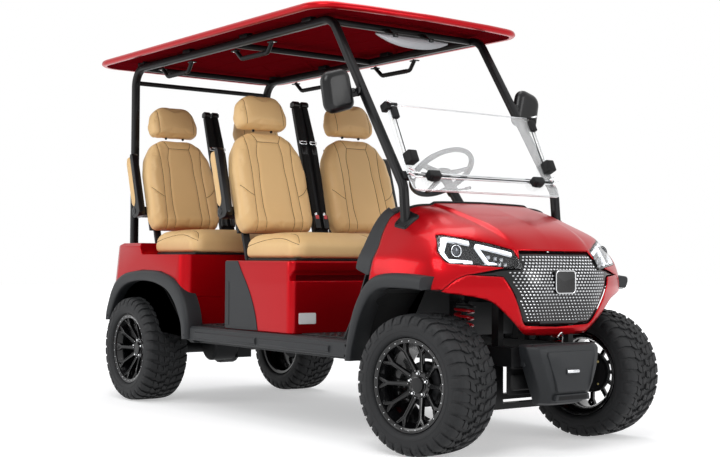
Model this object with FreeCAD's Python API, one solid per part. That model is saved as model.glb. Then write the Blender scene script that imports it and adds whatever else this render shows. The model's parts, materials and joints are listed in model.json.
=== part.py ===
"""Four-seat golf cart: one STEP file for each sub-part, in millimetres.

+Z is up and the cart drives towards -Y, so +X is its left side. Everything is drawn
from the ground point under the front axle (x 0, y 0, z 0) and is shifted along Y when
it is written, so that the finished cart stands centred on its origin.
"""
import FreeCAD
import Part
import functools
import math
import os

Vector = FreeCAD.Vector

# Driving dimensions of the running gear
WHEELBASE = 2470.0
FRONT_TRACK = 1020.0
REAR_TRACK = 1025.0
TYRE_DIAMETER = 584.0
TYRE_WIDTH = 255.0
RIM_DIAMETER = 386.0
BEAD_DIAMETER = 356.0
LUG_HEIGHT = 9.0
TYRE_FACETS = 32
KINGPIN_OFFSET = 70.0
STEER_AT_REST = 9.0
FRONT_OVERHANG = 357.0
REAR_OVERHANG = 460.0
RUNNING_GAP = 0.3

SMALL_BAR_SIDES = 10

# Heights above the ground
FLOOR_TOP = 450.0
SEAT_BOX_TOP = 795.0
REAR_SEAT_RISE = 30.0
REAR_DECK_TOP = 890.0
ROOF_EDGE_BOTTOM = 1940.0
ROOF_CROWN = 2035.0

# Widths across the cart and thicknesses of its sheets
BODY_HALF = 575.0
SILL_HALF = 605.0
FLARE_HALF = 625.0
FLOOR_HALF = 545.0
PANEL_WALL = 5.0
FLOOR_PLATE = 6.0
MAT_THICKNESS = 6.0

# Places along the cart, from the front axle backwards
TOE_BOARD_FOOT = 520.0
SEAT_BOX_FRONT = 890.0
SEAT_BOX_REAR = 1500.0
REAR_BODY_FRONT = 1880.0
REAR_BODY_REAR = 2800.0
COWL_REAR = 213.0

LENGTH = FRONT_OVERHANG + WHEELBASE + REAR_OVERHANG
ORIGIN_SHIFT = FRONT_OVERHANG - LENGTH / 2.0
TYRE_RADIUS = TYRE_DIAMETER / 2.0
PARTS = {}


def point(x, y, z):
    """A place in the cart's own frame."""
    return Vector(x, y, z)


def keep(name, *shapes):
    """Keep one or more separate solids as the named sub-part."""
    solids = []
    for shape in shapes:
        solids.extend(shape.Solids)
    PARTS[name] = solids


def box(x_range, y_range, z_range):
    """A block between two x, two y and two z values."""
    return Part.makeBox(
        x_range[1] - x_range[0],
        y_range[1] - y_range[0],
        z_range[1] - z_range[0],
        point(x_range[0], y_range[0], z_range[0]),
    )


def polygon(points):
    """A closed flat wire through the points."""
    return Part.makePolygon(list(points) + [points[0]])


def side_prism(outline, x_range):
    """Extrude a (y, z) outline across the cart."""
    wire = polygon([point(x_range[0], y, z) for y, z in outline])
    return Part.Face(wire).extrude(point(x_range[1] - x_range[0], 0, 0))


def front_prism(outline, y_range):
    """Extrude an (x, z) outline along the cart."""
    wire = polygon([point(x, y_range[0], z) for x, z in outline])
    return Part.Face(wire).extrude(point(0, y_range[1] - y_range[0], 0))


def plan_prism(outline, z_range):
    """Extrude an (x, y) outline upwards."""
    wire = polygon([point(x, y, z_range[0]) for x, y in outline])
    return Part.Face(wire).extrude(point(0, 0, z_range[1] - z_range[0]))


def mirrored(shape):
    """The same shape on the other side of the cart."""
    return shape.mirror(point(0, 0, 0), point(1, 0, 0))


def both_sides(shape):
    """A shape and its mirror image, as a list."""
    return [shape, mirrored(shape)]


def rounded(shape, radius, picks):
    """Fillet the edges that the test picks."""
    edges = [edge for edge in shape.Edges if picks(edge)]
    return shape.makeFillet(radius, edges)


def upright(edge):
    """True for a straight edge that runs along Z."""
    start = edge.Vertexes[0].Point
    end = edge.Vertexes[-1].Point
    return abs(start.x - end.x) < 0.01 and abs(start.y - end.y) < 0.01


def bent_path(corners, bend, chords=3):
    """The points of a path whose corners are turned in short chords of the bend radius."""
    path = [corners[0]]
    for before, corner, after in zip(corners, corners[1:], corners[2:]):
        incoming = (before - corner).normalize()
        outgoing = (after - corner).normalize()
        half = incoming.getAngle(outgoing) / 2.0
        reach = bend / math.tan(half)
        inward = (incoming + outgoing).normalize()
        centre = corner + inward * (bend / math.sin(half))
        first = corner + incoming * reach - centre
        last = corner + outgoing * reach - centre
        sweep = first.getAngle(last)
        for step in range(chords + 1):
            part = step / chords
            near = math.sin((1.0 - part) * sweep) / math.sin(sweep)
            far = math.sin(part * sweep) / math.sin(sweep)
            path.append(centre + first * near + last * far)
    path.append(corners[-1])
    return path


def patch(a, b, c, d):
    """One flat face through four corners, or two triangles where they do not lie flat."""
    normal = (b - a).cross(c - a)
    if normal.Length > 0 and abs(normal.normalize().dot(d - a)) < 1e-6:
        return [flat_face([a, b, c, d])]
    if (a - c).Length <= (b - d).Length:
        return [flat_face([a, b, c]), flat_face([a, c, d])]
    return [flat_face([a, b, d]), flat_face([b, c, d])]


def stacked(rings):
    """A solid through rings of equally many points, closed flat at its first and last ring."""
    faces = [flat_face(rings[0]), flat_face(rings[-1])]
    for low, high in zip(rings, rings[1:]):
        for index in range(len(low)):
            after = (index + 1) % len(low)
            faces.extend(patch(low[index], low[after], high[after], high[index]))
    return sewn(faces)


def mitred_tube(path, ring):
    """Carry a ring of points along a path of straight runs, with a mitre at each corner."""
    rings = [ring]
    for index in range(1, len(path)):
        along = (path[index] - path[index - 1]).normalize()
        normal = along
        if index + 1 < len(path):
            normal = (along + (path[index + 1] - path[index]).normalize()).normalize()
        moved = [p + along * ((path[index] - p).dot(normal) / along.dot(normal)) for p in rings[-1]]
        rings.append(moved)
    return stacked(rings)


def square_tube(corners, width, depth, bend):
    """A box-section bar: width across the cart, depth in the plane of its path."""
    along = (corners[1] - corners[0]).normalize()
    across = point(1, 0, 0)
    side = along.cross(across).normalize() * (depth / 2.0)
    half = across * (width / 2.0)
    start = corners[0]
    ring = [start + half + side, start - half + side, start - half - side, start + half - side]
    return mitred_tube(bent_path(corners, bend), ring)


def round_tube(corners, radius, bend, sides=8):
    """A round bar with flat sides, bent along its corners."""
    along = (corners[1] - corners[0]).normalize()
    across = point(1, 0, 0) if abs(along.x) < 0.9 else point(0, 1, 0)
    first = along.cross(across).normalize()
    second = along.cross(first).normalize()
    ring = []
    for index in range(sides):
        angle = 2.0 * math.pi * (index + 0.5) / sides
        ring.append(corners[0] + first * (radius * math.cos(angle)) + second * (radius * math.sin(angle)))
    return mitred_tube(bent_path(corners, bend), ring)


def offset(points, distance, closed=True):
    """A flat outline moved sideways by a distance, to the left of its direction, corners kept."""
    moved = []
    count = len(points)
    for index in range(count):
        before = points[index - 1] if closed or index > 0 else None
        after = points[(index + 1) % count] if closed or index < count - 1 else None
        normals = []
        for start, end in ((before, points[index]), (points[index], after)):
            if start is not None and end is not None:
                da = end[0] - start[0]
                db = end[1] - start[1]
                length = math.hypot(da, db)
                normals.append((-db / length, da / length))
        if len(normals) == 1:
            normals.append(normals[0])
        (a0, b0), (a1, b1) = normals
        scale = distance / (1.0 + a0 * a1 + b0 * b1)
        moved.append((points[index][0] + (a0 + a1) * scale, points[index][1] + (b0 + b1) * scale))
    return moved


def inset(points, distance):
    """A closed outline drawn in by a distance on all sides, or let out where it is negative."""
    doubled = sum(a0 * b1 - a1 * b0 for (a0, b0), (a1, b1) in zip(points, points[1:] + points[:1]))
    return offset(points, distance * math.copysign(1.0, doubled))


def arc_corners(corners, radii, chords=4):
    """A closed outline with each corner turned in chords of its own radius."""
    rounded_points = []
    count = len(corners)
    for index, radius in enumerate(radii):
        here = point(corners[index][0], corners[index][1], 0)
        if radius <= 0:
            rounded_points.append(corners[index])
            continue
        before = point(*corners[index - 1], 0)
        after = point(*corners[(index + 1) % count], 0)
        arc = bent_path([before, here, after], radius, chords)[1:-1]
        rounded_points.extend((p.x, p.y) for p in arc)
    return rounded_points


def stepped(outline, levels, place):
    """A padded form: its outline drawn in by a given amount at each (height, inset) level."""
    rings = []
    for height, drawn_in in levels:
        points = inset(outline, drawn_in) if drawn_in else outline
        rings.append([place(a, b, height) for a, b in points])
    return stacked(rings)


def pin(start, end, radius, sides=SMALL_BAR_SIDES):
    """A round bar with flat sides between two points."""
    length = (end - start).Length
    return aimed(turned([(0, 0), (0, radius), (length, radius), (length, 0)], sides), start, end - start)


def thin_box(x_range, y_range, z_range, wall, corner):
    """A box with rounded upright corners, open below, with walls all round and on top."""
    outer = rounded(box(x_range, y_range, z_range), corner, upright)
    inner = box(
        (x_range[0] + wall, x_range[1] - wall),
        (y_range[0] + wall, y_range[1] - wall),
        (z_range[0] - wall, z_range[1] - wall),
    )
    inner = rounded(inner, corner - wall, upright)
    return outer.cut(inner)


def facet_point(across, radius, angle):
    """A point on a piece that turns about the X axis."""
    return point(across, radius * math.cos(angle), radius * math.sin(angle))


def flat_face(points):
    """A flat face through the points in order."""
    return Part.Face(polygon(points))


def sewn(faces):
    """A solid from flat faces that share their edges."""
    shell = Part.Shell(faces)
    shell.sewShape()
    solid = Part.Solid(shell)
    if solid.Volume < 0:
        solid.reverse()
    return solid


def facet_strip(profile, start, end):
    """The flat faces between two angles of a piece that turns about the X axis."""
    faces = []
    for (a, ra), (b, rb) in zip(profile, profile[1:]):
        corners = [facet_point(a, ra, start)]
        corners.append(facet_point(b, rb, start))
        if rb > 0:
            corners.append(facet_point(b, rb, end))
        if ra > 0:
            corners.append(facet_point(a, ra, end))
        if len(corners) > 2:
            faces.append(flat_face(corners))
    return faces


def turned(outline, sides):
    """A turned piece about the X axis with flat sides, from its (across, radius) outline."""
    ring = list(outline)
    if ring[0][1] > 0:
        ring.append(ring[0])
    step = 2.0 * math.pi / sides
    faces = []
    for index in range(sides):
        faces.extend(facet_strip(ring, index * step, (index + 1) * step))
    return sewn(faces)


def aimed(shape, start, axis):
    """Place a piece drawn along the X axis so that it starts at a point and runs along an axis."""
    shape.Placement = FreeCAD.Placement(start, FreeCAD.Rotation(point(1, 0, 0), axis))
    return shape


# Wheels

BEAD_RADIUS = BEAD_DIAMETER / 2.0
RIM_RADIUS = RIM_DIAMETER / 2.0
RIM_WALL = 6.0
RIM_SIDES = 24
FLANGE_INSET = 30.0
RIM_INSET = 18.0
SPOKES = 10
SPOKE_DEPTH = 20.0
CAP_RADIUS = 33.0
HUB_RADIUS = 62.0
HUB_FACE = 48.0
HUB_THICKNESS = 24.0
CAP_HEIGHT = 12.0
DRUM_RADIUS = 95.0
KINGPIN_HEIGHT = 170.0


def tyre_profiles():
    """Half sections (across, radius) of the tyre: bare carcass, its lug, and the cavity."""
    half = TYRE_WIDTH / 2.0
    flat = math.cos(math.pi / TYRE_FACETS)
    crown = TYRE_RADIUS / flat
    base = crown - LUG_HEIGHT
    bead = BEAD_RADIUS / flat + RUNNING_GAP
    carcass = [(half - FLANGE_INSET, bead), (half - FLANGE_INSET, RIM_RADIUS + 4.0),
               (half - 2.0, RIM_RADIUS + 26.0), (half - 10.0, base - 14.0), (half - 42.0, base)]
    lug = [carcass[2], (half, base - 16.0), (half - 16.0, crown - 4.0),
           (half - 100.0, crown), (half - 104.0, base)]
    cavity = [(half - 52.0, bead), (half - 30.0, base - 20.0)]
    return carcass, lug, cavity


def tyre():
    """A hollow tyre with shoulder lugs in turn on its left and right, about the X axis."""
    carcass, lug, cavity = tyre_profiles()
    shoulder = carcass[3:] + [lug[-1]]
    step = 2.0 * math.pi / TYRE_FACETS
    faces = []
    for index in range(TYRE_FACETS):
        start = (index + 0.5) * step
        end = start + step
        lug_side = 1 if index % 2 == 0 else -1
        for side in (1, -1):
            outer = lug if side == lug_side else [lug[0]] + shoulder
            for profile in (carcass[:3], outer, [carcass[0]] + cavity):
                faces.extend(facet_strip([(side * a, r) for a, r in profile], start, end))
            wall = lug + shoulder[-2::-1]
            faces.append(flat_face([facet_point(side * a, r, start) for a, r in wall]))
        for across, radius in (lug[-1], cavity[-1]):
            faces.extend(facet_strip([(across, radius), (-across, radius)], start, end))
    return sewn(faces)


def rim():
    """A wheel rim about the X axis, its face towards +X, with paired spokes."""
    half = TYRE_WIDTH / 2.0
    lip = half - RIM_INSET
    flange = half - FLANGE_INSET + 3.0
    seat = BEAD_RADIUS
    well = seat - 16.0
    barrel = turned([(lip, RIM_RADIUS), (flange, RIM_RADIUS - 2.0), (flange, seat), (flange - 22.0, seat),
                     (flange - 44.0, well), (-flange + 20.0, well), (-flange, seat),
                     (-flange, RIM_RADIUS - 2.0), (-lip, RIM_RADIUS - 2.0), (-lip + 4.0, seat - 5.0),
                      (-flange + 28.0, well - RIM_WALL),
                     (flange - 48.0, well - RIM_WALL), (lip - 14.0, seat - RIM_WALL),
                     (lip - 3.0, seat - 2.0), (lip, RIM_RADIUS - 5.0)], RIM_SIDES)
    hub = turned([(HUB_FACE - HUB_THICKNESS, 0), (HUB_FACE - HUB_THICKNESS, HUB_RADIUS),
                  (HUB_FACE - 4.0, HUB_RADIUS), (HUB_FACE, HUB_RADIUS - 6.0), (HUB_FACE, CAP_RADIUS),
                  (HUB_FACE + CAP_HEIGHT, CAP_RADIUS - 2.0), (HUB_FACE + CAP_HEIGHT, 0)], RIM_SIDES // 2)
    pieces = [hub]
    for index in range(SPOKES):
        bar = spoke(well - 2.0, lip)
        bar.rotate(point(0, 0, 0), point(1, 0, 0), (index + 0.5) * 360.0 / SPOKES)
        pieces.append(bar)
    return barrel.multiFuse(pieces)


def spoke(reach, lip):
    """One spoke: it rises from the hub towards the lip and forks just before the rim."""
    root = HUB_RADIUS - 12.0
    fork = root + (reach - root) * 0.68
    half = [(9.0, root), (6.0, fork), (24.0, reach), (13.0, reach)]
    outline = half + [(0.0, fork + 16.0)] + [(-a, r) for a, r in reversed(half)]
    slope = (lip - 15.0 - HUB_FACE) / (reach - root)
    rings = []
    for depth, narrowed in ((-SPOKE_DEPTH, 1.0), (-1.0, 0.8)):
        rings.append([point(HUB_FACE + depth + (r - root) * slope, a * narrowed, r) for a, r in outline])
    return stacked(rings)


def place_wheel(shape, x, y, turn):
    """Stand a wheel piece on the ground at its place; the right side faces the other way."""
    placed = shape.copy()
    if x < 0:
        placed.rotate(point(0, 0, 0), point(0, 0, 1), 180.0)
    kingpin = point(math.copysign(KINGPIN_OFFSET, x), 0, 0)
    placed.translate(kingpin)
    placed.rotate(point(0, 0, 0), point(0, 0, 1), turn)
    placed.translate(point(x, y, TYRE_RADIUS) - kingpin)
    return placed


def knuckle():
    """The left steering knuckle with its brake drum, about the wheel's centre."""
    upright_x = -KINGPIN_OFFSET
    drum_face = HUB_FACE - HUB_THICKNESS - RUNNING_GAP
    drum = turned([(-26.0, 0), (-26.0, DRUM_RADIUS - 20.0), (-20.0, DRUM_RADIUS),
                   (drum_face - 8.0, DRUM_RADIUS), (drum_face, DRUM_RADIUS - 8.0), (drum_face, 0)], 20)
    foot = point(upright_x, 0, -KINGPIN_HEIGHT / 2.0)
    post = Part.makeCylinder(17.0, KINGPIN_HEIGHT, foot)
    stub = box((upright_x, -20.0), (-26.0, 26.0), (-30.0, 30.0))
    arm = box((upright_x - 12.0, upright_x + 12.0), (0, 120.0), (-42.0, -28.0))
    return drum.multiFuse([post, stub, arm])


def wheels():
    """Tyres, rims and knuckles at their four places."""
    whole_tyre = tyre()
    whole_rim = rim()
    left_knuckle = knuckle()
    right_knuckle = left_knuckle.mirror(point(0, 0, 0), point(1, 0, 0))
    for label, x, y, turn in (
        ("front_left", FRONT_TRACK / 2.0, 0.0, STEER_AT_REST),
        ("front_right", -FRONT_TRACK / 2.0, 0.0, STEER_AT_REST),
        ("rear_left", REAR_TRACK / 2.0, WHEELBASE, 0.0),
        ("rear_right", -REAR_TRACK / 2.0, WHEELBASE, 0.0),
    ):
        keep("tyre_" + label, place_wheel(whole_tyre, x, y, turn))
        keep("rim_" + label, place_wheel(whole_rim, x, y, turn))
    for label, shape, side in (("left", left_knuckle, 1.0), ("right", right_knuckle, -1.0)):
        placed = shape.copy()
        placed.translate(point(side * KINGPIN_OFFSET, 0, 0))
        placed.rotate(point(0, 0, 0), point(0, 0, 1), STEER_AT_REST)
        centre = side * (FRONT_TRACK / 2.0 - KINGPIN_OFFSET)
        placed.translate(point(centre, 0, TYRE_RADIUS))
        keep("knuckle_" + label, placed)


# Frame, suspension, axle and batteries

ARM_ROOM = 315.0
RAIL_HALF_GAP = FRONT_TRACK / 2.0 - ARM_ROOM
RAIL_WIDTH = 50.0
RAIL_DEPTH = 80.0
RAIL_FRONT = -240.0
RAIL_REAR = 2790.0
RAIL_TOP = FLOOR_TOP - FLOOR_PLATE
RAIL_BOTTOM = RAIL_TOP - RAIL_DEPTH
RAIL_OUTER = RAIL_HALF_GAP + RAIL_WIDTH
CROSS_TUBES = (620.0, 1450.0, 2010.0)
AXLE_RADIUS = 38.0
SPRING_X = 320.0
SPRING_WIDTH = 45.0
SPRING_HALF = 300.0
SPRING_RISE = 60.0
COIL_RADIUS = 36.0
COIL_TURNS = 6
COIL_SIDES = 10
CASING_RADIUS = 105.0
MOTOR_RADIUS = 85.0
MOTOR_LENGTH = 158.0
KINGPIN_X = FRONT_TRACK / 2.0 - KINGPIN_OFFSET


def chassis():
    """Ladder frame of separate bars: rails, cross tubes, nose frame with spring towers, hitch plate."""
    gap = RUNNING_GAP
    between = (-RAIL_HALF_GAP + gap, RAIL_HALF_GAP - gap)
    outside = (RAIL_OUTER + gap, FLOOR_HALF - 20.0)
    tower_x = (RAIL_HALF_GAP, RAIL_HALF_GAP + TOWER_WIDTH)
    beam_low = TOWER_TOP - TOWER_WIDTH
    arm_low = LOWER_ARM_Z - 15.0
    pieces = both_sides(box((RAIL_HALF_GAP, RAIL_OUTER), (RAIL_FRONT, RAIL_REAR), (RAIL_BOTTOM, RAIL_TOP)))
    for y in CROSS_TUBES:
        pieces.append(box(between, (y - 20.0, y + 20.0), (RAIL_TOP - 40.0, RAIL_TOP)))
        pieces.extend(both_sides(box(outside, (y - 20.0, y + 20.0), (RAIL_TOP - 40.0, RAIL_TOP))))
    pieces.append(box(between, (RAIL_FRONT, RAIL_FRONT + 40.0), (RAIL_BOTTOM, RAIL_TOP)))
    pieces.append(box(between, (RAIL_REAR - 40.0, RAIL_REAR), (RAIL_BOTTOM, RAIL_TOP)))
    for y in TOWER_PLACES:
        span = (y - 20.0, y + 20.0)
        pieces.extend(both_sides(box(tower_x, span, (RAIL_TOP + gap, beam_low - gap))))
        pieces.append(box(between, span, (beam_low, TOWER_TOP)))
        pieces.extend(both_sides(box((RAIL_HALF_GAP, RAIL_OUTER), span, (arm_low, RAIL_BOTTOM - gap))))
        pieces.append(box(between, span, (arm_low, LOWER_ARM_Z + 10.0)))
    pieces.extend(both_sides(box(tower_x, (-140.0, 170.0), (beam_low, TOWER_TOP))))
    pieces.extend(both_sides(box((tower_x[1] + gap, COIL_TOP_X + COIL_RADIUS), (-COIL_RADIUS, COIL_RADIUS),
                                 (TOWER_TOP - 12.0, TOWER_TOP))))
    plate = box((-HITCH_HALF, HITCH_HALF), (RAIL_REAR - 10.0, RAIL_REAR),
                (HITCH_Z - HITCH_HALF, RAIL_BOTTOM - gap))
    for x in (-HITCH_SPACING_X / 2.0, HITCH_SPACING_X / 2.0):
        for z in (-HITCH_SPACING_Z / 2.0, HITCH_SPACING_Z / 2.0):
            start = point(x, RAIL_REAR - 50.0, HITCH_Z + z)
            hole = Part.makeCylinder(HITCH_HOLE, 60.0, start, point(0, 1, 0))
            plate = plate.cut(hole)
    keep("chassis_frame", plate, *pieces)


HITCH_HALF = 70.0
HITCH_Z = 300.0
HITCH_SPACING_X = 100.0
HITCH_SPACING_Z = 60.0
HITCH_HOLE = 5.5
TOWER_TOP = 655.0
TOWER_WIDTH = 30.0
TOWER_PLACES = (-120.0, 150.0)
ARM_THICKNESS = 20.0
BOSS_HEIGHT = 24.0
LOWER_ARM_Z = TYRE_RADIUS - KINGPIN_HEIGHT / 2.0 - BOSS_HEIGHT / 2.0 - RUNNING_GAP
UPPER_ARM_Z = TYRE_RADIUS + KINGPIN_HEIGHT / 2.0 + BOSS_HEIGHT / 2.0 + RUNNING_GAP
ARM_HALF_SPREAD = 85.0
ARM_WIDTH = 30.0
COIL_TOP_X = RAIL_OUTER + 42.0
COIL_FOOT_X = RAIL_OUTER + 62.0


def control_arm(z):
    """An A-shaped arm from two frame pivots to the boss on the kingpin's axis."""
    inner = RAIL_OUTER + RUNNING_GAP
    leg = [(inner, ARM_HALF_SPREAD - ARM_WIDTH / 2.0), (KINGPIN_X - 30.0, -4.0), (KINGPIN_X, 0.0),
           (KINGPIN_X - 8.0, 18.0), (inner, ARM_HALF_SPREAD + ARM_WIDTH / 2.0)]
    low = z - ARM_THICKNESS / 2.0
    high = z + ARM_THICKNESS / 2.0
    front = plan_prism([(x, -y) for x, y in leg], (low, high))
    rear = plan_prism(leg, (low, high))
    low_end = point(KINGPIN_X, 0, z - BOSS_HEIGHT / 2.0)
    boss = pin(low_end, low_end + point(0, 0, BOSS_HEIGHT), 22.0)
    return boss.multiFuse([front, rear])


def coil_over(top, bottom):
    """A coil spring outline about its damper, and the damper itself."""
    axis = bottom - top
    length = axis.Length
    start = 28.0
    run = length - 100.0
    pitch = run / COIL_TURNS
    outline = [(start, 17.0)]
    for turn in range(COIL_TURNS):
        low = start + turn * pitch
        outline.append((low, COIL_RADIUS - 9.0))
        outline.append((low + pitch / 2.0, COIL_RADIUS))
    outline.append((start + run, COIL_RADIUS - 9.0))
    outline.append((start + run, 17.0))
    spring = turned(outline, COIL_SIDES)
    seat_low = start - RUNNING_GAP
    seat_high = start + run + RUNNING_GAP
    damper = turned([(0, 0), (0, 16.0), (seat_low - 6.0, 16.0), (seat_low - 6.0, COIL_RADIUS),
                     (seat_low, COIL_RADIUS), (seat_low, 13.0), (seat_high, 13.0), (seat_high, COIL_RADIUS),
                     (seat_high + 8.0, COIL_RADIUS), (seat_high + 8.0, 22.0), (length, 22.0), (length, 0)],
                    COIL_SIDES)
    return aimed(spring, top, axis), aimed(damper, top, axis)


def suspension():
    """Front arms and coil-overs, the rear axle with its motor, and the leaf springs."""
    lower = control_arm(LOWER_ARM_Z)
    arm_top = LOWER_ARM_Z + ARM_THICKNESS / 2.0
    seat = box((RAIL_OUTER + 36.0, RAIL_OUTER + 80.0), (-60.0, 60.0), (arm_top - ARM_THICKNESS, arm_top))
    lower = lower.fuse(seat)
    upper = control_arm(UPPER_ARM_Z)
    top = point(COIL_TOP_X, 0, TOWER_TOP - 12.0 - 1.0)
    bottom = point(COIL_FOOT_X, 0, arm_top + 1.2)
    spring, damper = coil_over(top, bottom)
    pieces = []
    for shape in (lower, upper, damper):
        pieces.extend(both_sides(shape))
    keep("front_suspension", *pieces)
    keep("front_springs", *both_sides(spring))

    hub_face = REAR_TRACK / 2.0 + HUB_FACE - HUB_THICKNESS - RUNNING_GAP
    drum_in = hub_face - 50.0
    axle = turned([(-hub_face, 0), (-hub_face, DRUM_RADIUS), (-drum_in, DRUM_RADIUS), (-drum_in, AXLE_RADIUS),
                   (-60.0, AXLE_RADIUS), (-30.0, CASING_RADIUS), (60.0, CASING_RADIUS), (110.0, AXLE_RADIUS),
                   (drum_in, AXLE_RADIUS), (drum_in, DRUM_RADIUS), (hub_face, DRUM_RADIUS),
                   (hub_face, 0)], 18)
    axle.translate(point(0, WHEELBASE, TYRE_RADIUS))
    motor = turned([(-MOTOR_LENGTH, 0), (-MOTOR_LENGTH, MOTOR_RADIUS - 12.0),
                    (-MOTOR_LENGTH + 12.0, MOTOR_RADIUS),
                    (-12.0, MOTOR_RADIUS), (0, MOTOR_RADIUS - 12.0), (0, 0)], 18)
    motor.translate(point(-30.0, WHEELBASE - 150.0, TYRE_RADIUS + 10.0))
    gearbox = box((-34.0, 60.0), (WHEELBASE - 220.0, WHEELBASE), (TYRE_RADIUS - 60.0, TYRE_RADIUS + 55.0))
    keep("rear_axle", axle.multiFuse([motor, gearbox]))
    keep("leaf_springs", *both_sides(leaf_spring()))


def leaf_spring():
    """A two-leaf arched spring seated on the axle tube, with its hangers to the rail."""
    seat = TYRE_RADIUS + AXLE_RADIUS + RUNNING_GAP
    thick = 9.0
    leaves = []
    for index, half in enumerate((SPRING_HALF, SPRING_HALF * 0.62)):
        low = seat + (1 - index) * thick
        high = low + thick
        rise = SPRING_RISE * (half / SPRING_HALF) ** 2
        steps = [-1.0, -0.6, -0.2, 0.2, 0.6, 1.0]
        under = [(t * half, low + rise * max(0.0, abs(t) - 0.2) / 0.8) for t in steps]
        over = [(t * half, high + rise * max(0.0, abs(t) - 0.2) / 0.8) for t in reversed(steps)]
        leaves.append(side_prism(under + over, (0, SPRING_WIDTH)))
    whole = leaves[0].fuse(leaves[1])
    whole.translate(point(SPRING_X - SPRING_WIDTH / 2.0, WHEELBASE, 0))
    hangers = []
    for y in (WHEELBASE - SPRING_HALF + 12.0, WHEELBASE + SPRING_HALF - 60.0):
        hangers.append(box((RAIL_OUTER + RUNNING_GAP, SPRING_X + 10.0), (y - 12.0, y + 12.0),
                           (RAIL_BOTTOM + 12.0, RAIL_TOP - 12.0)))
    return whole.multiFuse(hangers)


BATTERY_HEIGHT = 250.0


def batteries():
    """The traction battery, one plain block on the rails inside the front seat box."""
    keep("battery_pack", box((-330.0, 330.0), (SEAT_BOX_FRONT + 60.0, SEAT_BOX_REAR - 120.0),
                             (FLOOR_TOP, FLOOR_TOP + BATTERY_HEIGHT)))


# Front body

HOOD_STATIONS = (
    (-330.0, ((0, 800), (160, 800), (260, 795), (340, 780), (400, 760), (455, 715), (465, 600))),
    (-150.0, ((0, 925), (200, 918), (320, 903), (410, 882), (490, 835), (540, 765), (550, 600))),
    (30.0, ((0, 995), (240, 988), (360, 972), (450, 940), (520, 885), (580, 785), (592, 600))),
    (213.0, ((0, 1048), (270, 1043), (400, 1025), (480, 965), (560, 860), (595, 780), (600, 600))),
    (470.0, ((0, 1062), (280, 1057), (430, 1040), (500, 975), (568, 865), (600, 785), (604, 600))),
)
NOSE_PROFILE = ((-130, 990), (-198, 907), (-250, 840), (-285, 790), (-310, 710), (-292, 600),
                (-250, 500), (-225, 450))
NOSE_SWEEP = ((0, 0), (210, 6), (350, 62), (500, 150), (630, 250))
FENDER_LOW = 700.0
GRILLE_OUTLINE = ((205, 832), (232, 772), (295, 757), (190, 532), (0, 524))
CHIN_OUTLINE = ((205, 845), (238, 785), (440, 740), (430, 695), (395, 672), (205, 500), (0, 488))
LAMP_OUTLINE = ((222, 826), (500, 915), (512, 880), (500, 800), (300, 762), (245, 772))
PANEL_GAP = 2.0
FRONT_SIDE_CURVE = ((150, 1100), (150, 1030), (215, 900), (270, 800), (310, 700))
TRIM_REAR_CURVE = ((225, 1100), (232, 1045), (262, 1005), (330, 900), (392, 800), (430, 735))
COWL_HALF = 470.0
COWL_LOW = 960.0


def smooth_line(points, count):
    """Evenly spaced points on a smooth curve through the given points."""
    curve = Part.BSplineCurve()
    curve.interpolate(points)
    return curve.toShape().discretize(Number=count)


def columns_smoothed(rows, count):
    """A grid of points made smooth along its other direction, as new rows."""
    lines = [smooth_line(list(column), count) for column in zip(*rows)]
    return [list(row) for row in zip(*lines)]


@functools.lru_cache(maxsize=None)
def hood_solid(drawn_in):
    """The hood and fenders as one closed form, drawn in on all sides."""
    rows = []
    for y, half in HOOD_STATIONS:
        section = [point(x - drawn_in * min(1.0, x / 450.0), y, z - drawn_in) for x, z in half]
        section[-1].z = half[-1][1]
        rows.append(smooth_line(section, 13))
    rings = []
    for row in columns_smoothed(rows, 9):
        left = [point(-p.x, p.y, p.z) for p in reversed(row[1:])]
        middle = [point(p.x, row[0].y, p.z) for p in left + row]
        rings.append(middle)
    return stacked(rings)


@functools.lru_cache(maxsize=None)
def nose_solid(drawn_in):
    """The nose as one closed form: its bulged profile carried across in a swept-back plan."""
    profile = smooth_line([point(0, y, z) for y, z in NOSE_PROFILE], 13)
    sweep = smooth_line([point(x, back, 0) for x, back in NOSE_SWEEP], 8)
    plan = [point(-p.x, p.y, 0) for p in reversed(sweep[1:])] + sweep
    rings = []
    for place in plan:
        front = [point(place.x, p.y + place.y + drawn_in, p.z) for p in profile]
        rings.append(front + [point(place.x, 700, front[-1].z), point(place.x, 700, front[0].z)])
    return stacked(rings)


@functools.lru_cache(maxsize=None)
def nose_shape(drawn_in):
    """Hood and nose forms together, before any opening is cut."""
    nose = nose_solid(drawn_in)
    low = box((-650.0, 650.0), (-400.0, 800.0), (400.0, 620.0))
    chin_half = 465.0 - drawn_in
    chin = nose.common(box((-chin_half, chin_half), (-400.0, 800.0), (400.0, 620.0)))
    return hood_solid(drawn_in).common(nose).cut(low).fuse(chin)


def front_shell(outer, inner):
    """The sheet of the front body between two insets of its form."""
    return nose_shape(outer).cut(nose_shape(inner))


def outline_cutter(points, grow=0.0):
    """A half front-view outline, let out by a distance, mirrored and pushed through the nose."""
    half = list(points)
    if half[-1][0] > 0:
        right = front_prism(inset(half, -grow), (-500.0, 200.0))
        return right.fuse(mirrored(right))
    left = [(-x, z) for x, z in reversed(half) if x > 0]
    return front_prism(inset(half + left, -grow), (-500.0, 200.0))


def biggest(shape):
    """The largest solid of a result, without slivers."""
    return max(shape.Solids, key=lambda solid: solid.Volume)


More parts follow.
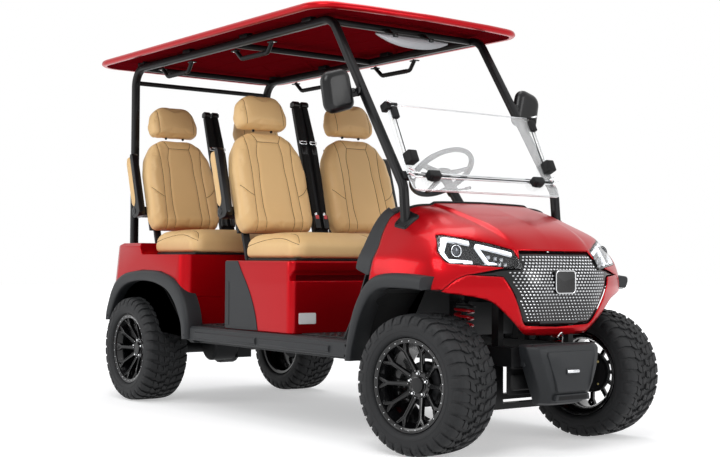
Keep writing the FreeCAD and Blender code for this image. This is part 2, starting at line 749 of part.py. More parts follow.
def front_body():
    """Hood and fender shell, chin frame, grille plate, headlamps and the dark cowl sides."""
    shell = front_shell(0.0, PANEL_WALL)
    side_cut = side_prism([(150, 1200)] + list(FRONT_SIDE_CURVE) + [(310, 300), (900, 300), (900, 1200)],
                          (-700.0, 700.0))
    cowl_keep = box((-COWL_HALF, COWL_HALF), (100.0, COWL_REAR), (COWL_LOW, 1200.0))
    chin = outline_cutter(CHIN_OUTLINE)
    below = box((-700.0, 700.0), (-400.0, 800.0), (300.0, FENDER_LOW))
    arch_line = offset(FRONT_FLARE_OUTER, RUNNING_GAP, False) + [(600, 300), (-215, 300)]
    arch = side_prism(arch_line, (-700.0, 700.0))
    hood = shell.cut(side_cut.cut(cowl_keep)).cut(outline_cutter(CHIN_OUTLINE, PANEL_GAP)).cut(below)
    hood = hood.cut(outline_cutter(LAMP_OUTLINE)).cut(arch)
    nose_zone = box((-700.0, 700.0), (-400.0, 60.0), (300.0, 1100.0))
    chin_sheet = shell.common(chin).common(nose_zone).cut(outline_cutter(GRILLE_OUTLINE))
    chin_sheet = chin_sheet.cut(outline_cutter(LAMP_OUTLINE, PANEL_GAP)).cut(arch)
    seat = PANEL_WALL + RUNNING_GAP
    plate = front_shell(seat, seat + 10.0).common(nose_zone).common(outline_cutter(GRILLE_OUTLINE, 10.0))
    lens = front_shell(seat, seat + 40.0).common(nose_zone).cut(arch)
    keep("front_body", biggest(hood), biggest(chin_sheet))
    keep("grille", biggest(plate.cut(outline_cutter(LAMP_OUTLINE, 6.5))))
    lamps = lens.common(outline_cutter(LAMP_OUTLINE, 6.0)).Solids
    gap = RUNNING_GAP
    front_edge = [(y + gap, z) for y, z in FRONT_SIDE_CURVE]
    zone = side_prism(front_edge + list(reversed(TRIM_REAR_CURVE)), (300.0, 700.0))
    zone = zone.cut(box((0, COWL_HALF + gap), (100.0, COWL_REAR + gap), (COWL_LOW - gap, 1200.0)))
    trim = biggest(front_shell(0.0, PANEL_WALL + 3.0).common(zone).cut(arch))
    return both_sides(trim), lamps


FRONT_FLARE_OUTER = ((-194, 735), (-129, 740), (66, 748), (190, 738), (262, 716), (330, 625),
                     (392, 500), (415, 362))
FRONT_FLARE_INNER = ((-165, 680), (42, 686), (185, 680), (235, 662), (300, 590), (360, 495),
                     (385, 362))
REAR_FLARE_OUTER = ((1800, 380), (1795, 480), (1865, 585), (1985, 694), (2125, 731), (2345, 738),
                    (2560, 716), (2665, 680), (2745, 570), (2776, 520), (2782, 440))
REAR_FLARE_INNER = ((1905, 380), (1955, 455), (2050, 540), (2150, 628), (2262, 672), (2440, 680),
                    (2615, 666), (2690, 600), (2728, 520), (2742, 440))
FLARE_INBOARD = 520.0
FLARE_WALL = 6.0
LINER_WALL = 3.0
LINER_OUTER = 560.0
LINER_INBOARD_FRONT = 345.0
LINER_INBOARD_REAR = 360.0


def flare(outer, inner):
    """A wheel-arch flare: a hollow band with a closed outer face, open towards the body."""
    outline = list(outer) + list(reversed(inner))
    band = side_prism(outline, (FLARE_INBOARD, FLARE_HALF))
    hollow = side_prism(inset(outline, FLARE_WALL), (FLARE_INBOARD - 1.0, FLARE_HALF - FLARE_WALL))
    return band.cut(hollow)


@functools.lru_cache(maxsize=None)
def flare_zone():
    """The space of all four flares with a running gap round them."""
    pieces = []
    for outer, inner in ((FRONT_FLARE_OUTER, FRONT_FLARE_INNER), (REAR_FLARE_OUTER, REAR_FLARE_INNER)):
        band = inset(list(outer) + list(reversed(inner)), -RUNNING_GAP)
        pieces.extend(both_sides(side_prism(band, (FLARE_INBOARD - RUNNING_GAP, 700.0))))
    return pieces[0].multiFuse(pieces[1:])


def liner(inner, inboard):
    """The sheet over the top of a wheel, seated inside the flare's lower edge."""
    outer_line = offset(inner, -RUNNING_GAP, False)
    inner_line = offset(inner, -RUNNING_GAP - LINER_WALL, False)
    return side_prism(outer_line + list(reversed(inner_line)), (inboard, LINER_OUTER))


def flares():
    """The dark arch flares over the four wheels, and the liner sheets inside them."""
    front_line = [(-135, 681)] + list(FRONT_FLARE_INNER[1:])
    pieces = both_sides(flare(FRONT_FLARE_OUTER, FRONT_FLARE_INNER))
    pieces += both_sides(flare(REAR_FLARE_OUTER, REAR_FLARE_INNER))
    pieces += both_sides(liner(front_line, LINER_INBOARD_FRONT))
    pieces += both_sides(liner(REAR_FLARE_INNER, LINER_INBOARD_REAR))
    keep("wheel_flares", *pieces)


# Floor, sills, seat boxes and rear body

TOE_LINE = ((TOE_BOARD_FOOT, FLOOR_TOP), (430.0, 590.0), (345.0, 770.0), (330.0, 930.0))
TRIM_CURVE = ((1345.0, SEAT_BOX_TOP), (1300.0, 690.0), (1215.0, 560.0), (1160.0, FLOOR_TOP))
SILL_BOTTOM = 362.0


def floor():
    """Floor pan with its sloping toe board, and the two foot-well mats."""
    top = [(REAR_BODY_REAR, FLOOR_TOP)] + list(TOE_LINE)
    under = [(y - FLOOR_PLATE, z - FLOOR_PLATE * 0.5) for y, z in reversed(TOE_LINE[1:])]
    under += [(TOE_BOARD_FOOT - FLOOR_PLATE, RAIL_TOP), (REAR_BODY_REAR, RAIL_TOP)]
    pan = side_prism(top + under, (-FLOOR_HALF, FLOOR_HALF))
    well = box((-FLOOR_HALF - 1.0, FLOOR_HALF + 1.0), (REAR_BODY_FRONT + 10.0, REAR_BODY_REAR + 1.0),
               (RAIL_TOP - 1.0, FLOOR_TOP + 1.0))
    side_wells = well.cut(box((-RAIL_OUTER, RAIL_OUTER), (1800.0, 3000.0), (0, 1000.0)))
    above = box((-700.0, 700.0), (300.0, 400.0), (700.0, 1000.0))
    above = above.cut(nose_shape(PANEL_WALL + 3.0 + RUNNING_GAP))
    pan = pan.cut(side_wells).cut(above)
    keep("floor_pan", biggest(pan.cut(flare_zone())))
    mat_half = FLOOR_HALF - 15.0
    front_mat = box((-mat_half, mat_half), (TOE_BOARD_FOOT + 10.0, SEAT_BOX_FRONT - 10.0),
                    (FLOOR_TOP, FLOOR_TOP + MAT_THICKNESS))
    rear_mat = box((-mat_half, mat_half), (SEAT_BOX_REAR + 12.0, REAR_BODY_FRONT - 12.0),
                   (FLOOR_TOP, FLOOR_TOP + MAT_THICKNESS))
    keep("floor_mats", front_mat, biggest(rear_mat.cut(flare_zone())))


def sills():
    """Running boards along both sides, with two raised pads on each."""
    outline = [(FLOOR_HALF, FLOOR_TOP), (SILL_HALF - 12.0, FLOOR_TOP), (SILL_HALF, FLOOR_TOP - 12.0),
               (SILL_HALF, SILL_BOTTOM + 20.0), (SILL_HALF - 25.0, SILL_BOTTOM), (FLOOR_HALF, SILL_BOTTOM)]
    outline = [(max(x, FLOOR_HALF + RUNNING_GAP), z) for x, z in outline]
    sill = front_prism(outline, (380.0, 1830.0))
    hollow = box((FLOOR_HALF + 8.0, SILL_HALF - 8.0), (430.0, 1784.0), (SILL_BOTTOM - 1.0, FLOOR_TOP - 8.0))
    sill = sill.cut(hollow)
    sill = biggest(sill.cut(flare_zone()))
    for start, end in ((540.0, 1110.0), (1150.0, 1740.0)):
        pad = front_prism([(SILL_HALF, FLOOR_TOP - 25.0), (SILL_HALF + 8.0, FLOOR_TOP - 32.0),
                           (SILL_HALF + 8.0, SILL_BOTTOM + 32.0), (SILL_HALF, SILL_BOTTOM + 25.0)],
                          (start, end))
        sill = sill.fuse(pad)
    keep("sills", *both_sides(sill.removeSplitter()))


def seat_box():
    """Front seat box shell; returns its dark rear corner panels."""
    shell = thin_box((-BODY_HALF, BODY_HALF), (SEAT_BOX_FRONT, SEAT_BOX_REAR), (FLOOR_TOP, SEAT_BOX_TOP),
                     PANEL_WALL, 60.0)
    above = (TRIM_CURVE[0][0], SEAT_BOX_TOP + 1.0)
    below = (TRIM_CURVE[-1][0], FLOOR_TOP - 1.0)
    trim_side = [(SEAT_BOX_REAR + 1.0, SEAT_BOX_TOP + 1.0), above] + list(TRIM_CURVE)
    trim_side += [below, (SEAT_BOX_REAR + 1.0, FLOOR_TOP - 1.0)]
    zone = side_prism(trim_side, (BODY_HALF - 70.0, BODY_HALF + 40.0))
    body = shell.cut(zone).cut(mirrored(zone))
    seam = [(y + RUNNING_GAP, z) for y, z in trim_side]
    trim = shell.common(side_prism(seam, (BODY_HALF - 70.0 + RUNNING_GAP, BODY_HALF + 40.0)))
    keep("front_seat_box", biggest(body))
    return both_sides(biggest(trim))


def rear_form(drawn_in):
    """The rear body as one closed form, drawn in on its top and sides."""
    rear_top = SEAT_BOX_TOP + REAR_SEAT_RISE
    profile = [(REAR_BODY_FRONT, FLOOR_TOP - 40.0), (REAR_BODY_FRONT, rear_top), (2360.0, rear_top),
               (2395.0, REAR_DECK_TOP), (2660.0, REAR_DECK_TOP), (2740.0, 868.0), (2790.0, 800.0),
               (REAR_BODY_REAR, 640.0), (REAR_BODY_REAR, FLOOR_TOP - 40.0)]
    half = SILL_HALF - 5.0
    front = REAR_BODY_FRONT
    plan = arc_corners([(-half, front), (half, front), (half, REAR_BODY_REAR), (-half, REAR_BODY_REAR)],
                       [60.0, 60.0, 130.0, 130.0])
    ends = [(half, FLOOR_TOP - 40.0), (half, REAR_DECK_TOP - 20.0), (half - 20.0, REAR_DECK_TOP + 5.0),
            (20.0 - half, REAR_DECK_TOP + 5.0), (-half, REAR_DECK_TOP - 20.0), (-half, FLOOR_TOP - 40.0)]
    side_view = side_prism(inset(profile, drawn_in) if drawn_in else profile, (-half, half))
    top_view = plan_prism(inset(plan, drawn_in) if drawn_in else plan, (FLOOR_TOP - 60.0, 1000.0))
    end_view = front_prism(inset(ends, drawn_in) if drawn_in else ends, (front, REAR_BODY_REAR))
    return side_view.common(top_view).common(end_view)


def rear_body():
    """Rear body: box front, fenders over the wheels and the closed tail, hollow inside."""
    above_floor = box((-700.0, 700.0), (1800.0, 3000.0), (FLOOR_TOP, 1000.0))
    solid = rear_form(0.0).common(above_floor)
    arch = side_prism(inset(list(REAR_FLARE_OUTER) + [(2782.0, 300.0), (1800.0, 300.0)], -RUNNING_GAP),
                      (LINER_INBOARD_REAR, 700.0))
    shell = solid.cut(rear_form(PANEL_WALL)).cut(arch).cut(mirrored(arch))
    keep("rear_body", biggest(shell))


# Seats

SEAT_CENTRE = 290.0
BACK_WIDTH = 460.0
CUSHION_HALF = 545.0
CUSHION_DEPTH = 470.0
CUSHION_HEIGHT = 130.0
FRONT_CUSHION_Y = 905.0
REAR_CUSHION_Y = 1870.0
BACK_HEIGHT = 560.0
BACK_THICKNESS = 105.0
BACK_RECLINE = 17.0
BACK_FOOT_Y = 1395.0
BACK_FOOT_Z = 950.0
HEADREST_GAP = 22.0
HEADREST_HEIGHT = 175.0
ARMREST_INNER = SEAT_CENTRE + BACK_WIDTH / 2.0 + 6.0
ARMREST_WIDTH = 40.0
ARMREST_FRONT = 72.0
ARMREST_REAR = 165.0
ARMREST_TOP = 440.0
ARMREST_PIVOT = (140.0, 135.0)


def seats():
    """Bench cushions, backrests, headrests, armrests, belts and their black carriers."""
    cushions = []
    backs = []
    headrests = []
    carriers = []
    belts = []
    for label, y, rise in (("front", FRONT_CUSHION_Y, 0.0), ("rear", REAR_CUSHION_Y, REAR_SEAT_RISE)):
        base = SEAT_BOX_TOP + rise + 12.0
        cushions.append(cushion(y, base))
        carriers.append(box((-CUSHION_HALF + 20.0, CUSHION_HALF - 20.0), (y + 20.0, y + CUSHION_DEPTH - 20.0),
                            (SEAT_BOX_TOP + rise, base)))
        foot = y - FRONT_CUSHION_Y + BACK_FOOT_Y
        floor_form = box((-700.0, 700.0), (foot - 200.0, foot + 200.0), (0, SEAT_BOX_TOP))
        if label == "rear":
            floor_form = rear_form(0.0)
        floor_form.translate(point(0, 0, RUNNING_GAP))
        for side, word in ((1, "left"), (-1, "right")):
            backs.append(backrest(side, foot, rise))
            headrests.append(headrest(side, foot, rise))
            carriers.append(biggest(seat_carrier(side, foot, rise).cut(floor_form)))
            carriers.extend(headrest_posts(side, foot, rise))
            keep("armrest_" + label + "_" + word, *armrest(side, foot, rise))
            belts.extend(belt(side, foot, rise))
        post = reclined(box((-44.0, 44.0), (67.3, 92.0), (-260.0, 735.0)), foot, rise)
        carriers.append(biggest(post.cut(floor_form)))
    keep("seat_cushions", *cushions)
    keep("backrests", *backs)
    keep("headrests", *headrests)
    keep("seat_frames", *carriers)
    keep("seat_belts", *belts)


def cushion(y, base):
    """A bench cushion with rounded corners and a rolled top edge."""
    half = CUSHION_HALF
    outline = arc_corners([(-half, y), (half, y), (half, y + CUSHION_DEPTH), (-half, y + CUSHION_DEPTH)],
                          [70.0, 70.0, 35.0, 35.0])
    top = base + CUSHION_HEIGHT
    levels = ((base, 6.0), (base + 12.0, 0.0), (top - 38.0, 0.0), (top - 12.0, 10.0), (top, 34.0))
    return stepped(outline, levels, point)


def reclined(shape, foot, rise):
    """Lean an upright seat piece back about the foot of its backrest."""
    pivot = point(0, foot, BACK_FOOT_Z + rise)
    moved = shape.copy()
    moved.translate(pivot)
    moved.rotate(pivot, point(1, 0, 0), -BACK_RECLINE)
    return moved


def front_place(across, height, depth):
    """Place a seat outline drawn in front view: its levels run backwards."""
    return point(across, depth, height)


def backrest(side, foot, rise):
    """A high backrest: narrower at its top, its edges rolled over front and back."""
    half = BACK_WIDTH / 2.0
    outline = [(-half + 25.0, 0), (half - 25.0, 0), (half, 60.0), (half, 340.0), (half - 25.0, 440.0),
               (half - 60.0, BACK_HEIGHT - 22.0), (half - 105.0, BACK_HEIGHT), (-half + 105.0, BACK_HEIGHT),
               (-half + 60.0, BACK_HEIGHT - 22.0), (-half + 25.0, 440.0), (-half, 340.0), (-half, 60.0)]
    levels = ((0.0, 34.0), (10.0, 12.0), (34.0, 0.0), (BACK_THICKNESS - 14.0, 0.0), (BACK_THICKNESS, 12.0))
    solid = stepped(outline, levels, front_place)
    solid.translate(point(side * SEAT_CENTRE, 0, 0))
    return reclined(solid, foot, rise)


def headrest(side, foot, rise):
    """A rounded headrest block above its backrest."""
    low = BACK_HEIGHT + HEADREST_GAP
    high = low + HEADREST_HEIGHT
    outline = arc_corners([(-155.0, low), (155.0, low), (140.0, high), (-140.0, high)],
                          [45.0, 45.0, 55.0, 55.0], 2)
    levels = ((-12.0, 32.0), (-2.0, 10.0), (18.0, 0.0), (78.0, 0.0), (98.0, 14.0))
    block = stepped(outline, levels, front_place)
    block.translate(point(side * SEAT_CENTRE, 0, 0))
    return reclined(block, foot, rise)


def headrest_posts(side, foot, rise):
    """Two short posts between a backrest and its headrest."""
    posts = []
    for across in (-62.0, 50.0):
        post = box((across, across + 12.0), (38.0, 50.0),
                   (BACK_HEIGHT + RUNNING_GAP, BACK_HEIGHT + HEADREST_GAP - RUNNING_GAP))
        post.translate(point(side * SEAT_CENTRE, 0, 0))
        posts.append(reclined(post, foot, rise))
    return posts


def seat_carrier(side, foot, rise):
    """The black back shell of one seat, its legs, and the bracket that carries the armrest."""
    half = BACK_WIDTH / 2.0
    back = BACK_THICKNESS + RUNNING_GAP
    shell = box((-half + 30.0, half - 30.0), (back, BACK_THICKNESS + 22.0), (20.0, BACK_HEIGHT - 40.0))
    pieces = []
    for across in (-half + 55.0, half - 95.0):
        depth = (BACK_THICKNESS + 2.0, BACK_THICKNESS + 22.0)
        pieces.append(box((across, across + 40.0), depth, (-260.0, 30.0)))
    low = ARMREST_PIVOT[1] - 25.0
    reach = ARMREST_INNER - SEAT_CENTRE - RUNNING_GAP
    bracket = box((half - 60.0, reach), (back, ARMREST_REAR - 5.0), (low, low + 50.0))
    if side < 0:
        bracket = mirrored(bracket)
    whole = shell.multiFuse(pieces + [bracket])
    whole.translate(point(side * SEAT_CENTRE, 0, 0))
    return reclined(whole, foot, rise)


def armrest(side, foot, rise):
    """An armrest folded up beside its backrest: the black arm with its tan pad behind."""
    inner = ARMREST_INNER
    outer = inner + ARMREST_WIDTH
    split = 106.0
    arm_side = [(ARMREST_FRONT, 100.0), (ARMREST_REAR - 20.0, 100.0), (ARMREST_REAR, 120.0),
                (ARMREST_REAR, 165.0),
                (split, 170.0), (split, ARMREST_TOP - 25.0), (split - 12.0, ARMREST_TOP),
                (ARMREST_FRONT + 10.0, ARMREST_TOP), (ARMREST_FRONT, ARMREST_TOP - 20.0)]
    arm = side_prism(arm_side, (inner, outer))
    boss = Part.makeCylinder(14.0, ARMREST_WIDTH + 4.0, point(inner, *ARMREST_PIVOT), point(1, 0, 0))
    arm = arm.fuse(boss)
    near = split + RUNNING_GAP
    pad_outline = [(near, 176.0), (ARMREST_REAR - 14.0, 176.0), (ARMREST_REAR, 190.0),
                   (ARMREST_REAR, ARMREST_TOP - 22.0), (ARMREST_REAR - 18.0, ARMREST_TOP - 2.0),
                   (near, ARMREST_TOP - 2.0)]
    levels = ((inner, 6.0), (inner + 8.0, 0.0), (outer - 8.0, 0.0), (outer, 6.0))
    pad = stepped(pad_outline, levels, side_place)
    pieces = [arm, pad]
    if side < 0:
        pieces = [mirrored(piece) for piece in pieces]
    return [reclined(piece, foot, rise) for piece in pieces]


def side_place(along, height, across):
    """Place an outline drawn in side view: its levels run across the cart."""
    return point(across, along, height)


def belt(side, foot, rise):
    """One belt on the centre post: its strap, the guide above and the buckle."""
    strap = box((12.0, 42.0), (63.7, 67.0), (-60.0, 734.0))
    guide = box((8.0, 50.0), (52.0, 100.0), (735.0 + RUNNING_GAP, 766.0))
    buckle = box((12.0, 42.0), (44.0, 63.4), (30.0, 105.0))
    pieces = [strap, guide, buckle]
    if side < 0:
        pieces = [mirrored(piece) for piece in pieces]
    return [reclined(piece, foot, rise) for piece in pieces]


# Roof, its frame, windshield and mirrors

PILLAR_X = 460.0
PILLAR_WIDTH = 40.0
PILLAR_DEPTH = 55.0
PILLAR_FOOT = (176.0, 840.0)
PILLAR_KNEE = (203.0, 1120.0)
PILLAR_TOP = (725.0, 1918.0)
ROOF_HALF = 645.0
ROOF_FRONT = 550.0
ROOF_REAR = WHEELBASE + REAR_OVERHANG
REAR_PILLAR_Y = 2735.0
REAR_BAR_Z = 1845.0
ROOF_RIM = 28.0
ROOF_SKIN = 8.0
ROOF_RADIUS = 2400.0
ROOF_SEATS = (930.0, 1500.0, 2100.0, 2640.0)
HANDLE_SPANS = ((1250.0, 1600.0), (2060.0, 2400.0))
HANDLE_DROP = 52.0
HANDLE_RADIUS = 11.0
FOOT_PLATE = 8.0


def side_frame():
    """One side's pillars and roof rail as a single bent box tube."""
    rail_z = PILLAR_TOP[1]
    corners = [point(PILLAR_X, *PILLAR_FOOT), point(PILLAR_X, *PILLAR_KNEE),
               point(PILLAR_X, PILLAR_TOP[0], rail_z), point(PILLAR_X, REAR_PILLAR_Y, rail_z),
               point(PILLAR_X, REAR_PILLAR_Y, SEAT_BOX_TOP)]
    tube = square_tube(corners, PILLAR_WIDTH, PILLAR_DEPTH, 70.0)
    rear_floor = rear_form(0.0)
    rear_floor.translate(point(0, 0, RUNNING_GAP))
    tube = biggest(tube.cut(nose_shape(-RUNNING_GAP)).cut(rear_floor))
    reach = (PILLAR_X - 34.0, PILLAR_X + 48.0)
    zone = box(reach, (110.0, 235.0), (860.0, 1030.0))
    plate = front_shell(-RUNNING_GAP - FOOT_PLATE, -RUNNING_GAP).common(zone)
    return tube.fuse(biggest(plate))


def roof_frame():
    """Windshield pillars, roof rails, rear pillars, cross bars, roof seats and grab handles."""
    rail_z = PILLAR_TOP[1]
    pieces = both_sides(side_frame())
    for y, z, size in ((PILLAR_TOP[0] + 60.0, rail_z, 34.0), (1640.0, rail_z, 34.0),
                       (REAR_PILLAR_Y - 60.0, rail_z, 34.0), (REAR_PILLAR_Y, REAR_BAR_Z, 26.0)):
        half = size / 2.0
        pieces.append(box((-PILLAR_X, PILLAR_X), (y - half, y + half), (z - half, z + half)))
    edge = PILLAR_X + PILLAR_WIDTH / 2.0
    crown_drop = ROOF_RADIUS - math.sqrt(ROOF_RADIUS ** 2 - edge ** 2)
    seat_top = ROOF_CROWN - ROOF_SKIN - crown_drop - RUNNING_GAP
    for y in ROOF_SEATS:
        seat = box((edge - PILLAR_WIDTH, edge), (y - 40.0, y + 40.0), (rail_z, seat_top))
        pieces.extend(both_sides(seat))
    handles = []
    top = rail_z - PILLAR_DEPTH / 2.0 - RUNNING_GAP
    for start, end in HANDLE_SPANS:
        corners = [point(PILLAR_X, start, top), point(PILLAR_X, start, top - HANDLE_DROP),
                   point(PILLAR_X, end, top - HANDLE_DROP), point(PILLAR_X, end, top)]
        handles.extend(both_sides(round_tube(corners, HANDLE_RADIUS, 28.0, 6)))
    keep("roof_frame", pieces[0].multiFuse(pieces[1:]).removeSplitter())
    keep("grab_handles", *handles)


def roof_outline(drawn_in):
    """The roof's plan: rounded corners and a gently bowed front edge."""
    half = ROOF_HALF
    corners = [(-half, ROOF_REAR), (-half, ROOF_FRONT + 48.0), (-half * 0.6, ROOF_FRONT + 16.0),
               (0, ROOF_FRONT),
               (half * 0.6, ROOF_FRONT + 16.0), (half, ROOF_FRONT + 48.0), (half, ROOF_REAR)]
    return inset(arc_corners(corners, [85.0, 75.0, 600.0, 900.0, 600.0, 75.0, 85.0]), drawn_in)


def roof_form(drawn_in, drop):
    """The roof's plan pushed up and trimmed by a broad cylinder along the cart."""
    prism = plan_prism(roof_outline(drawn_in), (ROOF_EDGE_BOTTOM, ROOF_EDGE_BOTTOM + 300.0))
    low = point(0, -500.0, ROOF_CROWN - ROOF_RADIUS - drop)
    crown = Part.makeCylinder(ROOF_RADIUS, 4000.0, low, point(0, 1, 0))
    return prism.common(crown)


def roof():
    """The moulded roof: a deep rim round a thin crowned skin, hollow below."""
    outer = roof_form(1e-3, 0.0)
    inner = roof_form(ROOF_RIM, ROOF_SKIN)
    keep("roof", outer.cut(inner))


GLASS = 5.0
GLASS_HALF = 445.0
GLASS_LINE = ((150.0, 1096.0), (232.0, 1243.0), (352.0, 1492.0))
CLAMP_SIZE = 40.0


def ahead_of_pillar(place, clear):
    """The point of the pillar's front face nearest to a place, kept clear of it."""
    knee = point(0, *PILLAR_KNEE)
    along = (point(0, *PILLAR_TOP) - knee).normalize()
    ahead = point(0, -along.z, along.y)
    distance = (place - knee).dot(ahead) - PILLAR_DEPTH / 2.0
    return place - ahead * (distance - clear)


def windshield():
    """Two clear panels that meet edge to edge, and the blocks that clamp them to the pillars."""
    foot, joint, head = [point(0, y, z) for y, z in GLASS_LINE]
    panels = []
    clamps = []
    hinge_side = []
    for start, end, part in ((foot, joint, 0.72), (joint, head, 0.74)):
        along = (end - start).normalize()
        ahead = point(0, -along.z, along.y)
        first = start + along * 3.0
        last = end - along * 3.0
        ring = [first, last, last + ahead * GLASS, first + ahead * GLASS]
        panels.append(side_prism([(p.y, p.z) for p in ring], (-GLASS_HALF, GLASS_HALF)))
        middle = start + (end - start) * part
        low = middle - along * (CLAMP_SIZE / 2.0) - ahead * RUNNING_GAP
        high = middle + along * (CLAMP_SIZE / 2.0) - ahead * RUNNING_GAP
        ring = [low, high, ahead_of_pillar(high, RUNNING_GAP), ahead_of_pillar(low, RUNNING_GAP)]
        clamps.extend(both_sides(side_prism([(p.y, p.z) for p in ring], (422.0, 468.0))))
        face = ahead * (GLASS + RUNNING_GAP)
        cube = [low + face, high + face, high + face + ahead * 26.0, low + face + ahead * 26.0]
        clamps.extend(both_sides(side_prism([(p.y, p.z) for p in cube], (GLASS_HALF - 36.0, GLASS_HALF))))
        near = joint + along * (26.0 if start is joint else -26.0)
        hinge_side.append((near, joint, ahead))
    (low, middle, ahead_low), (high, middle, ahead_high) = hinge_side
    bisector = (ahead_low + ahead_high).normalize()
    skin = GLASS + RUNNING_GAP
    ring = [low + ahead_low * skin, middle + bisector * skin, high + ahead_high * skin,
            high + ahead_high * (skin + 12.0), middle + bisector * (skin + 12.0),
            low + ahead_low * (skin + 12.0)]
    for x in HINGE_PLACES:
        clamps.extend(both_sides(side_prism([(p.y, p.z) for p in ring], (x - 28.0, x + 28.0))))
    keep("windshield", *panels)
    keep("windshield_clamps", *clamps)


HINGE_PLACES = (170.0,)


def mirrors():
    """Side mirrors on short arms, and the wide mirror under the roof's front edge."""
    outline = arc_corners([(500.0, 1462.0), (668.0, 1450.0), (676.0, 1640.0), (512.0, 1648.0)],
                          [30.0, 40.0, 45.0, 30.0], 3)
    head = stepped(outline, ((498.0, 26.0), (506.0, 6.0), (528.0, 0.0), (538.0, 6.0)), front_place)
    edge = PILLAR_X + PILLAR_WIDTH / 2.0 + RUNNING_GAP
    arm = box((edge, 520.0), (482.0, 512.0), (1548.0, 1572.0))
    wide_outline = arc_corners([(-226.0, 1828.0), (226.0, 1828.0), (226.0, 1890.0), (-226.0, 1890.0)],
                               [20.0, 20.0, 20.0, 20.0], 2)
    wide = stepped(wide_outline, ((698.0, 8.0), (704.0, 0.0), (720.0, 0.0)), front_place)
    bar_front = PILLAR_TOP[0] + 60.0 - 17.0
    bracket = box((-22.0, 22.0), (715.0, bar_front - RUNNING_GAP), (1872.0, 1925.0))
    keep("mirrors", *both_sides(head.fuse(arm)), wide.fuse(bracket))


# Cabin, bumper and steering

WHEEL_CENTRE = (270.0, 800.0, 1245.0)
COLUMN_ANGLE = 40.0
STEERING_RADIUS = 178.0
COLUMN_RADIUS = 24.0
COLUMN_LENGTH = 600.0
HUB_DEPTH = 45.0
DASH_HALF = 540.0
DASH_REAR_HALF = 440.0


def column_axis():
    """Unit direction of the steering column, from its foot up to the driver."""
    lean = math.radians(COLUMN_ANGLE)
    return point(0, math.sin(lean), math.cos(lean))


def steering():
    """Steering wheel with its three spokes and hub, and the column below it."""
    axis = column_axis()
    centre = point(*WHEEL_CENTRE)
    section = []
    for index in range(6):
        angle = math.pi * (index + 0.5) / 3.0
        section.append((13.0 * math.cos(angle), STEERING_RADIUS + 14.0 * math.sin(angle)))
    hub = [(-HUB_DEPTH, 0), (-HUB_DEPTH, 40.0), (-20.0, 50.0), (-6.0, 50.0), (0, 40.0), (0, 0)]
    pieces = [turned(hub, 16)]
    for angle in (0.0, 105.0, 255.0):
        bar = box((-17.0, -8.0), (-15.0, 15.0), (30.0, STEERING_RADIUS - 4.0))
        bar.rotate(point(0, 0, 0), point(1, 0, 0), angle)
        pieces.append(bar)
    whole = turned(section, 24).multiFuse(pieces)
    turn = FreeCAD.Rotation(axis, point(1, 0, 0), point(0, axis.z, -axis.y), "XYZ")
    whole.Placement = FreeCAD.Placement(centre, turn)
    keep("steering_wheel", whole)
    length = COLUMN_LENGTH - HUB_DEPTH - RUNNING_GAP
    column = Part.makeCylinder(COLUMN_RADIUS, length, centre - axis * COLUMN_LENGTH, axis)
    keep("steering_controls", column, *pedals())


def toe_board_y(z):
    """Where the rear face of the bulkhead and toe board stands at a height."""
    for (low_y, low_z), (high_y, high_z) in zip(TOE_LINE, TOE_LINE[1:]):
        if z <= high_z:
            return low_y + (high_y - low_y) * (z - low_z) / (high_z - low_z)
    return TOE_LINE[-1][0]


def dashboard():
    """The dashboard across the cart behind the cowl, with the housing round the column."""
    front = COWL_REAR + RUNNING_GAP
    ledge = TOE_LINE[-1][1] + RUNNING_GAP
    outline = [(front, 1040.0), (400.0, 1036.0), (470.0, 1018.0), (510.0, 990.0), (530.0, 930.0),
               (470.0, 850.0),
               (toe_board_y(820.0) + RUNNING_GAP, 820.0), (TOE_LINE[-1][0] + RUNNING_GAP, ledge),
               (front, ledge)]
    whole = side_prism(outline, (-DASH_HALF, DASH_HALF))
    housing = side_prism([(400.0, 1000.0), (470.0, 1062.0), (560.0, 1068.0), (610.0, 1020.0), (585.0, 910.0),
                          (500.0, 812.0), (400.0, 850.0)], (WHEEL_CENTRE[0] - 62.0, WHEEL_CENTRE[0] + 62.0))
    under_cowl = whole.common(nose_shape(PANEL_WALL + 3.0 + RUNNING_GAP))
    behind = whole.common(box((-DASH_REAR_HALF, DASH_REAR_HALF), (455.0, 700.0), (700.0, 1100.0)))
    axis = column_axis()
    foot = point(*WHEEL_CENTRE) - axis * (COLUMN_LENGTH + 60.0)
    bore = Part.makeCylinder(COLUMN_RADIUS + RUNNING_GAP, 600.0, foot, axis)
    keep("dashboard", biggest(under_cowl.multiFuse([behind, housing]).cut(bore)))


PEDAL_PLACES = ((190.0, 44.0), (318.0, 28.0))


def pedals():
    """Brake and accelerator plates on short arms from the sloping toe board."""
    low = point(0, *TOE_LINE[0])
    high = point(0, *TOE_LINE[1])
    up = (high - low).normalize()
    back = point(0, up.z, -up.y)
    foot = low + (high - low) * 0.52
    pieces = []
    for x, half in PEDAL_PLACES:
        arm = [foot + back * RUNNING_GAP - up * 14.0, foot + back * RUNNING_GAP + up * 14.0,
               foot + back * 78.0 + up * 10.0, foot + back * 78.0 - up * 10.0]
        plate = [foot + back * 72.0 - up * 44.0, foot + back * 72.0 + up * 44.0,
                 foot + back * 84.0 + up * 44.0, foot + back * 84.0 - up * 44.0]
        bar = side_prism([(p.y, p.z) for p in arm], (x - 8.0, x + 8.0))
        pieces.append(bar.fuse(side_prism([(p.y, p.z) for p in plate], (x - half, x + half))))
    return pieces


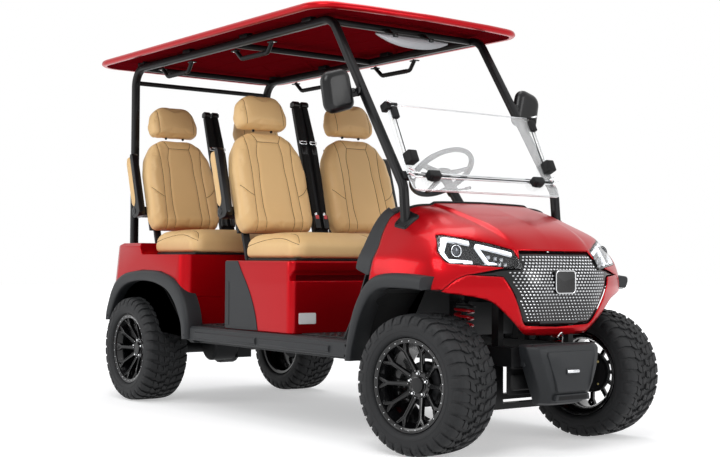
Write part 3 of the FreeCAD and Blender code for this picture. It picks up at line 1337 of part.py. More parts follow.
def bumper():
    """The moulded front bumper box hung below the chin."""
    stations = ((236.0, 122.0, -305.0), (262.0, 145.0, -348.0), (330.0, 178.0, -357.0),
                (400.0, 198.0, -348.0),
                (440.0, 208.0, -330.0), (455.0, 204.0, -306.0))
    rings = []
    for z, half, front in stations:
        rear = RAIL_FRONT - RUNNING_GAP
        rings.append([point(-half, front + 40.0, z), point(-half + 14.0, front + 14.0, z),
                      point(-half + 45.0, front, z), point(half - 45.0, front, z),
                      point(half - 14.0, front + 14.0, z), point(half, front + 40.0, z),
                      point(half, rear, z), point(-half, rear, z)])
    return stacked(rings)


def tail():
    """Rear valance below the body and the two tail lamps on it."""
    rear = REAR_BODY_REAR + RUNNING_GAP
    outline = [(rear, 640.0), (rear + 40.0, 625.0), (rear + 62.0, 560.0), (rear + 64.0, 490.0),
               (rear + 50.0, 455.0), (rear, 450.0)]
    keep("bumpers", bumper(), side_prism(outline, (-460.0, 460.0)))
    lamp_outline = arc_corners([(345.0, 655.0), (462.0, 655.0), (462.0, 720.0), (345.0, 720.0)],
                               [12.0, 12.0, 12.0, 12.0], 2)
    body_face = REAR_BODY_REAR + (2790.0 - REAR_BODY_REAR) * (720.0 - 640.0) / 160.0
    lamp = stepped(lamp_outline, ((body_face - 12.0, 0.0), (REAR_BODY_REAR + 14.0, 0.0),
                                  (REAR_BODY_REAR + 22.0, 8.0)), front_place)
    body = rear_form(0.0)
    body.translate(point(0, RUNNING_GAP, 0))
    return both_sides(biggest(lamp.cut(body)))


def write_parts():
    """Build every sub-part and write each to its own file, centred on the origin."""
    wheels()
    chassis()
    suspension()
    batteries()
    floor()
    sills()
    side_trims, headlamps = front_body()
    flares()
    side_trims += seat_box()
    keep("side_trims", *side_trims)
    rear_body()
    seats()
    roof_frame()
    roof()
    windshield()
    mirrors()
    dashboard()
    steering()
    keep("lamps", *headlamps, *tail())
    os.makedirs("parts", exist_ok=True)
    for name, solids in PARTS.items():
        shape = solids[0] if len(solids) == 1 else Part.makeCompound(solids)
        shape.translate(point(0, ORIGIN_SHIFT, 0))
        if not shape.isValid():
            print("not valid:", name)
        shape.exportStep("parts/" + name + ".step")
        size = [round(v) for v in (shape.BoundBox.XLength, shape.BoundBox.YLength, shape.BoundBox.ZLength)]
        print(name, len(solids), size)


write_parts()
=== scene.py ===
"""Looks of an open four-seat golf cart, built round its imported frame.

Sizes are millimetres from the ground point under the front axle, as in the part's source: +Z is
up, the cart drives towards -Y and +X is its left side. Every mesh is put into the shared frame,
in metres, when its object is made.
"""

import json
import logging
import math
from dataclasses import dataclass, field
from enum import Enum
from typing import Callable, Iterable, Optional, Sequence

import bmesh
import bpy
import numpy as np
from mathutils import Matrix, Vector
from mathutils.bvhtree import BVHTree
from mathutils.geometry import delaunay_2d_cdt

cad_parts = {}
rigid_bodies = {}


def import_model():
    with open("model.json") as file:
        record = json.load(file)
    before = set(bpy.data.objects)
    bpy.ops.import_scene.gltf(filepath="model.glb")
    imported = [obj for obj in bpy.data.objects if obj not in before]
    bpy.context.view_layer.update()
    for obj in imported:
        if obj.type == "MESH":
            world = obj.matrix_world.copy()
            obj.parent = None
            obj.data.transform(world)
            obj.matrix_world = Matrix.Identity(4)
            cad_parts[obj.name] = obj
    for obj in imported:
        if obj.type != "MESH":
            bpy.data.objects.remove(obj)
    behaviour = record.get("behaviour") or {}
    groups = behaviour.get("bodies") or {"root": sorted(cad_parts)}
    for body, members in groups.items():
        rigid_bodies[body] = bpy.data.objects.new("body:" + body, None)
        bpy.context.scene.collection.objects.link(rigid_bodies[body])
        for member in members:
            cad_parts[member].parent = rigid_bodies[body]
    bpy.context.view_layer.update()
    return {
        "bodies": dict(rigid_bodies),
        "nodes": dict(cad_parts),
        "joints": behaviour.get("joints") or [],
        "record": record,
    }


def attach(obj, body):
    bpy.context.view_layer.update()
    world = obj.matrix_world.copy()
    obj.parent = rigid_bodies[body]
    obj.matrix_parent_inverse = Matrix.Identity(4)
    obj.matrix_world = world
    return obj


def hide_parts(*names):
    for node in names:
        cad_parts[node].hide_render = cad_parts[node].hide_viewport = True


LOG = logging.getLogger("golf_cart")
MM = 0.001
WHEELBASE = 2470.0
AXLE_TO_ORIGIN = -1286.5
SIDES = ((1.0, "left"), (-1.0, "right"))
ROWS = (("front", 0.0, 0.0), ("rear", 965.0, 30.0))
CLOTH_PRESSURE = 4.0
CLOTH_STEPS = 20
NEARLY_STRAIGHT = 1.55
CORD_RADIUS = 1.5
CORD_PROUD = 0.1
SEAT_X = 290.0
TAIL_LEAN = 62.0
LINER_REACH = 500.0
SHOULDER_LIMITS = ((380.0, 206.0), (440.0, 186.0), (528.0, 134.0), (560.0, 80.0))
SEAT_FOOT = (1395.0, 950.0)
RECLINE = 17.0

Pair = tuple[float, float]
Triple = tuple[float, float, float]
Faces = list[tuple[int, ...]]


# Small geometry tools


def smoothstep(low: float, high: float, value: np.ndarray) -> np.ndarray:
    """The curve 3t2 - 2t3 of the value between two limits, 0 below and 1 above them."""
    part = np.clip((value - low) / (high - low), 0.0, 1.0)
    return part * part * (3.0 - 2.0 * part)


def curve_through(points: Sequence[Sequence[float]], count: int,
                  closed: bool = False) -> np.ndarray:
    """Even samples of the Catmull-Rom curve through the points.

    Each span blends its two ends and their neighbours by the four cubic weights of the chord
    between neighbours; the samples are then respaced to equal lengths.

    Args:
        points: The points the curve passes through.
        count: How many samples to give back.
        closed: Whether the curve runs back to its first point.

    Returns:
        An array of count points.
    """
    pts = np.asarray(points, float)
    if closed:
        padded = np.vstack([pts[-1], pts, pts[0], pts[1]])
    else:
        padded = np.vstack([2 * pts[0] - pts[1], pts, 2 * pts[-1] - pts[-2]])
    spans = len(padded) - 3
    t = np.linspace(0.0, 1.0, 24, endpoint=False)[None, :, None]
    p0, p1, p2, p3 = (padded[i:i + spans, None, :] for i in range(4))
    dense = 0.5 * (2 * p1 + (p2 - p0) * t + (2 * p0 - 5 * p1 + 4 * p2 - p3) * t ** 2
                   + (3 * p1 - p0 - 3 * p2 + p3) * t ** 3)
    dense = dense.reshape(-1, pts.shape[1])
    dense = np.vstack([dense, pts[0] if closed else pts[-1]])
    return even(dense, count, closed)


def even(points: np.ndarray, count: int, closed: bool = False) -> np.ndarray:
    """The polyline's points respaced to equal lengths; a closed one leaves out its repeat."""
    pts = np.asarray(points, float)
    gone = np.concatenate([[0.0], np.cumsum(np.linalg.norm(np.diff(pts, axis=0), axis=1))])
    at = np.linspace(0.0, gone[-1], count, endpoint=not closed)
    return np.stack([np.interp(at, gone, pts[:, k]) for k in range(pts.shape[1])], axis=1)


def even_loop(outline: np.ndarray, count: int) -> np.ndarray:
    """A closed outline respaced evenly."""
    return even(np.vstack([outline, outline[:1]]), count, closed=True)


def corner_arc(before: np.ndarray, here: np.ndarray, after: np.ndarray, radius: float, chords: int,
               share: float) -> np.ndarray:
    """Points on the circle that touches both edges of a corner, or the corner itself if it is flat.

    The arc takes up no more than the given share of the shorter edge.
    """
    lengths = np.linalg.norm(before - here), np.linalg.norm(after - here)
    a, b = (before - here) / lengths[0], (after - here) / lengths[1]
    half = math.acos(float(np.clip(a @ b, -1.0, 1.0))) / 2.0
    if radius <= 0.0 or half > NEARLY_STRAIGHT:
        return here[None]
    reach = min(radius / math.tan(half), share * min(lengths))
    centre = here + (a + b) / np.linalg.norm(a + b) * reach / math.cos(half)
    start, stop = here + a * reach - centre, here + b * reach - centre
    sweep = math.pi - 2.0 * half
    part = np.linspace(0.0, 1.0, chords + 1)[:, None]
    return centre + (np.sin((1 - part) * sweep) * start + np.sin(part * sweep) * stop) / math.sin(sweep)


def rounded_outline(corners: Sequence[Pair], radii: Sequence[float] | float,
                    chords: int = 6) -> np.ndarray:
    """A closed outline whose corners are turned in arcs."""
    pts = np.asarray(corners, float)
    each = np.broadcast_to(np.asarray(radii, float), (len(pts),))
    arcs = [corner_arc(before, here, after, radius, chords, 0.49)
            for here, before, after, radius in zip(pts, np.roll(pts, 1, 0), np.roll(pts, -1, 0),
                                                   each)]
    return np.vstack(arcs)


def drawn_in(outline: np.ndarray, distance: float) -> np.ndarray:
    """A closed outline moved inwards: each point goes along the mean normal of its two edges."""
    pts = np.asarray(outline, float)
    edge = np.roll(pts, -1, 0) - pts
    length = np.maximum(np.linalg.norm(edge, axis=1), 1e-9)[:, None]
    normal = np.stack([-edge[:, 1], edge[:, 0]], 1) / length
    area = 0.5 * np.sum(pts[:, 0] * np.roll(pts[:, 1], -1) - np.roll(pts[:, 0], -1) * pts[:, 1])
    mean = normal + np.roll(normal, 1, 0)
    scale = 2.0 / np.maximum(np.sum(mean * mean, 1), 0.35)[:, None]
    return pts + mean * scale * distance * (1.0 if area > 0 else -1.0)


@dataclass
class Shape:
    """Points in millimetres with the faces through them and each face's finish number."""

    points: np.ndarray
    faces: Faces
    finish: np.ndarray

    @staticmethod
    def of(points: np.ndarray, faces: Faces, finish: int = 0) -> "Shape":
        """A shape of one finish."""
        return Shape(np.asarray(points, float).reshape(-1, 3), list(faces),
                     np.full(len(faces), finish))

    @staticmethod
    def joined(shapes: Iterable["Shape"]) -> "Shape":
        """Several shapes as one."""
        points, faces, finish, start = [], [], [], 0
        for shape in shapes:
            points.append(shape.points)
            faces.extend(tuple(i + start for i in face) for face in shape.faces)
            finish.append(shape.finish)
            start += len(shape.points)
        return Shape(np.vstack(points), faces, np.concatenate(finish))

    def finished(self, number: int) -> "Shape":
        """The same shape in another finish."""
        return Shape(self.points, self.faces, np.full(len(self.faces), number))

    def moved(self, x: float = 0.0, y: float = 0.0, z: float = 0.0) -> "Shape":
        """The shape shifted."""
        return Shape(self.points + np.array([x, y, z]), self.faces, self.finish)

    def turned(self, axis: str, degrees: float, about: Triple = (0.0, 0.0, 0.0)) -> "Shape":
        """The shape turned about an axis through a point."""
        turn = np.array(Matrix.Rotation(math.radians(degrees), 3, axis))
        return Shape((self.points - about) @ turn.T + about, self.faces, self.finish)

    def aimed(self, start: Triple, direction: Triple) -> "Shape":
        """The shape with its own +X along a direction and its origin at a place."""
        turn = np.array(Vector((1, 0, 0)).rotation_difference(Vector(direction)).to_matrix())
        return Shape(self.points @ turn.T + np.asarray(start), self.faces, self.finish)

    def mirrored(self) -> "Shape":
        """The shape on the other side of the cart, its faces still outwards."""
        return Shape(self.points * np.array([-1.0, 1.0, 1.0]), [face[::-1] for face in self.faces],
                     self.finish)

    def both(self) -> "Shape":
        """The shape and its mirror image."""
        return Shape.joined([self, self.mirrored()])

    def around(self, count: int, axis: str = "X", offset: float = 0.0) -> "Shape":
        """The shape repeated evenly about an axis through the origin."""
        return Shape.joined(self.turned(axis, offset + 360.0 * k / count) for k in range(count))


def grid_faces(rows: int, columns: int, close_rows: bool = False,
               close_columns: bool = False) -> Faces:
    """The four-cornered faces of a grid of points numbered row by row."""
    r = np.arange(rows if close_rows else rows - 1)
    c = np.arange(columns if close_columns else columns - 1)
    r0, c0 = (a.ravel() for a in np.meshgrid(r, c, indexing="ij"))
    r1 = (r0 + 1) % rows
    c1 = (c0 + 1) % columns
    quads = np.stack([r0 * columns + c0, r0 * columns + c1, r1 * columns + c1, r1 * columns + c0],
                     1)
    return [tuple(q) for q in quads.tolist()]


def surface(grid: np.ndarray, close_rows: bool = False, close_columns: bool = False,
            caps: bool = False) -> Shape:
    """The surface through a grid of points; caps shut the first and last row with one face each."""
    rows, columns = grid.shape[:2]
    faces = grid_faces(rows, columns, close_rows, close_columns)
    if caps:
        faces.append(tuple(range(columns))[::-1])
        faces.append(tuple(range((rows - 1) * columns, rows * columns)))
    return Shape.of(grid, faces)


def spun(across: np.ndarray, radius: np.ndarray, sides: int, phase: float = 0.0) -> np.ndarray:
    """The points of a profile turned to each of several angles about X."""
    angle = 2.0 * np.pi * (np.arange(sides) + phase) / sides
    return np.stack([np.broadcast_to(across[:, None], (len(across), sides)),
                     radius[:, None] * np.cos(angle), radius[:, None] * np.sin(angle)], -1)


def lathe(profile: Sequence[Pair], sides: int = 32, phase: float = 0.0) -> Shape:
    """A piece turned about X: each (across, radius) point sweeps a circle of that radius."""
    across, radius = np.asarray(profile, float).T
    radius = np.maximum(radius, 0.01)
    ends = radius[0] < 0.1 and radius[-1] < 0.1
    return surface(spun(across, radius, sides, phase), close_columns=True, caps=ends)


def ring(profile: Sequence[Pair], sides: int) -> Shape:
    """A closed (across, radius) profile swept once round the X axis."""
    return surface(spun(*np.asarray(profile, float).T, sides), close_rows=True, close_columns=True)


def swept(path: np.ndarray, section: np.ndarray, up: Triple = (1.0, 0.0, 0.0), closed: bool = False,
          scale: Optional[np.ndarray] = None) -> Shape:
    """A section carried along a path.

    At each path point the section's first coordinate lies along the up direction made square to
    the path's tangent, and its second along the cross product of the two.
    """
    path = np.asarray(path, float)
    if closed:
        tangent = np.roll(path, -1, 0) - np.roll(path, 1, 0)
    else:
        tangent = np.gradient(path, axis=0)
    tangent /= np.linalg.norm(tangent, axis=1)[:, None]
    first = np.asarray(up, float) - tangent * (tangent @ np.asarray(up, float))[:, None]
    first /= np.linalg.norm(first, axis=1)[:, None]
    second = np.cross(tangent, first)
    size = np.ones(len(path)) if scale is None else np.asarray(scale)
    sect = np.asarray(section, float)
    across = first[:, None] * sect[None, :, :1] + second[:, None] * sect[None, :, 1:]
    grid = path[:, None] + size[:, None, None] * across
    return surface(grid, close_rows=closed, close_columns=True, caps=not closed)


def circle(radius: float, sides: int = 16) -> np.ndarray:
    """A round section."""
    angle = 2.0 * np.pi * np.arange(sides) / sides
    return np.stack([radius * np.cos(angle), radius * np.sin(angle)], 1)


def box_section(width: float, depth: float, radius: float, chords: int = 3) -> np.ndarray:
    """A rectangular section with rounded corners."""
    w, d = width / 2.0, depth / 2.0
    return rounded_outline([(-w, -d), (w, -d), (w, d), (-w, d)], radius, chords)


def bent(corners: Sequence[Triple], radius: float, chords: int = 8) -> np.ndarray:
    """A path in space whose corners are turned in arcs."""
    pts = [np.asarray(p, float) for p in corners]
    arcs = [corner_arc(*three, radius, chords, math.inf) for three in zip(pts, pts[1:], pts[2:])]
    return np.vstack([pts[0][None], *arcs, pts[-1][None]])


def layered(outline: np.ndarray, levels: Sequence[Pair],
            place: Callable[[np.ndarray, float], np.ndarray]) -> Shape:
    """A closed form: its outline drawn in by a given amount at each (height, inset) level."""
    rings = [place(drawn_in(outline, inset) if inset else np.asarray(outline, float), height)
             for height, inset in levels]
    return surface(np.stack(rings), close_columns=True, caps=True)


def edge_levels(low: float, high: float, radius: float, steps: int = 3) -> list[Pair]:
    """Levels of a slab whose two rims are rounded by quarter circles."""
    angle = np.linspace(0.0, np.pi / 2.0, steps + 1)
    lower = [(low + radius * (1 - math.sin(a)), radius * (1 - math.cos(a))) for a in angle[::-1]]
    upper = [(high - radius * (1 - math.sin(a)), radius * (1 - math.cos(a))) for a in angle]
    return lower + upper


def plan(points: np.ndarray, height: float) -> np.ndarray:
    """An (x, y) outline laid at a height z."""
    return np.column_stack([points, np.full(len(points), height)])


def front_view(points: np.ndarray, depth: float) -> np.ndarray:
    """An (x, z) outline stood at a depth y."""
    return np.column_stack([points[:, 0], np.full(len(points), depth), points[:, 1]])


def side_view(points: np.ndarray, across: float) -> np.ndarray:
    """A (y, z) outline stood at a place x across the cart."""
    return np.column_stack([np.full(len(points), across), points])


def block(low: Triple, high: Triple, radius: float = 3.0, chords: int = 2) -> Shape:
    """A box with all its edges rounded."""
    (x0, y0, z0), (x1, y1, z1) = low, high
    outline = rounded_outline([(x0, y0), (x1, y0), (x1, y1), (x0, y1)], radius * 1.2, chords)
    return layered(outline, edge_levels(z0, z1, radius, chords), plan)


def bolt(place: Triple, axis: Triple, size: float = 8.0) -> Shape:
    """A bolt head on its washer: a disc, a six-sided prism and a shallow chamfer on top."""
    washer = lathe([(0.0, 0.0), (0.0, size * 1.15), (1.2, size * 1.1), (1.3, 0.0)], 16)
    head = lathe([(1.0, 0.0), (1.0, size * 0.8), (size * 0.5, size * 0.8),
                  (size * 0.62, size * 0.62),
                  (size * 0.62, 0.0)], 6)
    return Shape.joined([washer, head]).aimed(place, axis)


def stud(place: Triple, axis: Triple, radius: float, height: float, sides: int = 10) -> Shape:
    """A domed stud: three rings of a quarter ellipse."""
    rows = [(0.0, radius), (height * 0.6, radius * 0.8), (height, 0.3 * radius), (height, 0.0)]
    return lathe([(-0.5, 0.0), (-0.5, radius)] + rows, sides).aimed(place, axis)


# Finishes


class Pattern(Enum):
    """What relief a finish has besides its fine grain."""

    PLAIN = "plain"
    LEATHER = "leather"
    WEAVE = "weave"
    GLASS = "glass"


class Groups:
    """The shader node groups that the finishes share, each built once."""

    made: dict[str, bpy.types.NodeTree] = {}

    @classmethod
    def new(cls, name: str, inputs: Sequence[tuple[str, str, object]],
            outputs: Sequence[tuple[str, str]]) -> bpy.types.NodeTree:
        """An empty group with its sockets."""
        tree = bpy.data.node_groups.new(name, "ShaderNodeTree")
        for label, kind, value in inputs:
            socket = tree.interface.new_socket(label, in_out="INPUT", socket_type=kind)
            if value is not None:
                socket.default_value = value
        for label, kind in outputs:
            tree.interface.new_socket(label, in_out="OUTPUT", socket_type=kind)
        cls.made[name] = tree
        return tree

    @classmethod
    def surface(cls) -> bpy.types.NodeTree:
        """Mottle, wear and fine grain of any surface.

        A broad noise mixes the colour with a second one and shifts the roughness; a fine noise is
        the height of the grain.
        """
        if "Surface character" in cls.made:
            return cls.made["Surface character"]
        tree = cls.new("Surface character",
                       [("Vector", "NodeSocketVector", None), ("Colour", "NodeSocketColor", None),
                        ("Second Colour", "NodeSocketColor", None),
                        ("Mottle", "NodeSocketFloat", 0.3),
                        ("Scale", "NodeSocketFloat", 6.0), ("Roughness", "NodeSocketFloat", 0.5),
                        ("Spread", "NodeSocketFloat", 0.1),
                        ("Grain Scale", "NodeSocketFloat", 400.0)],
                       [("Colour", "NodeSocketColor"), ("Roughness", "NodeSocketFloat"),
                        ("Height", "NodeSocketFloat")])
        nodes, links = tree.nodes, tree.links
        enter = nodes.new("NodeGroupInput")
        leave = nodes.new("NodeGroupOutput")
        broad = nodes.new("ShaderNodeTexNoise")
        broad.inputs["Detail"].default_value = 5.0
        fine = nodes.new("ShaderNodeTexNoise")
        fine.inputs["Detail"].default_value = 2.0
        amount = nodes.new("ShaderNodeMath")
        amount.operation = "MULTIPLY"
        mix = nodes.new("ShaderNodeMix")
        mix.data_type = "RGBA"
        centred = nodes.new("ShaderNodeMath")
        centred.operation = "SUBTRACT"
        centred.inputs[1].default_value = 0.5
        shift = nodes.new("ShaderNodeMath")
        shift.operation = "MULTIPLY_ADD"
        for source, target in ((enter.outputs["Vector"], broad.inputs["Vector"]),
                               (enter.outputs["Scale"], broad.inputs["Scale"]),
                               (enter.outputs["Vector"], fine.inputs["Vector"]),
                               (enter.outputs["Grain Scale"], fine.inputs["Scale"]),
                               (broad.outputs[0], amount.inputs[0]),
                               (enter.outputs["Mottle"], amount.inputs[1]),
                               (amount.outputs[0], mix.inputs[0]),
                               (enter.outputs["Colour"], mix.inputs[6]),
                               (enter.outputs["Second Colour"], mix.inputs[7]),
                               (mix.outputs[2], leave.inputs["Colour"]),
                               (broad.outputs[0], centred.inputs[0]),
                               (centred.outputs[0], shift.inputs[0]),
                               (enter.outputs["Spread"], shift.inputs[1]),
                               (enter.outputs["Roughness"], shift.inputs[2]),
                               (shift.outputs[0], leave.inputs["Roughness"]),
                               (fine.outputs[0], leave.inputs["Height"])):
            links.new(source, target)
        return tree

    @classmethod
    def leather(cls) -> bpy.types.NodeTree:
        """Pebbled hide: the distance to the nearest cell point, softened by a slow noise."""
        if "Leather relief" in cls.made:
            return cls.made["Leather relief"]
        tree = cls.new("Leather relief", [("Vector", "NodeSocketVector", None),
                                          ("Cells", "NodeSocketFloat", 420.0)],
                       [("Height", "NodeSocketFloat")])
        nodes, links = tree.nodes, tree.links
        enter = nodes.new("NodeGroupInput")
        leave = nodes.new("NodeGroupOutput")
        cells = nodes.new("ShaderNodeTexVoronoi")
        folds = nodes.new("ShaderNodeTexNoise")
        folds.inputs["Scale"].default_value = 28.0
        folds.inputs["Detail"].default_value = 3.0
        add = nodes.new("ShaderNodeMath")
        add.operation = "MULTIPLY_ADD"
        add.inputs[1].default_value = 1.6
        links.new(enter.outputs["Vector"], cells.inputs["Vector"])
        links.new(enter.outputs["Cells"], cells.inputs["Scale"])
        links.new(enter.outputs["Vector"], folds.inputs["Vector"])
        links.new(folds.outputs[0], add.inputs[0])
        links.new(cells.outputs["Distance"], add.inputs[2])
        links.new(add.outputs[0], leave.inputs["Height"])
        return tree

    @classmethod
    def weave(cls) -> bpy.types.NodeTree:
        """Webbing: two crossed sets of fine bands, added together."""
        if "Webbing relief" in cls.made:
            return cls.made["Webbing relief"]
        tree = cls.new("Webbing relief", [("Vector", "NodeSocketVector", None),
                                          ("Threads", "NodeSocketFloat", 260.0)],
                       [("Height", "NodeSocketFloat")])
        nodes, links = tree.nodes, tree.links
        enter = nodes.new("NodeGroupInput")
        leave = nodes.new("NodeGroupOutput")
        total = nodes.new("ShaderNodeMath")
        total.operation = "ADD"
        for index, direction in enumerate(("X", "Z")):
            bands = nodes.new("ShaderNodeTexWave")
            bands.bands_direction = direction
            links.new(enter.outputs["Vector"], bands.inputs["Vector"])
            links.new(enter.outputs["Threads"], bands.inputs["Scale"])
            links.new(bands.outputs["Fac"], total.inputs[index])
        links.new(total.outputs[0], leave.inputs["Height"])
        return tree


@dataclass(frozen=True)
class Finish:
    """One surface finish and how its material is built."""

    name: str
    colour: Triple
    second: Triple
    roughness: float = 0.5
    metallic: float = 0.0
    coat: float = 0.0
    coat_roughness: float = 0.04
    mottle: float = 0.35
    scale: float = 5.0
    spread: float = 0.12
    grain: float = 0.15
    grain_scale: float = 500.0
    pattern: Pattern = Pattern.PLAIN
    glow: float = 0.0
    ior: float = 1.5
    specular: float = 0.5
    clarity: float = 1.0

    def material(self) -> bpy.types.Material:
        """The finish's material, built the first time it is asked for."""
        found = bpy.data.materials.get(self.name)
        if found:
            return found
        made = bpy.data.materials.new(self.name)
        made.use_nodes = True
        nodes, links = made.node_tree.nodes, made.node_tree.links
        shader = nodes["Principled BSDF"]
        place = nodes.new("ShaderNodeTexCoord")
        group = nodes.new("ShaderNodeGroup")
        group.node_tree = Groups.surface()
        group.inputs["Colour"].default_value = (*self.colour, 1.0)
        group.inputs["Second Colour"].default_value = (*self.second, 1.0)
        for label, value in (("Mottle", self.mottle), ("Scale", self.scale),
                             ("Roughness", self.roughness),
                             ("Spread", self.spread), ("Grain Scale", self.grain_scale)):
            group.inputs[label].default_value = value
        links.new(place.outputs["Object"], group.inputs["Vector"])
        links.new(group.outputs["Colour"], shader.inputs["Base Color"])
        links.new(group.outputs["Roughness"], shader.inputs["Roughness"])
        shader.inputs["Metallic"].default_value = self.metallic
        shader.inputs["IOR"].default_value = self.ior
        shader.inputs["Specular IOR Level"].default_value = self.specular
        shader.inputs["Coat Weight"].default_value = self.coat
        shader.inputs["Coat Roughness"].default_value = self.coat_roughness
        height = group.outputs["Height"]
        if self.pattern in (Pattern.LEATHER, Pattern.WEAVE):
            relief = nodes.new("ShaderNodeGroup")
            relief.node_tree = Groups.leather() if self.pattern is Pattern.LEATHER else Groups.weave()
            links.new(place.outputs["Object"], relief.inputs["Vector"])
            height = relief.outputs["Height"]
        bump = nodes.new("ShaderNodeBump")
        bump.inputs["Strength"].default_value = self.grain
        bump.inputs["Distance"].default_value = 0.0006
        links.new(height, bump.inputs["Height"])
        links.new(bump.outputs["Normal"], shader.inputs["Normal"])
        if self.pattern is Pattern.GLASS:
            self.clear(made, shader)
        if self.glow > 0.0:
            links.new(group.outputs["Colour"], shader.inputs["Emission Color"])
            shader.inputs["Emission Strength"].default_value = self.glow
        return made

    def clear(self, made: bpy.types.Material, shader: bpy.types.ShaderNode) -> None:
        """Turn the shader to clear glass that lets light through to what stands behind it."""
        nodes, links = made.node_tree.nodes, made.node_tree.links
        shader.inputs["Transmission Weight"].default_value = self.clarity
        path = nodes.new("ShaderNodeLightPath")
        through = nodes.new("ShaderNodeBsdfTransparent")
        through.inputs[0].default_value = (0.93, 0.94, 0.95, 1.0)
        mix = nodes.new("ShaderNodeMixShader")
        links.new(path.outputs["Is Shadow Ray"], mix.inputs[0])
        links.new(shader.outputs[0], mix.inputs[1])
        links.new(through.outputs[0], mix.inputs[2])
        links.new(mix.outputs[0], nodes["Material Output"].inputs["Surface"])


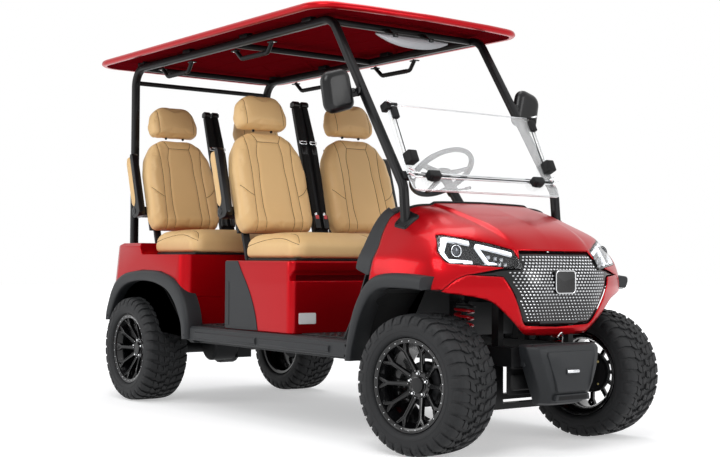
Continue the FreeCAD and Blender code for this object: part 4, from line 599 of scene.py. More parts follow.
class Looks:
    """Every finish of the cart."""

    PAINT = Finish("candy red paint", (0.47, 0.0006, 0.0055), (0.38, 0.0005, 0.004), 0.3, 0.6, 0.16,
                   0.02,
                   mottle=0.3, scale=3.0, spread=0.05, grain=0.02, grain_scale=900.0, specular=0.08)
    # Darker red than the roof paint: painted shade of the roof's underside, used for the lining and its
    # ribs.
    ROOF_LINING_PAINTED_SHADE = Finish("roof lining in painted shade", (0.16, 0.002, 0.006), (0.11, 0.0015, 0.004), 0.7,
                        ior=1.04, specular=0.04)
    TYRE = Finish("tyre rubber", (0.013, 0.0135, 0.0145), (0.022, 0.0225, 0.024), 0.62, mottle=0.6,
                  scale=9.0,
                  grain=0.3, grain_scale=700.0, specular=0.3)
    RIM = Finish("gloss black wheel paint", (0.0025, 0.0025, 0.003), (0.004, 0.004, 0.0045), 0.2,
                 0.0, 0.5, 0.03,
                 grain=0.02, spread=0.06, specular=0.25)
    BRIGHT = Finish("polished steel", (0.78, 0.79, 0.80), (0.62, 0.63, 0.65), 0.16, 1.0, spread=0.1,
                    grain=0.05)
    SILVER = Finish("satin silver", (0.68, 0.69, 0.71), (0.50, 0.51, 0.53), 0.28, 0.85, 0.3,
                    grain=0.04)
    GOLD = Finish("yellow zinc plate", (0.72, 0.58, 0.24), (0.55, 0.50, 0.28), 0.3, 1.0, scale=40.0,
                  mottle=0.7)
    FRAME = Finish("satin black powder coat", (0.005, 0.005, 0.0055), (0.009, 0.009, 0.010), 0.4,
                   0.0, 0.06, 0.2,
                   grain=0.12, grain_scale=900.0, specular=0.16)
    PLASTIC = Finish("grained dark grey plastic", (0.016, 0.0175, 0.0195), (0.025, 0.027, 0.030),
                     0.5, mottle=0.45,
                     grain=0.3, grain_scale=800.0, specular=0.3)
    PLASTIC_BLACK = Finish("smooth black plastic", (0.005, 0.005, 0.0055), (0.008, 0.008, 0.009),
                           0.3, coat=0.15,
                           coat_roughness=0.15, specular=0.25)
    RUBBER = Finish("black rubber", (0.006, 0.006, 0.0065), (0.012, 0.012, 0.0125), 0.6, grain=0.2,
                    specular=0.2)
    MAT = Finish("moulded floor mat", (0.008, 0.008, 0.0085), (0.016, 0.016, 0.017), 0.45,
                 mottle=0.6, scale=14.0,
                 specular=0.3)
    LEATHER = Finish("tan leather", (0.82, 0.545, 0.255), (0.71, 0.455, 0.200), 0.45, mottle=0.4,
                     scale=7.0,
                     spread=0.14, grain=0.22, pattern=Pattern.LEATHER, specular=0.35)
    LEATHER_DARK = Finish("brown piping", (0.17, 0.085, 0.030), (0.12, 0.060, 0.022), 0.6,
                          scale=30.0, specular=0.2)
    WEBBING = Finish("black webbing", (0.006, 0.006, 0.0065), (0.011, 0.011, 0.012), 0.62,
                     grain=0.6,
                     pattern=Pattern.WEAVE, specular=0.15)
    RED_BUTTON = Finish("red push button", (0.62, 0.010, 0.014), (0.50, 0.008, 0.010), 0.3,
                        coat=0.5)
    SPRING = Finish("red spring coat", (0.56, 0.006, 0.014), (0.44, 0.005, 0.010), 0.3, coat=0.6,
                    specular=0.2)
    CAST = Finish("dark cast metal", (0.016, 0.0165, 0.018), (0.028, 0.028, 0.030), 0.52, 0.5,
                  mottle=0.7,
                  scale=18.0, grain=0.5, grain_scale=260.0, specular=0.3)
    GRILLE = Finish("grille black", (0.004, 0.004, 0.0045), (0.008, 0.008, 0.009), 0.3, coat=0.25,
                    specular=0.25)
    ACRYLIC = Finish("clear acrylic", (0.985, 0.99, 0.99), (0.975, 0.985, 0.99), 0.015, spread=0.01,
                     grain=0.0,
                     pattern=Pattern.GLASS, ior=1.46, clarity=0.82)
    # Pale opaque edge colour of the clear panels: a painted highlight of light caught in their edges.
    ACRYLIC_EDGE_PAINTED_GLINT = Finish("acrylic edge with painted glint", (0.84, 0.87, 0.89), (0.72, 0.76, 0.79), 0.12,
                          0.2,
                          0.6, grain=0.0)
    LENS = Finish("lamp lens", (0.97, 0.98, 0.99), (0.95, 0.96, 0.97), 0.01, spread=0.0, grain=0.0,
                  pattern=Pattern.GLASS, ior=1.3)
    LAMP_BLACK = Finish("lamp housing", (0.005, 0.005, 0.0055), (0.009, 0.009, 0.010), 0.25, 0.1,
                        0.3, specular=0.2)
    LAMP_WHITE = Finish("light guide", (0.88, 0.91, 0.95), (0.80, 0.84, 0.90), 0.35, glow=0.4)
    REFLECTOR = Finish("lamp reflector", (0.62, 0.63, 0.65), (0.36, 0.37, 0.39), 0.14, 1.0,
                       scale=60.0)
    PROJECTOR = Finish("projector glass", (0.030, 0.035, 0.045), (0.060, 0.065, 0.080), 0.05, 0.5,
                       1.0, 0.01,
                       grain=0.0, spread=0.02)
    RED_LENS = Finish("red lamp lens", (0.46, 0.006, 0.010), (0.34, 0.004, 0.008), 0.14, coat=1.0,
                      scale=40.0,
                      grain=0.6, grain_scale=220.0)
    MIRROR = Finish("mirror glass", (0.86, 0.88, 0.90), (0.84, 0.86, 0.88), 0.03, 1.0, spread=0.01,
                    grain=0.0)
    LABEL = Finish("white label", (0.86, 0.86, 0.86), (0.80, 0.80, 0.80), 0.4)
    WHEEL_GREY = Finish("steering wheel grip", (0.022, 0.024, 0.027), (0.034, 0.036, 0.040), 0.45,
                        scale=12.0,
                        grain=0.3, pattern=Pattern.LEATHER, specular=0.3)
    BLADE = Finish("satin grey mirror back", (0.40, 0.41, 0.43), (0.32, 0.33, 0.35), 0.35, 0.2,
                   grain=0.05)
    # The seat box's recess band is painted a darker red: painted shade in the sunk band.
    RECESS_PAINTED_SHADE = Finish("shaded red recess", (0.10, 0.0005, 0.002), (0.07, 0.0004, 0.0015), 0.4, 0.3,
                    specular=0.05)
    CASE = Finish("battery case", (0.05, 0.05, 0.055), (0.08, 0.08, 0.085), 0.5)
    BACKING = Finish("seat back shell", (0.009, 0.009, 0.010), (0.015, 0.015, 0.017), 0.45,
                     grain=0.4, specular=0.25)


def make_piece(name: str, shape: Shape, finishes: Sequence[Finish], body: str = "root",
               replaces: Sequence[str] = (), sharp: float = 35.0,
               shell: float = 0.0) -> bpy.types.Object:
    """Put a shape into the scene as one piece.

    Args:
        name: The piece's name.
        shape: Its points in millimetres and its faces.
        finishes: The finishes that the faces' numbers stand for.
        body: The moving body that it rides on.
        replaces: The frame's nodes that it stands for.
        sharp: Edges folded more than this many degrees stay sharp.
        shell: Thickness in millimetres given to an open sheet, behind it.

    Returns:
        The new object.
    """
    mesh = bpy.data.meshes.new(name)
    points = (shape.points + np.array([0.0, AXLE_TO_ORIGIN, 0.0])) * MM
    mesh.from_pydata(points.tolist(), [], shape.faces)
    mesh.polygons.foreach_set("material_index", shape.finish.astype(np.int32))
    made = bmesh.new()
    made.from_mesh(mesh)
    bmesh.ops.remove_doubles(made, verts=made.verts, dist=2e-6)
    bmesh.ops.dissolve_degenerate(made, edges=made.edges, dist=1e-7)
    if shell == 0.0:
        bmesh.ops.recalc_face_normals(made, faces=made.faces)
    made.to_mesh(mesh)
    made.free()
    for finish in finishes:
        mesh.materials.append(finish.material())
    mesh.shade_smooth()
    if sharp < 180.0:
        mesh.set_sharp_from_angle(angle=math.radians(sharp))
    obj = bpy.data.objects.new(name, mesh)
    bpy.context.scene.collection.objects.link(obj)
    if shell > 0.0:
        skin = obj.modifiers.new("wall", "SOLIDIFY")
        skin.thickness = shell * MM
        skin.offset = -1.0
    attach(obj, body)
    if replaces:
        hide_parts(*replaces)
    LOG.info("%s: %d faces", name, len(mesh.polygons))
    return obj


def add_bevel(obj: bpy.types.Object, width: float) -> None:
    """Round an object's folded edges by a width in millimetres."""
    edge = obj.modifiers.new("edge", "BEVEL")
    edge.width = width * MM
    edge.segments = 2
    edge.limit_method = "ANGLE"
    edge.angle_limit = math.radians(28.0)
    edge.use_clamp_overlap = True
    edge.harden_normals = False


def eased_copy(frame: dict, node: str, finish: Finish, slot: str = "", bevel: float = 2.0,
               name: str = "", keep: Optional[Callable[[np.ndarray], bool]] = None,
               shift: Optional[Callable[[np.ndarray], np.ndarray]] = None) -> bpy.types.Object:
    """A copy of a frame node with its edges eased, which stands for the node.

    The copy's triangles are merged, flat neighbours become one face, and a bevel rounds what is
    left of the edges, so that they catch the light as moulded and rolled edges do.

    Args:
        node: The node to copy.
        finish: Its finish.
        slot: Not used.
        bevel: Width of the rounding in millimetres.
        name: The piece's name; the node's name with a suffix if empty.
        keep: A test of a solid's centre in millimetres; solids that fail it are left out.
        shift: Moves the copy's points, in the part's own millimetres.

    Returns:
        The new object.
    """
    mesh = frame["nodes"][node].data.copy()
    mesh.name = name or node + "_eased"
    made = bmesh.new()
    made.from_mesh(mesh)
    bmesh.ops.remove_doubles(made, verts=made.verts, dist=2e-5)
    if keep is not None:
        drop_islands(made, keep)
    bmesh.ops.dissolve_limit(made, angle_limit=math.radians(1.0), verts=made.verts,
                             edges=made.edges)
    made.to_mesh(mesh)
    made.free()
    if shift is not None:
        flat = np.empty(len(mesh.vertices) * 3)
        mesh.vertices.foreach_get("co", flat)
        moved = shift(flat.reshape(-1, 3) / MM - [0.0, AXLE_TO_ORIGIN,
                                                  0.0]) + [0.0, AXLE_TO_ORIGIN, 0.0]
        mesh.vertices.foreach_set("co", (moved * MM).ravel())
        mesh.update()
    mesh.materials.clear()
    mesh.materials.append(finish.material())
    mesh.polygons.foreach_set("material_index", np.zeros(len(mesh.polygons), np.int32))
    if mesh.has_custom_normals:
        mesh.attributes.remove(mesh.attributes["custom_normal"])
    mesh.shade_smooth()
    mesh.set_sharp_from_angle(angle=math.radians(35.0))
    obj = bpy.data.objects.new(mesh.name, mesh)
    bpy.context.scene.collection.objects.link(obj)
    add_bevel(obj, bevel)
    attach(obj, "root")
    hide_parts(node)
    LOG.info("%s: %d faces from the frame", mesh.name, len(mesh.polygons))
    return obj


def drop_islands(made: bmesh.types.BMesh, keep: Callable[[np.ndarray], bool]) -> None:
    """Delete the connected parts of a mesh whose centre fails a test."""
    made.verts.ensure_lookup_table()
    seen: set[int] = set()
    gone: list[bmesh.types.BMVert] = []
    for seed in made.verts:
        if seed.index in seen:
            continue
        island, todo = [], [seed]
        seen.add(seed.index)
        while todo:
            vert = todo.pop()
            island.append(vert)
            for edge in vert.link_edges:
                other = edge.other_vert(vert)
                if other.index not in seen:
                    seen.add(other.index)
                    todo.append(other)
        low = np.array([v.co for v in island]) / MM - np.array([0.0, AXLE_TO_ORIGIN, 0.0])
        if not keep((low.min(0) + low.max(0)) / 2.0):
            gone.extend(island)
    bmesh.ops.delete(made, geom=gone, context="VERTS")


# Front body


def hermite(knots: np.ndarray, values: np.ndarray, at: np.ndarray) -> np.ndarray:
    """Values between knots by cubic Hermite spans whose end slopes are central differences."""
    slopes = np.gradient(values, knots, axis=0)
    index = np.clip(np.searchsorted(knots, at) - 1, 0, len(knots) - 2)
    width = knots[index + 1] - knots[index]
    t = np.clip((at - knots[index]) / width, 0.0, 1.0)
    if values.ndim > 1:
        width, t = width[:, None], t[:, None]
    return ((2 * t ** 3 - 3 * t ** 2 + 1) * values[index]
            + (t ** 3 - 2 * t ** 2 + t) * width * slopes[index]
            + (3 * t ** 2 - 2 * t ** 3) * values[index + 1]
            + (t ** 3 - t ** 2) * width * slopes[index + 1])


def inside(points: np.ndarray, outline: np.ndarray) -> np.ndarray:
    """Which 2-D points lie in a closed outline, by the odd-even count of edges to their right."""
    x, y = points[:, :1], points[:, 1:]
    ax, ay = outline[:, 0], outline[:, 1]
    bx, by = np.roll(ax, -1), np.roll(ay, -1)
    crosses = (ay > y) != (by > y)
    reach = ax + (y - ay) * (bx - ax) / np.where(by == ay, 1e-9, by - ay)
    return (np.sum(crosses & (x < reach), axis=1) % 2).astype(bool)


def apart(points: np.ndarray, outline: np.ndarray) -> np.ndarray:
    """Least distance of 2-D points from a closed outline's edges."""
    a = outline[None]
    ab = np.roll(outline, -1, 0)[None] - a
    ap = points[:, None] - a
    t = np.clip(np.sum(ap * ab, -1) / np.maximum(np.sum(ab * ab, -1), 1e-9), 0.0, 1.0)
    return np.min(np.linalg.norm(ap - t[..., None] * ab, axis=-1), axis=1)


def filled(outline: np.ndarray, holes: Sequence[np.ndarray],
           spacing: float) -> tuple[np.ndarray, Faces]:
    """Triangles over a flat region: its outline, its holes and a staggered grid of points between."""
    loops = [outline, *holes]
    low, high = outline.min(0), outline.max(0)
    rows = np.arange(low[1], high[1], spacing * 0.87)
    columns = np.arange(low[0], high[0], spacing)
    gx, gy = np.meshgrid(columns, rows)
    gx = gx + (np.arange(len(rows)) % 2)[:, None] * spacing / 2.0
    free = np.column_stack([gx.ravel(), gy.ravel()])
    keep = inside(free, outline)
    for loop in loops:
        keep &= apart(free, loop) > spacing * 0.45
    for hole in holes:
        keep &= ~inside(free, hole)
    points, edges, start = [], [], 0
    for loop in loops:
        count = len(loop)
        points.append(loop)
        edges.extend((start + k, start + (k + 1) % count) for k in range(count))
        start += count
    points.append(free[keep])
    every = np.vstack(points)
    verts, _, faces, *_ = delaunay_2d_cdt([Vector(p) for p in every.tolist()], edges, [], 0, 1e-5)
    flat = np.array([tuple(v) for v in verts])
    tri = np.array([tuple(f) for f in faces])
    centre = flat[tri].mean(axis=1)
    good = inside(centre, outline)
    for hole in holes:
        good &= ~inside(centre, hole)
    return flat, [tuple(f) for f in tri[good].tolist()]


@dataclass
class NoseForm:
    """The front body's outer form: the hood's cross sections met by the swept-back nose."""

    stations: tuple = (
        (-330, ((0, 800), (160, 800), (260, 795), (340, 780), (400, 760), (455, 715), (465, 600))),
        (-150, ((0, 925), (200, 918), (320, 903), (410, 882), (490, 835), (540, 765), (550, 600))),
        (30, ((0, 995), (240, 988), (360, 972), (450, 940), (520, 885), (580, 785), (592, 600))),
        (213, ((0, 1048), (270, 1043), (400, 1025), (480, 965), (560, 860), (595, 780),
               (600, 600))),
        (470, ((0, 1062), (280, 1057), (430, 1040), (500, 975), (568, 865), (600, 785),
               (604, 600))))
    profile: tuple = ((-225, 450), (-250, 500), (-292, 600), (-310, 710), (-285, 790), (-250, 840),
                      (-198, 907),
                      (-130, 990))
    sweep: tuple = ((0, 0), (210, 6), (350, 62), (500, 150), (630, 250))
    axis_z: float = 600.0
    eye: Triple = (0, 600, 650)
    unroll: float = 850.0
    lip_round: float = 16.0
    bulge: float = 11.0
    bulge_half: float = 222.0
    bulge_from: float = -230.0
    bulge_flare: float = 0.14
    bulge_soft: float = 13.0
    bulge_fade: Pair = (-340, -200)
    before: float = -420.0
    beside: float = 720.0
    above: float = 1250.0
    table: np.ndarray = field(init=False)
    depths: np.ndarray = field(init=False)

    def __post_init__(self) -> None:
        """Work out the hood's radius about its lengthwise axis for every angle and depth."""
        angles = np.linspace(0.0, np.pi / 2.0, 181)
        rows = []
        for _, half in self.stations:
            line = curve_through(half, 200)
            away = np.arctan2(line[:, 0], line[:, 1] - self.axis_z)
            rows.append(np.interp(angles, away, np.hypot(line[:, 0], line[:, 1] - self.axis_z)))
        self.depths = np.linspace(self.stations[0][0], self.stations[-1][0], 321)
        knots = np.array([y for y, _ in self.stations])
        self.table = hermite(knots, np.array(rows), self.depths)

    def level(self, points: np.ndarray) -> np.ndarray:
        """How far points stand outside the form, in millimetres, negative inside.

        The hood's level is the distance from its axis less the tabled radius; the nose's is the
        depth of its profile plus sweep less the point's depth. Their smooth maximum,
        (a + b + sqrt((a - b)2 + k2)) / 2, rounds the lip between them.
        """
        x, y, z = np.abs(points[:, 0]), points[:, 1], points[:, 2]
        rise = np.maximum(z - self.axis_z, 0.0)
        angle = np.arctan2(x, np.maximum(rise, 1e-6)) / (np.pi / 2.0) * 180.0
        depth = np.clip((y - self.depths[0]) / (self.depths[1] - self.depths[0]), 0.0, 319.999)
        a0 = np.clip(angle.astype(int), 0, 179)
        d0 = depth.astype(int)
        fa, fd = np.clip(angle - a0, 0.0, 1.0), depth - d0
        t = self.table
        radius = ((1 - fd) * ((1 - fa) * t[d0, a0] + fa * t[d0, a0 + 1])
                  + fd * ((1 - fa) * t[d0 + 1, a0] + fa * t[d0 + 1, a0 + 1]))
        edge = self.bulge_half + (y - self.bulge_from) * self.bulge_flare
        raised = 1.0 - smoothstep(-self.bulge_soft, self.bulge_soft, x - edge)
        radius = radius + self.bulge * raised * smoothstep(*self.bulge_fade, y)
        hood = np.hypot(x, rise) - radius
        profile = np.array(self.profile, float)
        sweep = np.array(self.sweep, float)
        nose = (hermite(profile[:, 1], profile[:, 0], z) + hermite(sweep[:, 0], sweep[:, 1], x)) - y
        return 0.5 * (hood + nose + np.sqrt((hood - nose) ** 2 + self.lip_round ** 2))

    def dropped(self, start: np.ndarray, direction: np.ndarray, span: float) -> np.ndarray:
        """Where rays from outside first meet the form: coarse steps, then halving."""
        start = np.asarray(start, float)
        direction = np.broadcast_to(np.asarray(direction, float), start.shape)
        steps = np.linspace(0.0, span, 90)
        low = np.zeros(len(start))
        high = np.full(len(start), span)
        found = np.zeros(len(start), bool)
        for before, after in zip(steps[:-1], steps[1:]):
            hit = ~found & (self.level(start + direction * after) < 0.0)
            low[hit], high[hit] = before, after
            found |= hit
        for _ in range(22):
            mid = 0.5 * (low + high)
            within = self.level(start + direction * mid[:, None]) < 0.0
            high = np.where(within, mid, high)
            low = np.where(within, low, mid)
        return start + direction * high[:, None]

    def from_front(self, outline: np.ndarray) -> np.ndarray:
        """(x, z) points pushed back onto the form."""
        return self.dropped(front_view(outline, self.before), (0, 1, 0), 1000.0)

    def from_side(self, outline: np.ndarray) -> np.ndarray:
        """(y, z) points pushed inwards onto the form's left side."""
        return self.dropped(side_view(outline, self.beside), (-1, 0, 0), 600.0)

    def from_top(self, outline: np.ndarray) -> np.ndarray:
        """(x, y) points dropped onto the form."""
        return self.dropped(plan(outline, self.above), (0, 0, -1), 700.0)

    def normal(self, points: np.ndarray) -> np.ndarray:
        """Unit directions in which the level grows, by central differences."""
        step = np.eye(3) * 1.5
        slope = np.stack([self.level(points + s) - self.level(points - s) for s in step], 1)
        return slope / np.linalg.norm(slope, axis=1)[:, None]

    def sunk(self, points: np.ndarray, depth: float) -> np.ndarray:
        """Points moved inwards along the form's normal."""
        return points - self.normal(points) * depth

    def unrolled(self, points: np.ndarray) -> np.ndarray:
        """Points on the form as two angles seen from inside it, in millimetres of arc."""
        d = points - np.asarray(self.eye)
        return np.column_stack([np.arctan2(d[:, 0], np.hypot(d[:, 1], d[:, 2])),
                                np.arctan2(d[:, 2], -d[:, 1])]) * self.unroll

    def rolled(self, flat: np.ndarray) -> np.ndarray:
        """The points on the form at those angles."""
        side, up = flat[:, 0] / self.unroll, flat[:, 1] / self.unroll
        ray = np.column_stack([np.sin(side), -np.cos(side) * np.cos(up), np.cos(side) * np.sin(up)])
        return self.dropped(np.asarray(self.eye) + ray * 1150.0, -ray, 1100.0)

    def panel(self, outline: np.ndarray, holes: Sequence[np.ndarray] = (), spacing: float = 14.0,
              depth: float = 0.0) -> Shape:
        """The part of the form inside an outline of points on it, less its holes.

        Args:
            outline: Closed loop of points on the form.
            holes: Closed loops of points on the form.
            spacing: Distance between the points worked out in between.
            depth: How far the panel stands inside the form.

        Returns:
            The panel as an open sheet that faces outwards.
        """
        flat, faces = filled(self.unrolled(outline), [self.unrolled(hole) for hole in holes],
                             spacing)
        points = self.rolled(flat)
        first = np.array([f[:3] for f in faces])
        a, b, c = (points[first[:, k]] for k in range(3))
        facing = np.sum(np.cross(b - a, c - a) * self.normal((a + b + c) / 3.0), axis=1) > 0
        faces = [f if good else f[::-1] for f, good in zip(faces, facing.tolist())]
        return Shape.of(self.sunk(points, depth) if depth else points, faces)

    def band(self, path: np.ndarray, width: float, top: float, bottom: float) -> Shape:
        """A raised band along an (x, z) path: its four corners at each point lie at two depths."""
        tangent = np.gradient(path, axis=0)
        tangent /= np.linalg.norm(tangent, axis=1)[:, None]
        side = np.column_stack([-tangent[:, 1], tangent[:, 0]]) * width / 2.0
        left, right = self.from_front(path + side), self.from_front(path - side)
        rings = [self.sunk(left, top), self.sunk(right, top), self.sunk(right, bottom),
                 self.sunk(left, bottom)]
        return surface(np.stack(rings, 1), close_columns=True, caps=True)


def both_ways(half: np.ndarray) -> np.ndarray:
    """A closed front-view loop from its left half, which runs from the middle plane to itself."""
    other = half[::-1] * np.array([-1.0] + [1.0] * (half.shape[1] - 1))
    return np.vstack([half, other[np.abs(other[:, 0]) > 1e-6]])


def bend2(corners: Sequence[Pair], radius: float) -> np.ndarray:
    """A flat path with rounded corners, respaced evenly."""
    path = bent([(x, 0, z) for x, z in corners], radius, 5)[:, [0, 2]]
    return even(path, 40)


@dataclass
class FrontBody:
    """Hood and fenders, chin frame, studded grille, headlamps and the dark cowl sides."""

    form: NoseForm = field(default_factory=NoseForm)
    wall: float = 4.0
    lamp_outline: tuple = ((229, 846), (305, 871), (383, 889), (470, 911), (514, 840), (508, 790),
                           (363, 780), (222, 766))
    arch: tuple = ((262, 712), (190, 728), (66, 734), (-60, 730), (-84, 700), (-100, 680),
                   (-122, 676))
    cowl_line: tuple = ((0, 213), (300, 215), (400, 226), (452, 262))
    side_curve: tuple = ((277, 986), (264, 921), (241, 848), (248, 790), (257, 740))
    trim_rear: tuple = ((354, 766), (345, 839), (346, 890), (350, 940), (352, 985), (346, 1020))
    wing: tuple = ((534, 677), (489, 721), (444, 743))
    grille_edge: tuple = ((0, 524), (186, 532), (205, 545), (312, 735), (424, 741))
    black_edge: tuple = ((204, 840), (236, 781), (420, 745), (312, 738), (205, 548), (186, 535),
                         (0, 527))
    stud_pitch: Pair = (18.6, 13.4)
    stud_size: Pair = (13, 8.4)
    badge: Pair = (120, 98)
    badge_z: float = 714.0

    def outline_hood(self) -> np.ndarray:
        """The red shell's edge: cowl line, side curve, wheel arch and the chin's upper edge."""
        f = self.form
        cowl = f.from_top(curve_through(self.cowl_line, 36))
        side = f.from_side(curve_through(self.side_curve, 24))
        arch = f.from_side(even(np.array(self.arch, float), 40))
        chin = f.from_front(np.vstack([curve_through(self.wing, 12) + [0.0, 1.6],
                                       even(np.array([(440, 744), (238, 785)]), 14)[1:],
                                       even(np.array([(238, 785), (205, 845)]), 5)[1:],
                                       even(np.array([(205, 845), (0, 845)]), 14)[1:]]))
        return both_ways(np.vstack([cowl, side, arch, chin]))

    def lamp_loop(self, grow: float) -> np.ndarray:
        """The headlamp's edge on the form, let out by a distance."""
        outline = rounded_outline(self.lamp_outline, (8, 60, 60, 16, 26, 22, 60, 7), 4)
        return self.form.from_front(even_loop(drawn_in(outline, -grow), 84))

    def build(self) -> None:
        """Make every piece of the front body."""
        f = self.form
        lamp = self.lamp_loop(1.5)
        mirror = lamp[::-1] * np.array([-1.0, 1.0, 1.0])
        hood = f.panel(self.outline_hood(), [lamp, mirror], 13.0)
        chin_half = np.vstack([even(np.array([(0, 488), (165, 494)]), 14)[:-1],
                               curve_through(((165, 494), (184, 499), (205, 513)), 5)[:-1],
                               even(np.array([(205, 513), (335, 621)]), 14)[:-1],
                               curve_through(((335, 621), (362, 638), (395, 648)), 6)[:-1],
                               curve_through(((395, 648), (457, 660), (532, 671)), 12)[:-1],
                               curve_through(self.wing, 12) - [0.0, 1.6],
                               even(np.array(self.grille_edge, float)[::-1], 44)])
        chin = f.panel(f.from_front(both_ways(chin_half)), [], 12.0)
        make_piece("hood_and_chin", Shape.joined([hood, chin]), [Looks.PAINT],
                   replaces=["front_body"], sharp=60.0,
                   shell=self.wall)
        self.cowl_sides()
        self.grille()
        self.headlamps()

    def cowl_sides(self) -> None:
        """The dark panels that curve down from the cowl behind each fender."""
        f = self.form
        front = f.from_side(curve_through(self.side_curve, 26) + [3.0, 0.0])
        low = f.from_side(even(np.array([(264, 734), (352, 761)]), 10)[1:-1])
        rear = f.from_side(curve_through(self.trim_rear, 26))
        top = f.from_top(curve_through(((424, 350), (434, 326), (446, 296), (455, 268)), 12))
        trim = f.panel(np.vstack([front, low, rear, top]), [], 12.0)
        make_piece("cowl_sides", trim.both(), [Looks.PLASTIC], sharp=60.0,
                   shell=6.0)

    def grille(self) -> None:
        """The black grille plate, its rows of bright studs, and the plain badge plate."""
        f = self.form
        edge = np.array(self.black_edge, float)
        half = np.vstack([even(np.array([(0, 842), (204, 840)]), 16)[:-1], even(edge, 90)])
        plate = f.panel(f.from_front(both_ways(half)), [], 13.0, depth=7.0)
        make_piece("grille_plate", plate, [Looks.GRILLE], replaces=["grille"],
                   sharp=60.0,
                   shell=5.0)
        inner = drawn_in(both_ways(np.array([(0, 836), (203, 834), (226, 776), (300, 757),
                                             (196, 541), (0, 534)], float)),
                         7.0)
        px, pz = self.stud_pitch
        rows = np.arange(540.0, 836.0, pz)
        xs = np.arange(-17, 18) * px
        gx, gz = np.meshgrid(xs, rows)
        gx = gx + (np.arange(len(rows)) % 2)[:, None] * px / 2.0
        spots = np.column_stack([gx.ravel(), gz.ravel()])
        spots = spots[inside(spots, inner)]
        bw, bh = self.badge
        away = np.maximum(np.abs(spots[:, 0]) / (bw / 2 + 5),
                          np.abs(spots[:, 1] - self.badge_z) / (bh / 2 + 4))
        spots = spots[away > 1.0]
        centre = f.sunk(f.from_front(spots), 7.0)
        out = f.normal(centre)
        right = np.cross(np.array([0.0, 0.0, 1.0]), out)
        right /= np.linalg.norm(right, axis=1)[:, None]
        up = np.cross(out, right)
        outer = 1.0 - 0.45 * smoothstep(150.0, 300.0, np.abs(spots[:, 0]))
        grade = 0.62 + 0.38 * smoothstep(530.0, 700.0, spots[:, 1]) * outer
        angle = 2.0 * np.pi * np.arange(6) / 6
        rings = []
        for size, rise in ((1, -1), (1, 1.2), (0.62, 3.2)):
            w = (self.stud_size[0] / 2 * size * np.cos(angle))[None, :, None] * grade[:, None, None]
            h = (self.stud_size[1] / 2 * size * np.sin(angle))[None, :, None] * grade[:, None, None]
            rings.append(centre[:, None] + w * right[:, None] + h * up[:,
                                                                       None] + rise * out[:, None])
        points = np.stack(rings, 1).reshape(-1, 3)
        one = grid_faces(3, 6, close_columns=True) + [tuple(range(12, 18))]
        faces = [tuple(i + 18 * k for i in face) for k in range(len(spots)) for face in one]
        make_piece("grille_studs", Shape.of(points, faces), [Looks.SILVER],
                   sharp=30.0)
        outline = rounded_outline([(-bw / 2, -bh / 2), (bw / 2, -bh / 2), (bw / 2, bh / 2),
                                   (-bw / 2, bh / 2)], 20.0, 6)
        face_y = float(f.from_front(np.array([(0, self.badge_z)]))[0, 1])
        stand = layered(outline, edge_levels(face_y + 8.0, face_y, 2.0),
                        front_view).moved(z=self.badge_z)
        rim = swept(front_view(drawn_in(outline, 2.5),
                               face_y - 1.5) + np.array([0, 0, self.badge_z]),
                    circle(2.4, 8), up=(0, 1, 0), closed=True).finished(1)
        make_piece("badge_plate", Shape.joined([stand, rim]), [Looks.RIM, Looks.BRIGHT])

    def headlamps(self) -> None:
        """Each headlamp: housing, white light guides, projector, reflector cells and clear lens."""
        f = self.form
        loop = self.lamp_loop(0.4)
        bowl = f.panel(loop, [], 12.0, depth=26.0)
        walls = surface(np.stack([f.sunk(loop, 1.0), f.sunk(loop, 26.0)]), close_columns=True)
        housing = Shape.joined([bowl, walls])
        guides = [f.band(bend2(((388, 877), (464, 895), (501, 840), (497, 803), (412, 795)), 11.0),
                         14.0, 6.0, 19.0),
                  f.band(bend2(((242, 832), (371, 869), (356, 793), (322, 785)), 7.0), 13.0, 6.0,
                         19.0)]
        spot = f.from_front(np.array([(448, 848)]))
        ring_at = f.sunk(spot, 15.0)[0]
        aim = tuple((np.array([0.0, -1.0, 0.0]) * 0.8 + f.normal(spot)[0] * 0.2).tolist())
        projector = Shape.joined([
            ring([(-8, 31), (3, 32), (5, 30.5), (4, 27.5), (-6, 26)], 36).finished(0),
            ring([(2, 25), (4.4, 25), (4.4, 23.4), (2, 23.4)], 36).finished(1),
            lathe([(-8, 0), (-8, 27), (-4, 24), (3, 19), (6.5, 11), (7.5, 0)], 36).finished(2)])
        projector = projector.aimed(tuple(ring_at), aim)
        cells = []
        for x, z in ((332, 797), (309, 793), (287, 790), (340, 822), (316, 817), (294, 812)):
            at = f.sunk(f.from_front(np.array([(float(x), float(z))])), 16.0)[0]
            cells.append(lathe([(-6, 0), (-6, 9.5), (2, 10.5), (3, 9.5), (-2, 5), (-4, 0)], 4, 0.5)
                         .finished(3).aimed(tuple(at), (0, -1, 0)))
        inner = Shape.joined([housing, *[g.finished(4) for g in guides], projector, *cells])
        make_piece("headlamp_insides", inner.both(),
                   [Looks.LAMP_BLACK, Looks.REFLECTOR, Looks.PROJECTOR,
                                                      Looks.REFLECTOR, Looks.LAMP_WHITE],
                   replaces=["lamps"], sharp=40.0)
        lens = f.panel(loop, [], 12.0, depth=0.6)
        make_piece("headlamp_lenses", lens.both(), [Looks.LENS], sharp=180.0,
                   shell=2.0)


# Wheels


